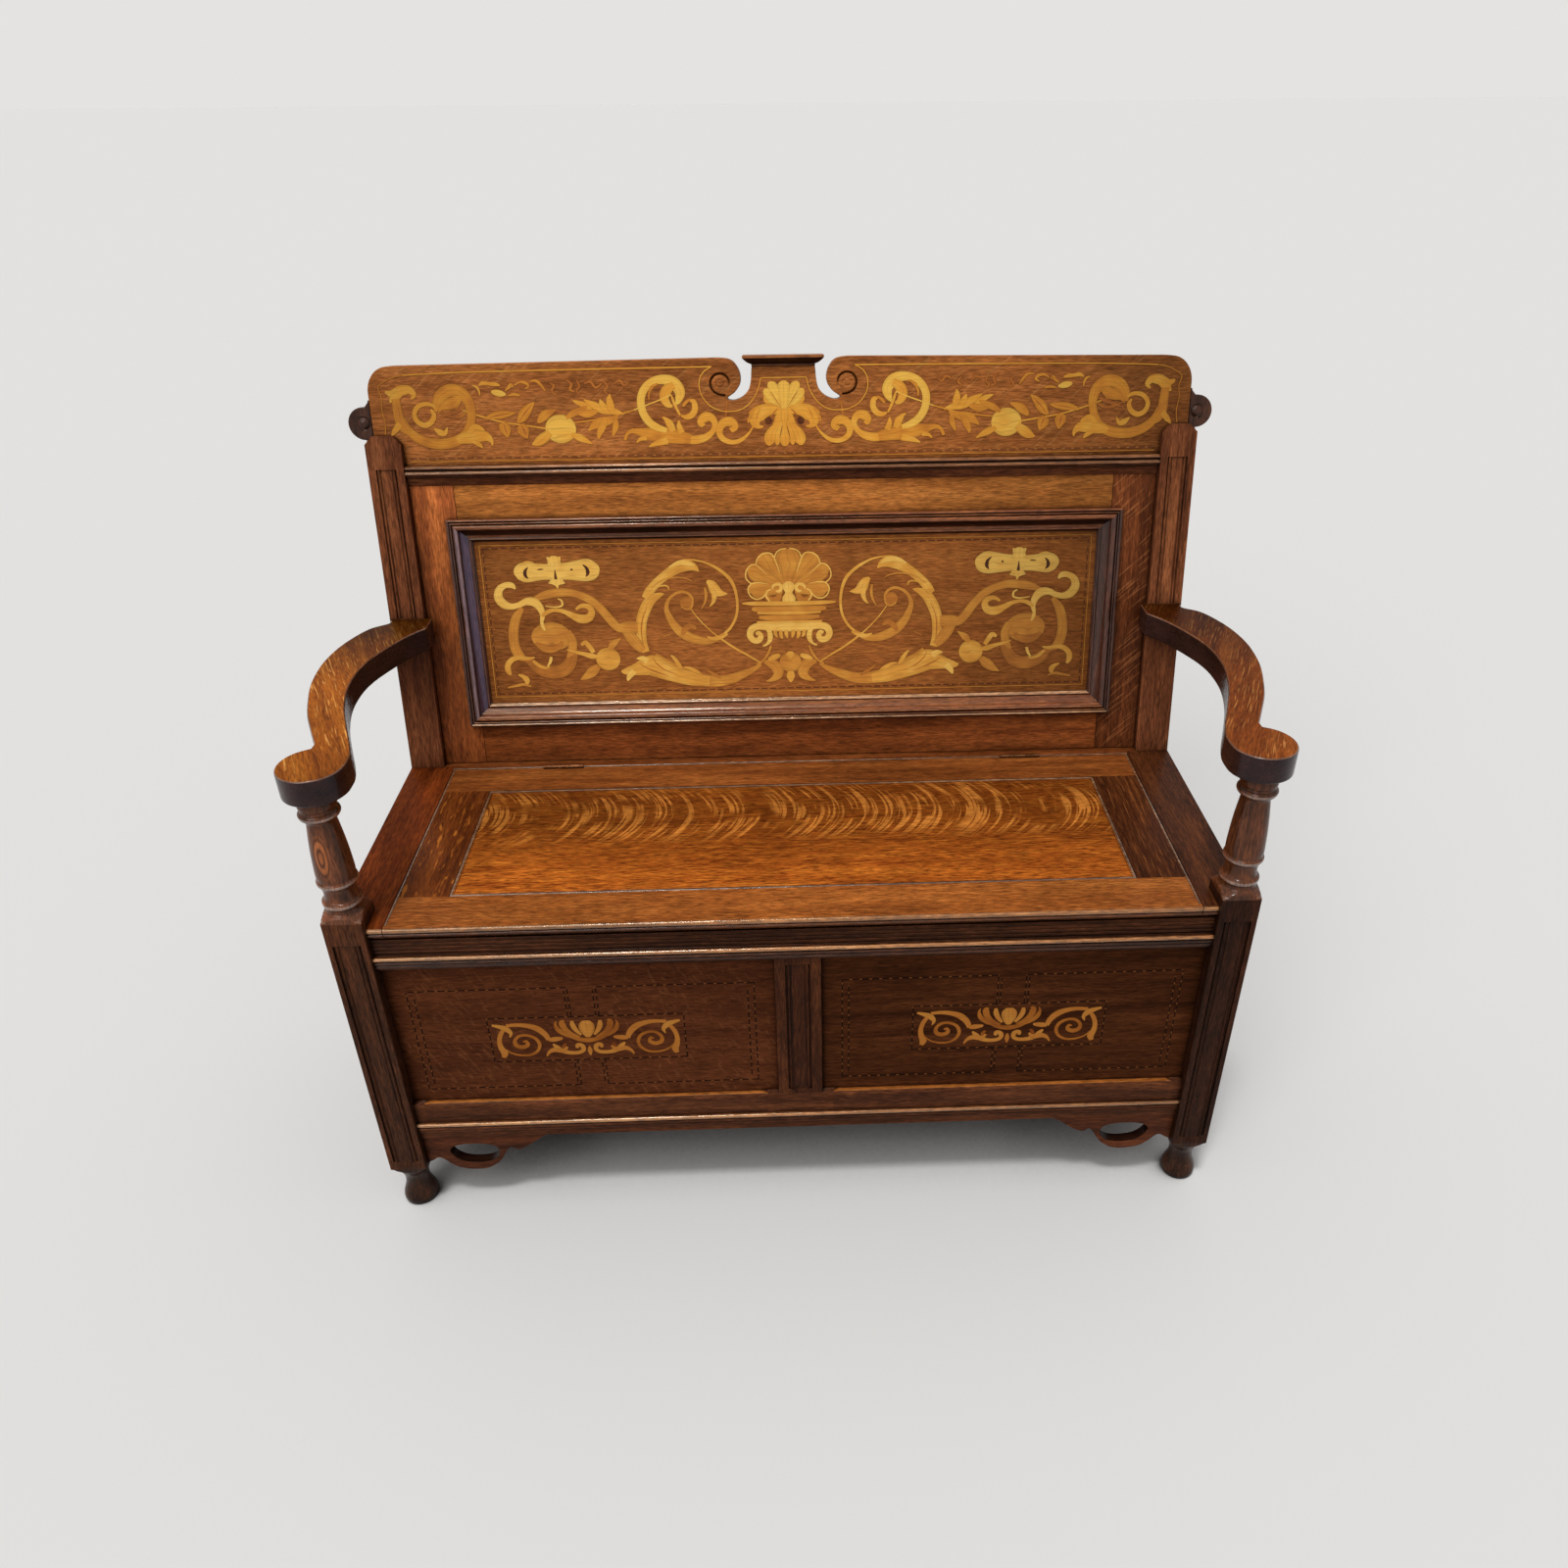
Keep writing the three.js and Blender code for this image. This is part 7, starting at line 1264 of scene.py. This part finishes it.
# Strokes of the left half, as on the panel
crest_half = [
    (HONEY, [(-5, 467, 2.5), (-12, 473, 4.2), (-18.5, 477.5, 4.4), (-23, 481, 3.6), (-25.5, 484, 1)]),
    (PALE, [(-4, 468, 3), (-9.5, 476, 5), (-15.5, 483, 6.4), (-20, 488, 6.2), (-23, 491.5, 4.4),
            (-24.6, 493.5, 1.4)]),
    (PALE, [(-3, 468, 3), (-6.5, 479, 5.4), (-10.5, 489, 6.4), (-14, 496, 6.4), (-16.5, 500, 4.8),
            (-17.6, 502.4, 1.6)]),
    (HONEY, [(0, 464, 3), (-10, 468, 5.4), (-20, 468.5, 7.6), (-30, 465, 9.4), (-36, 459, 9.6),
             (-36.5, 452.5, 6.8), (-33, 448, 3), (-27, 448, 1)]),
    (MID, [(-37, 472, 0.6), (-41, 467, 2), (-45.5, 464, 0.6)]),
    (MID, [(-41, 463, 0.6), (-45, 458, 2), (-46.5, 452, 0.6)]),
    (HONEY, [(-6, 464, 4), (-8.5, 456, 4.6), (-11, 448, 5), (-16, 440, 7.4), (-19, 432.5, 8), (-19.5, 427, 5),
             (-19, 424.5, 1.5)]),
    (MID, [(-30, 470, 0.5), (-34, 464, 1.1), (-35, 457, 0.5)]),
    (RED, [(-9, 469, 0.6), (-15, 462, 0.9), (-13, 455, 0.6)]),
    (HONEY, [(-3, 457, 2), (-6, 446, 3.2), (-8.5, 437, 4), (-9.5, 431, 3.8), (-9.8, 427, 2.6), (-9.6, 424.8, 0.8)]),
    (DARK, [(-3, 449, 0.2), (-4.6, 442, 0.5), (-6, 435, 0.7), (-6.2, 431, 0.3)]), disc(DARK, -20.5, 455, 4.4, 4.6),
    (RED, [(-2.5, 472, 0.3), (-5.5, 483, 0.6), (-7.5, 494, 0.3)]),
    (RED, [(-5, 472, 0.3), (-12, 483, 0.6), (-17, 490, 0.3)]),
    (RED, [(-72, 479, 1.3), (-73.5, 468, 1.3), (-74.5, 460, 0.8)]),
    (HONEY, [(-38, 452, 0.8), (-46, 440, 1.6), (-57, 431.5, 2.7), (-69, 429.5, 3.1), (-80, 434.5, 3.7),
             (-83.5, 444, 4.5), (-78, 453, 5.4), (-69, 454.5, 6), (-64, 448.5, 5.4), (-69, 443.5, 3)]),
    (HONEY, [(-128, 434, 5), (-114, 433, 5.5), (-101, 436, 4.6), (-92, 443, 3.6), (-88.5, 452, 4), (-93, 460, 5),
             (-101, 460.5, 6), (-106, 454.5, 5.2), (-103, 449.5, 3)]),
    (MID, [(-120, 434, 6), (-136, 437, 8.5), (-152, 439, 9.5), (-168, 440.5, 8.5), (-182, 443, 5.5),
           (-193, 445, 3), (-200, 442, 2.3), (-204, 434, 2)]),
    (HONEY, [(-150, 433, 5), (-160, 430.5, 4), (-168, 428, 2.6), (-174, 425.5, 0.8)]),
    (HONEY, [(-176, 436, 3), (-184, 435, 2.4), (-189, 431, 1)]),
    (HONEY, [(-142, 444, 4), (-146, 453, 5), (-151, 459, 2.4), (-155, 461, 0.8)]),
    (HONEY, [(-131, 442, 4), (-134, 450, 3.4), (-134, 457, 1)]),
    (PALE, [(-150, 445, 3), (-162, 449, 4.5), (-172, 456, 5), (-179, 468, 5), (-180.5, 483, 5), (-175, 496, 5),
            (-164, 504.5, 5), (-150, 506.5, 6), (-138, 502.5, 7), (-131, 492, 6.8), (-133, 482, 4.4),
            (-137, 476, 1)]),
    (HONEY, [(-138, 500, 4), (-147, 494, 6.6), (-151, 485, 6), (-147, 477, 4.4), (-141, 474, 1.4)]),
    (MID, [(-158, 502, 1), (-166, 497, 2), (-170, 489, 1.4), (-170, 482, 0.5)]),
    (HONEY, [(-142, 488, 1), (-138, 476, 1.9), (-132, 463, 1.3)]),
    (HONEY, [(-131, 463, 1), (-125, 461, 3), (-118, 463, 4), (-113, 470, 4), (-114, 479, 3.5), (-119, 481, 1.6)]),
    (MID, [(-128, 474, 1.4), (-124, 479, 2.1), (-118, 483, 1.2)]),
    (PALE, [(-190, 470.5, 0.8), (-176, 475.5, 0.9), (-160, 481, 0.9), (-142, 488.3, 0.9)]),
    (HONEY, [(-203, 466, 1), (-215, 469, 4), (-228, 471, 5), (-240, 477, 4.6), (-252, 484, 0.8)]),
    (MID, [(-210, 463, 2), (-223, 458, 5), (-237, 455, 6), (-246, 449, 2.6), (-249, 446, 0.8)]),
    (HONEY, [(-224, 468, 3), (-229, 477, 4), (-232, 484, 0.8)]),
    (HONEY, [(-216, 466, 2), (-219, 475, 5), (-220, 484, 3.6), (-219, 490, 0.8)]),
    (MID, [(-226, 462, 3), (-232, 450, 5), (-236, 441, 3), (-237, 436, 0.8)]),
    (HONEY, [(-244, 470, 3), (-252, 477, 4), (-261, 481, 2.5), (-266, 483, 0.8)]),
    (MID, [(-214, 462, 2), (-214, 452, 4), (-217, 444, 2.6), (-219, 439, 0.8)]),
    (MID, [(-236, 470, 2), (-247, 467, 5), (-258, 468, 3.4), (-266, 470, 0.8)]),
    (MID, [(-190, 470.5, 0.8), (-205, 466.5, 1), (-222, 462, 1), (-250, 458, 1), (-270, 456, 0.8)]),
    disc(PALE, -284, 449, 19.5, 17.6),
    (HONEY, [(-298, 445, 4), (-306, 438.5, 6.4), (-314, 433.5, 5.4), (-322, 430.5, 0.8)]),
    (HONEY, [(-271, 442, 2.4), (-261, 438, 4.6), (-251, 433, 2.6), (-246, 430, 0.8)]),
    (MID, [(-276, 462, 2), (-266, 468, 4.4), (-254, 473, 3), (-248, 476, 0.8)]),
    (MID, [(-312, 457, 2), (-306, 463, 5.4), (-300, 467.5, 5.4), (-293, 470.5, 3), (-288, 472, 0.8)]),
    (HONEY, [(-414, 477, 0.8), (-398, 471, 1), (-382.6, 465.8, 1.2), (-356, 458.5, 1), (-324, 453.2, 1),
             (-300, 449.5, 1)]),
    (MID, [(-377, 463, 1.5), (-367, 466, 4), (-356, 467.5, 5), (-346, 468.5, 3), (-339, 470, 0.8)]),
    (MID, [(-357, 457.5, 5), (-354, 451, 7.6), (-352.5, 444.5, 5), (-352, 439.5, 0.8)]),
    (MID, [(-335, 454, 5), (-331.5, 448.5, 7.6), (-329, 442.5, 5), (-327, 438, 0.8)]),
    (MID, [(-337, 457.5, 2), (-331, 464, 6), (-326, 470.5, 6.4), (-319.5, 477, 4), (-314, 481.5, 0.8)]),
    (RED, [(-372, 464, 0.3), (-358, 467, 0.7), (-345, 469, 0.3)]),
    (RED, [(-355, 456, 0.3), (-353.5, 449, 0.7), (-352, 443, 0.3)]),
    (RED, [(-333, 454, 0.3), (-330.5, 448, 0.7), (-328.5, 442, 0.3)]),
    (RED, [(-335, 459, 0.3), (-327, 469, 0.8), (-317, 479, 0.3)]),
    (HONEY, [(-389, 503, 0.8), (-384, 501, 1.5), (-381.5, 496, 1.3), (-381, 491, 0.6)]),
    (HONEY, [(-381, 503, 1), (-375, 505.5, 2.6), (-368, 504.5, 2.2), (-361, 504, 2.6), (-355, 502.5, 1)]),
    (PALE, [(-366.5, 495, 1.4), (-361, 494, 3.8), (-354, 492.5, 3.6), (-348.5, 491.5, 1)]),
    (MID, [(-349, 496, 0.8), (-343, 501, 2.2), (-341, 503.5, 1.6), (-338.5, 500, 0.8)]),
    (MID, [(-346, 490, 0.8), (-338, 491.5, 2), (-331, 490, 0.8)]),
    (MID, [(-337, 502, 0.8), (-330, 506, 1.6), (-323, 505, 2), (-319.5, 501, 1.6), (-324, 498, 0.8)]),
    (MID, [(-317, 507, 0.8), (-309, 507, 1.8), (-303, 501, 1.8), (-299, 495, 0.8)]),
    (RED, [(-293, 505, 0.8), (-288, 501, 1.4), (-291, 495, 1.2), (-286, 490, 0.6)]),
    (RED, [(-259, 507, 0.8), (-256, 500, 1.4), (-260, 495, 1.2), (-256, 489, 0.6)]),
    (RED, [(-225, 505, 0.8), (-221, 499, 1.4), (-225, 494, 1.2), (-220, 489, 0.6)]),
    (RED, [(-272, 508, 1), (-266, 503, 1.8), (-268, 496, 1.6), (-262, 494, 0.8)]),
    (RED, [(-250, 503, 1), (-242, 505, 1.6), (-236, 498, 1.4), (-228, 503, 0.8)]),
    (RED, [(-212, 503, 1), (-205, 506, 1.6), (-200, 500, 1.4), (-194, 504, 0.8)]),
    (MID, [(-480, 464, 3), (-475, 450, 5), (-464, 440, 6), (-448, 434, 6.4), (-432, 433, 6.6),
           (-416, 436.5, 6.4), (-404, 444, 6), (-397, 456, 5.6)]),
    (MID, [(-398, 453, 5.4), (-394, 468, 5.4), (-396, 484, 6.6), (-405, 494.5, 7.6), (-417, 497.5, 7.6),
           (-429, 492, 7.4), (-436, 481, 5.6), (-438, 472, 1.6)]),
    (MID, [(-406, 489, 4), (-414, 483, 7), (-423, 480, 6.4), (-431, 476, 3), (-435, 470, 0.8)]),
    (RED, [(-434, 472, 1), (-420, 466, 1.8), (-408, 466, 2), (-400, 471, 1)]),
    (HONEY, [(-443, 452, 1), (-436, 447, 4), (-430, 446, 3), (-426, 453, 0.8)]),
    (RED, [(-431, 466, 1), (-420, 470, 2.4), (-409, 474, 2.6), (-402, 477, 1)]),
    (HONEY, [(-438, 478, 2), (-447, 481.5, 2.5), (-458, 479.5, 3), (-465, 471, 3), (-463, 461, 3.1),
             (-454, 456, 3.5), (-445, 460, 3.4), (-441, 468, 3), (-444, 475, 1.4)]),
    (HONEY, [(-498, 497, 1.6), (-489, 494, 5), (-478, 498, 6.4), (-468, 498.5, 5), (-463, 492.5, 3.4),
             (-467, 487.5, 1.2)]),
    (HONEY, [(-494, 484, 1), (-488, 489, 5.4), (-479, 495, 4)]),
    (MID, [(-486, 488, 5), (-485.5, 474, 6), (-484, 461, 6.6), (-478, 451, 6.5), (-473, 445, 2)]),
    (HONEY, [(-485, 458, 4), (-492, 450, 3.6), (-497, 444, 1)]),
    (HONEY, [(-416, 437, 4), (-403, 440, 7.5), (-390, 442, 8), (-379, 441, 6), (-373, 436, 3), (-372, 430, 0.8)]),
    (HONEY, [(-400, 446, 3.5), (-392, 453, 3.8), (-384, 451, 2.4), (-380, 448, 0.8)]),
    (HONEY, [(-396, 436, 3), (-388, 431, 2.8), (-385, 427, 0.8)]),
    stringing(MID, 0.65, (-505, 445), (-503, 460), (-505, 476), (-503.5, 490), (-506, 502), (-498, 508.5),
              (-487, 513.5), (-474, 516)),
    stringing(HONEY, 0.85, (-474, 516), (-400, 518.5), (-250, 520), (-90, 521)),
    stringing(HONEY, 0.7, (-90, 521), (-100, 515), (-105.8, 505), (-105.8, 493), (-101.7, 483.3), (-93.3, 474),
              (-81.7, 468.5), (-70, 467), (-56.7, 468.5), (-45, 475), (-36.7, 485), (-31.7, 495), (-28.6, 507)),
    stringing(HONEY, 0.7, (-28.6, 507), (0, 507)),
    stringing(CHEQUER, 0.6, (-478, 415), (0, 415)),
    stringing(MID, 0.5, (-478, 411), (0, 411)),
]
crest_middle = [
    (PALE, [(0, 466, 3), (0, 478, 5.6), (0, 490, 7.4), (0, 497, 7.6), (0, 501, 6), (0, 503.4, 2)]),
    (HONEY, [(0, 470, 2), (0, 464, 5), (0, 456, 4.6), (0, 450, 2.6), (0, 444, 3.4), (0, 434, 6.4), (0, 427, 5.4),
             (0, 423.5, 2)]),
]
shells, marks = strips(both_hands(crest_half) + crest_middle, lambda u, v, d: slope(u, CREST_D - d, v))
make("crest_marquetry", shells, inlay_crest, veneer=marks, sharp=60)


# Arms
# Sawn from 32 mm quartered oak to a double sweep: out and round from the stile, then in to a round paddle
# that is bored for the peg of the post. The top shows bright ray flecks and every edge is rubbed smooth.
ARM_BULGE, ARM_GAP, PADDLE_R, PADDLE_IN, PADDLE_BACK = 65, 4.5, 36.5, 2.5, 3
# Edges of the arm, from the stile forward and back again: (share of the way back from the post's axis, share of
# the bulge beyond it)
arm_outer = [
    (0.968, 0.25), (0.927, 0.555), (0.856, 0.77), (0.77, 0.925), (0.671, 1), (0.58, 0.985), (0.496, 0.92),
    (0.405, 0.785), (0.305, 0.6), (0.214, 0.37), (0.125, 0.13),
]
arm_inner = [
    (0.055, -0.588), (0.12, -0.477), (0.235, -0.215), (0.35, 0.023), (0.4726, 0.19), (0.585, 0.223),
    (0.671, 0.154), (0.7546, -0.015), (0.8355, -0.23), (0.8825, -0.4),
]
arm_run = SEAT_DEPTH + (ARM_TOP - SEAT_H) * np.tan(RAKE) - POST_R
arm_end_x = LID_HALF + ARM_GAP


def along_arm(shares):
    """Shares of the way back and of the bulge beyond the post's axis, to x and y on the settle."""
    shares = np.array(shares)
    return np.stack([POST_X + shares[:, 1] * ARM_BULGE, POST_R + shares[:, 0] * arm_run], -1)


paddle_x, paddle_y = POST_X - PADDLE_IN, POST_R + PADDLE_BACK
outer = curve(np.concatenate([[(STILE_X1, POST_R + arm_run)], along_arm(arm_outer)]), 90)
inner = curve(np.concatenate([[(paddle_x - PADDLE_R, paddle_y)], along_arm(arm_inner),
                              [(arm_end_x, POST_R + 0.92 * arm_run)]]), 90)
first = np.arctan2(outer[-1, 1] - paddle_y, outer[-1, 0] - paddle_x)
turn = np.linspace(first, -np.pi, 56)[1:-1]
paddle = np.stack([paddle_x + PADDLE_R * np.cos(turn), paddle_y + PADDLE_R * np.sin(turn)], -1)
arm_edge = np.concatenate([outer, paddle, inner, [(arm_end_x, POST_R + arm_run + 2)]])
# Quarter-sawn oak worn by hands: golden orange with bright flecks in front, dark towards the stile, rounded arrises
# painted pale as a painted highlight, and sawn sides that are nearly black with a cold violet tint painted on their
# shine
oak_arm_side = oak("fumed_oak_arm_side", "y", "#4c2e28", "#32201c", "#180d0c", rough=0.25, coat=0.12, polish=0.25,
                   sheen="#d0c4d8", mottle=0.2)
oak_arm_left = oak("quartered_oak_arm_left", "arm left", "#c07426", "#9a5216", "#5a2609", rough=0.3,
                   ray=(38, 2, 0.6, 0.9), fleck="#d89448", fade=("Y", 0, (210, 370), (1.0, 0.2)), coat=0.0,
                   polish=0.02, mottle=0.25)
oak_arm_right = oak("quartered_oak_arm_right", "arm right", "#aa6028", "#844014", "#461c08", rough=0.3,
                    ray=(38, 2, 0.6, 0.9), fleck="#be7c3e", fade=("Y", 0, (120, 360), (0.95, 0.25)), coat=0.0,
                    polish=0.02, mottle=0.25)


def on_arm(u, v, d):
    """The arm lies level at ARM_TOP - d, and its back end is cut where it would pass the raked stile's face."""
    z = ARM_TOP - d
    return place(u, np.minimum(v, SEAT_DEPTH + (z - SEAT_H) * np.tan(RAKE) - FIT), z)


for hand, sign, finish in (("right", 1, oak_arm_right), ("left", -1, oak_arm_left)):
    arm = sawn(arm_edge, lambda u, v, d: on_arm(u, v, d) * (sign, 1, 1), ARM_T, ease=2.2, steps=5)
    make("swept_arm_" + hand, [arm], finish, stands_for=["arm_" + hand], sharp=50,
         also=[(oak_arm_side, lambda at, way: way[:, 2] < 0.3),
               (oak_arris_highlight, lambda at, way: np.abs(way[:, 2] - 0.6) < 0.3)])


# Studio
# A pale paper floor under an even sky, two lamps in front on the left, a small one high up and a broad soft
# one lower, and the camera at standing height, looking down a little over thirty degrees.
BACKGROUND, FLOOR_PAPER, FLOOR_GREY = "#e4e3e1", "#e0dfdd", "#8c8b89"
UNDER_REACH = 250


def looked_at(tree):
    """1 for a ray from the camera, or one mirrored or refracted on its way to it, and 0 for any other."""
    path = node(tree, "LightPath", out=None)
    seen = node(tree, "Math", (path["Is Camera Ray"], path["Is Glossy Ray"]), operation="MAXIMUM")
    return node(tree, "Math", (seen, path["Is Transmission Ray"]), operation="MAXIMUM")


# Matt paper, pale and without shine, with a painted shadow close under the bench. It throws back the light of a
# grey floor, so that the undersides stay dark.
ground, tree, paper = new_finish("pale_floor")
under = node(tree, "AmbientOcclusion", {"Color": (1, 1, 1, 1), "Distance": UNDER_REACH * MM}, out="AO", samples=12)
near = node(tree, "MapRange", (under, 0.27, 0.56))
tone = node(tree, "Mix", {0: 1.0, 6: linear(FLOOR_PAPER), 7: near}, out=2, data_type="RGBA", blend_type="MULTIPLY")
shown = node(tree, "Mix", {0: looked_at(tree), 6: linear(FLOOR_GREY), 7: tone}, out=2, data_type="RGBA")
tree.links.new(shown, paper.inputs["Base Color"])
paper.inputs["Roughness"].default_value = 1.0
paper.inputs["Specular IOR Level"].default_value = 0.0
# The sheet reaches 40 metres each way, out of the picture
REACH = 40.0
sheet = bpy.data.meshes.new("floor")
corners = [(-REACH, -REACH, 0), (REACH, -REACH, 0), (REACH, REACH, 0), (-REACH, REACH, 0)]
sheet.from_pydata(corners, [], [(0, 1, 2, 3)])
sheet.materials.append(ground)
floor = bpy.data.objects.new("floor", sheet)
bpy.context.scene.collection.objects.link(floor)

world = bpy.data.worlds.new("studio")
bpy.context.scene.world = world
world.use_nodes = True
tree = world.node_tree
tree.nodes.clear()
sky = node(tree, "SeparateXYZ", {0: node(tree, "TexCoord", out="Generated")}, out=2)
level = node(tree, "MapRange", (sky, 0.0, 0.95, 0.1, 0.62))
lit = node(tree, "Background", {"Color": linear("#ffffff"), "Strength": level})
seen = node(tree, "Background", {"Color": linear(BACKGROUND), "Strength": 1.0})
node(tree, "OutputWorld", {"Surface": node(tree, "MixShader", (looked_at(tree), lit, seen))}, out=None)

# Each lamp: name, turn in degrees, strength, and how wide its disc is in degrees
for name, turn, strength, wide in (("ceiling_light", (17, 0, -25), 1.25, 8), ("window_light", (54, 0, -32), 0.95, 34)):
    lamp = bpy.data.lights.new(name, "SUN")
    lamp.energy, lamp.angle = strength, radians(wide)
    holder = bpy.data.objects.new(name, lamp)
    holder.rotation_euler = [radians(angle) for angle in turn]
    bpy.context.scene.collection.objects.link(holder)

# The camera: its place in metres, heading, pitch and roll, and the lens on a 36 mm wide picture
EYE_PLACE, HEADING, PITCH, ROLL = (0.0015, -1.32684, 1.3055), radians(1.873), radians(-31.535), radians(-0.406)
PICTURE_W, LENS, SHIFT = 36, 27.389, -0.0279
forward = np.array([np.sin(HEADING) * np.cos(PITCH), np.cos(HEADING) * np.cos(PITCH), np.sin(PITCH)])
level_right = np.array([np.cos(HEADING), -np.sin(HEADING), 0])
level_up = np.cross(level_right, forward)
right = level_right * np.cos(ROLL) + level_up * np.sin(ROLL)
up = level_up * np.cos(ROLL) - level_right * np.sin(ROLL)
lens = bpy.data.cameras.new("camera")
lens.sensor_width, lens.lens, lens.shift_x = PICTURE_W, LENS, SHIFT
camera = bpy.data.objects.new("camera", lens)
camera.matrix_world = Matrix([[right[i], up[i], -forward[i], EYE_PLACE[i]] for i in range(3)] + [[0, 0, 0, 1]])
bpy.context.scene.collection.objects.link(camera)
bpy.context.scene.camera = camera
bpy.context.scene.view_settings.view_transform = "Standard"
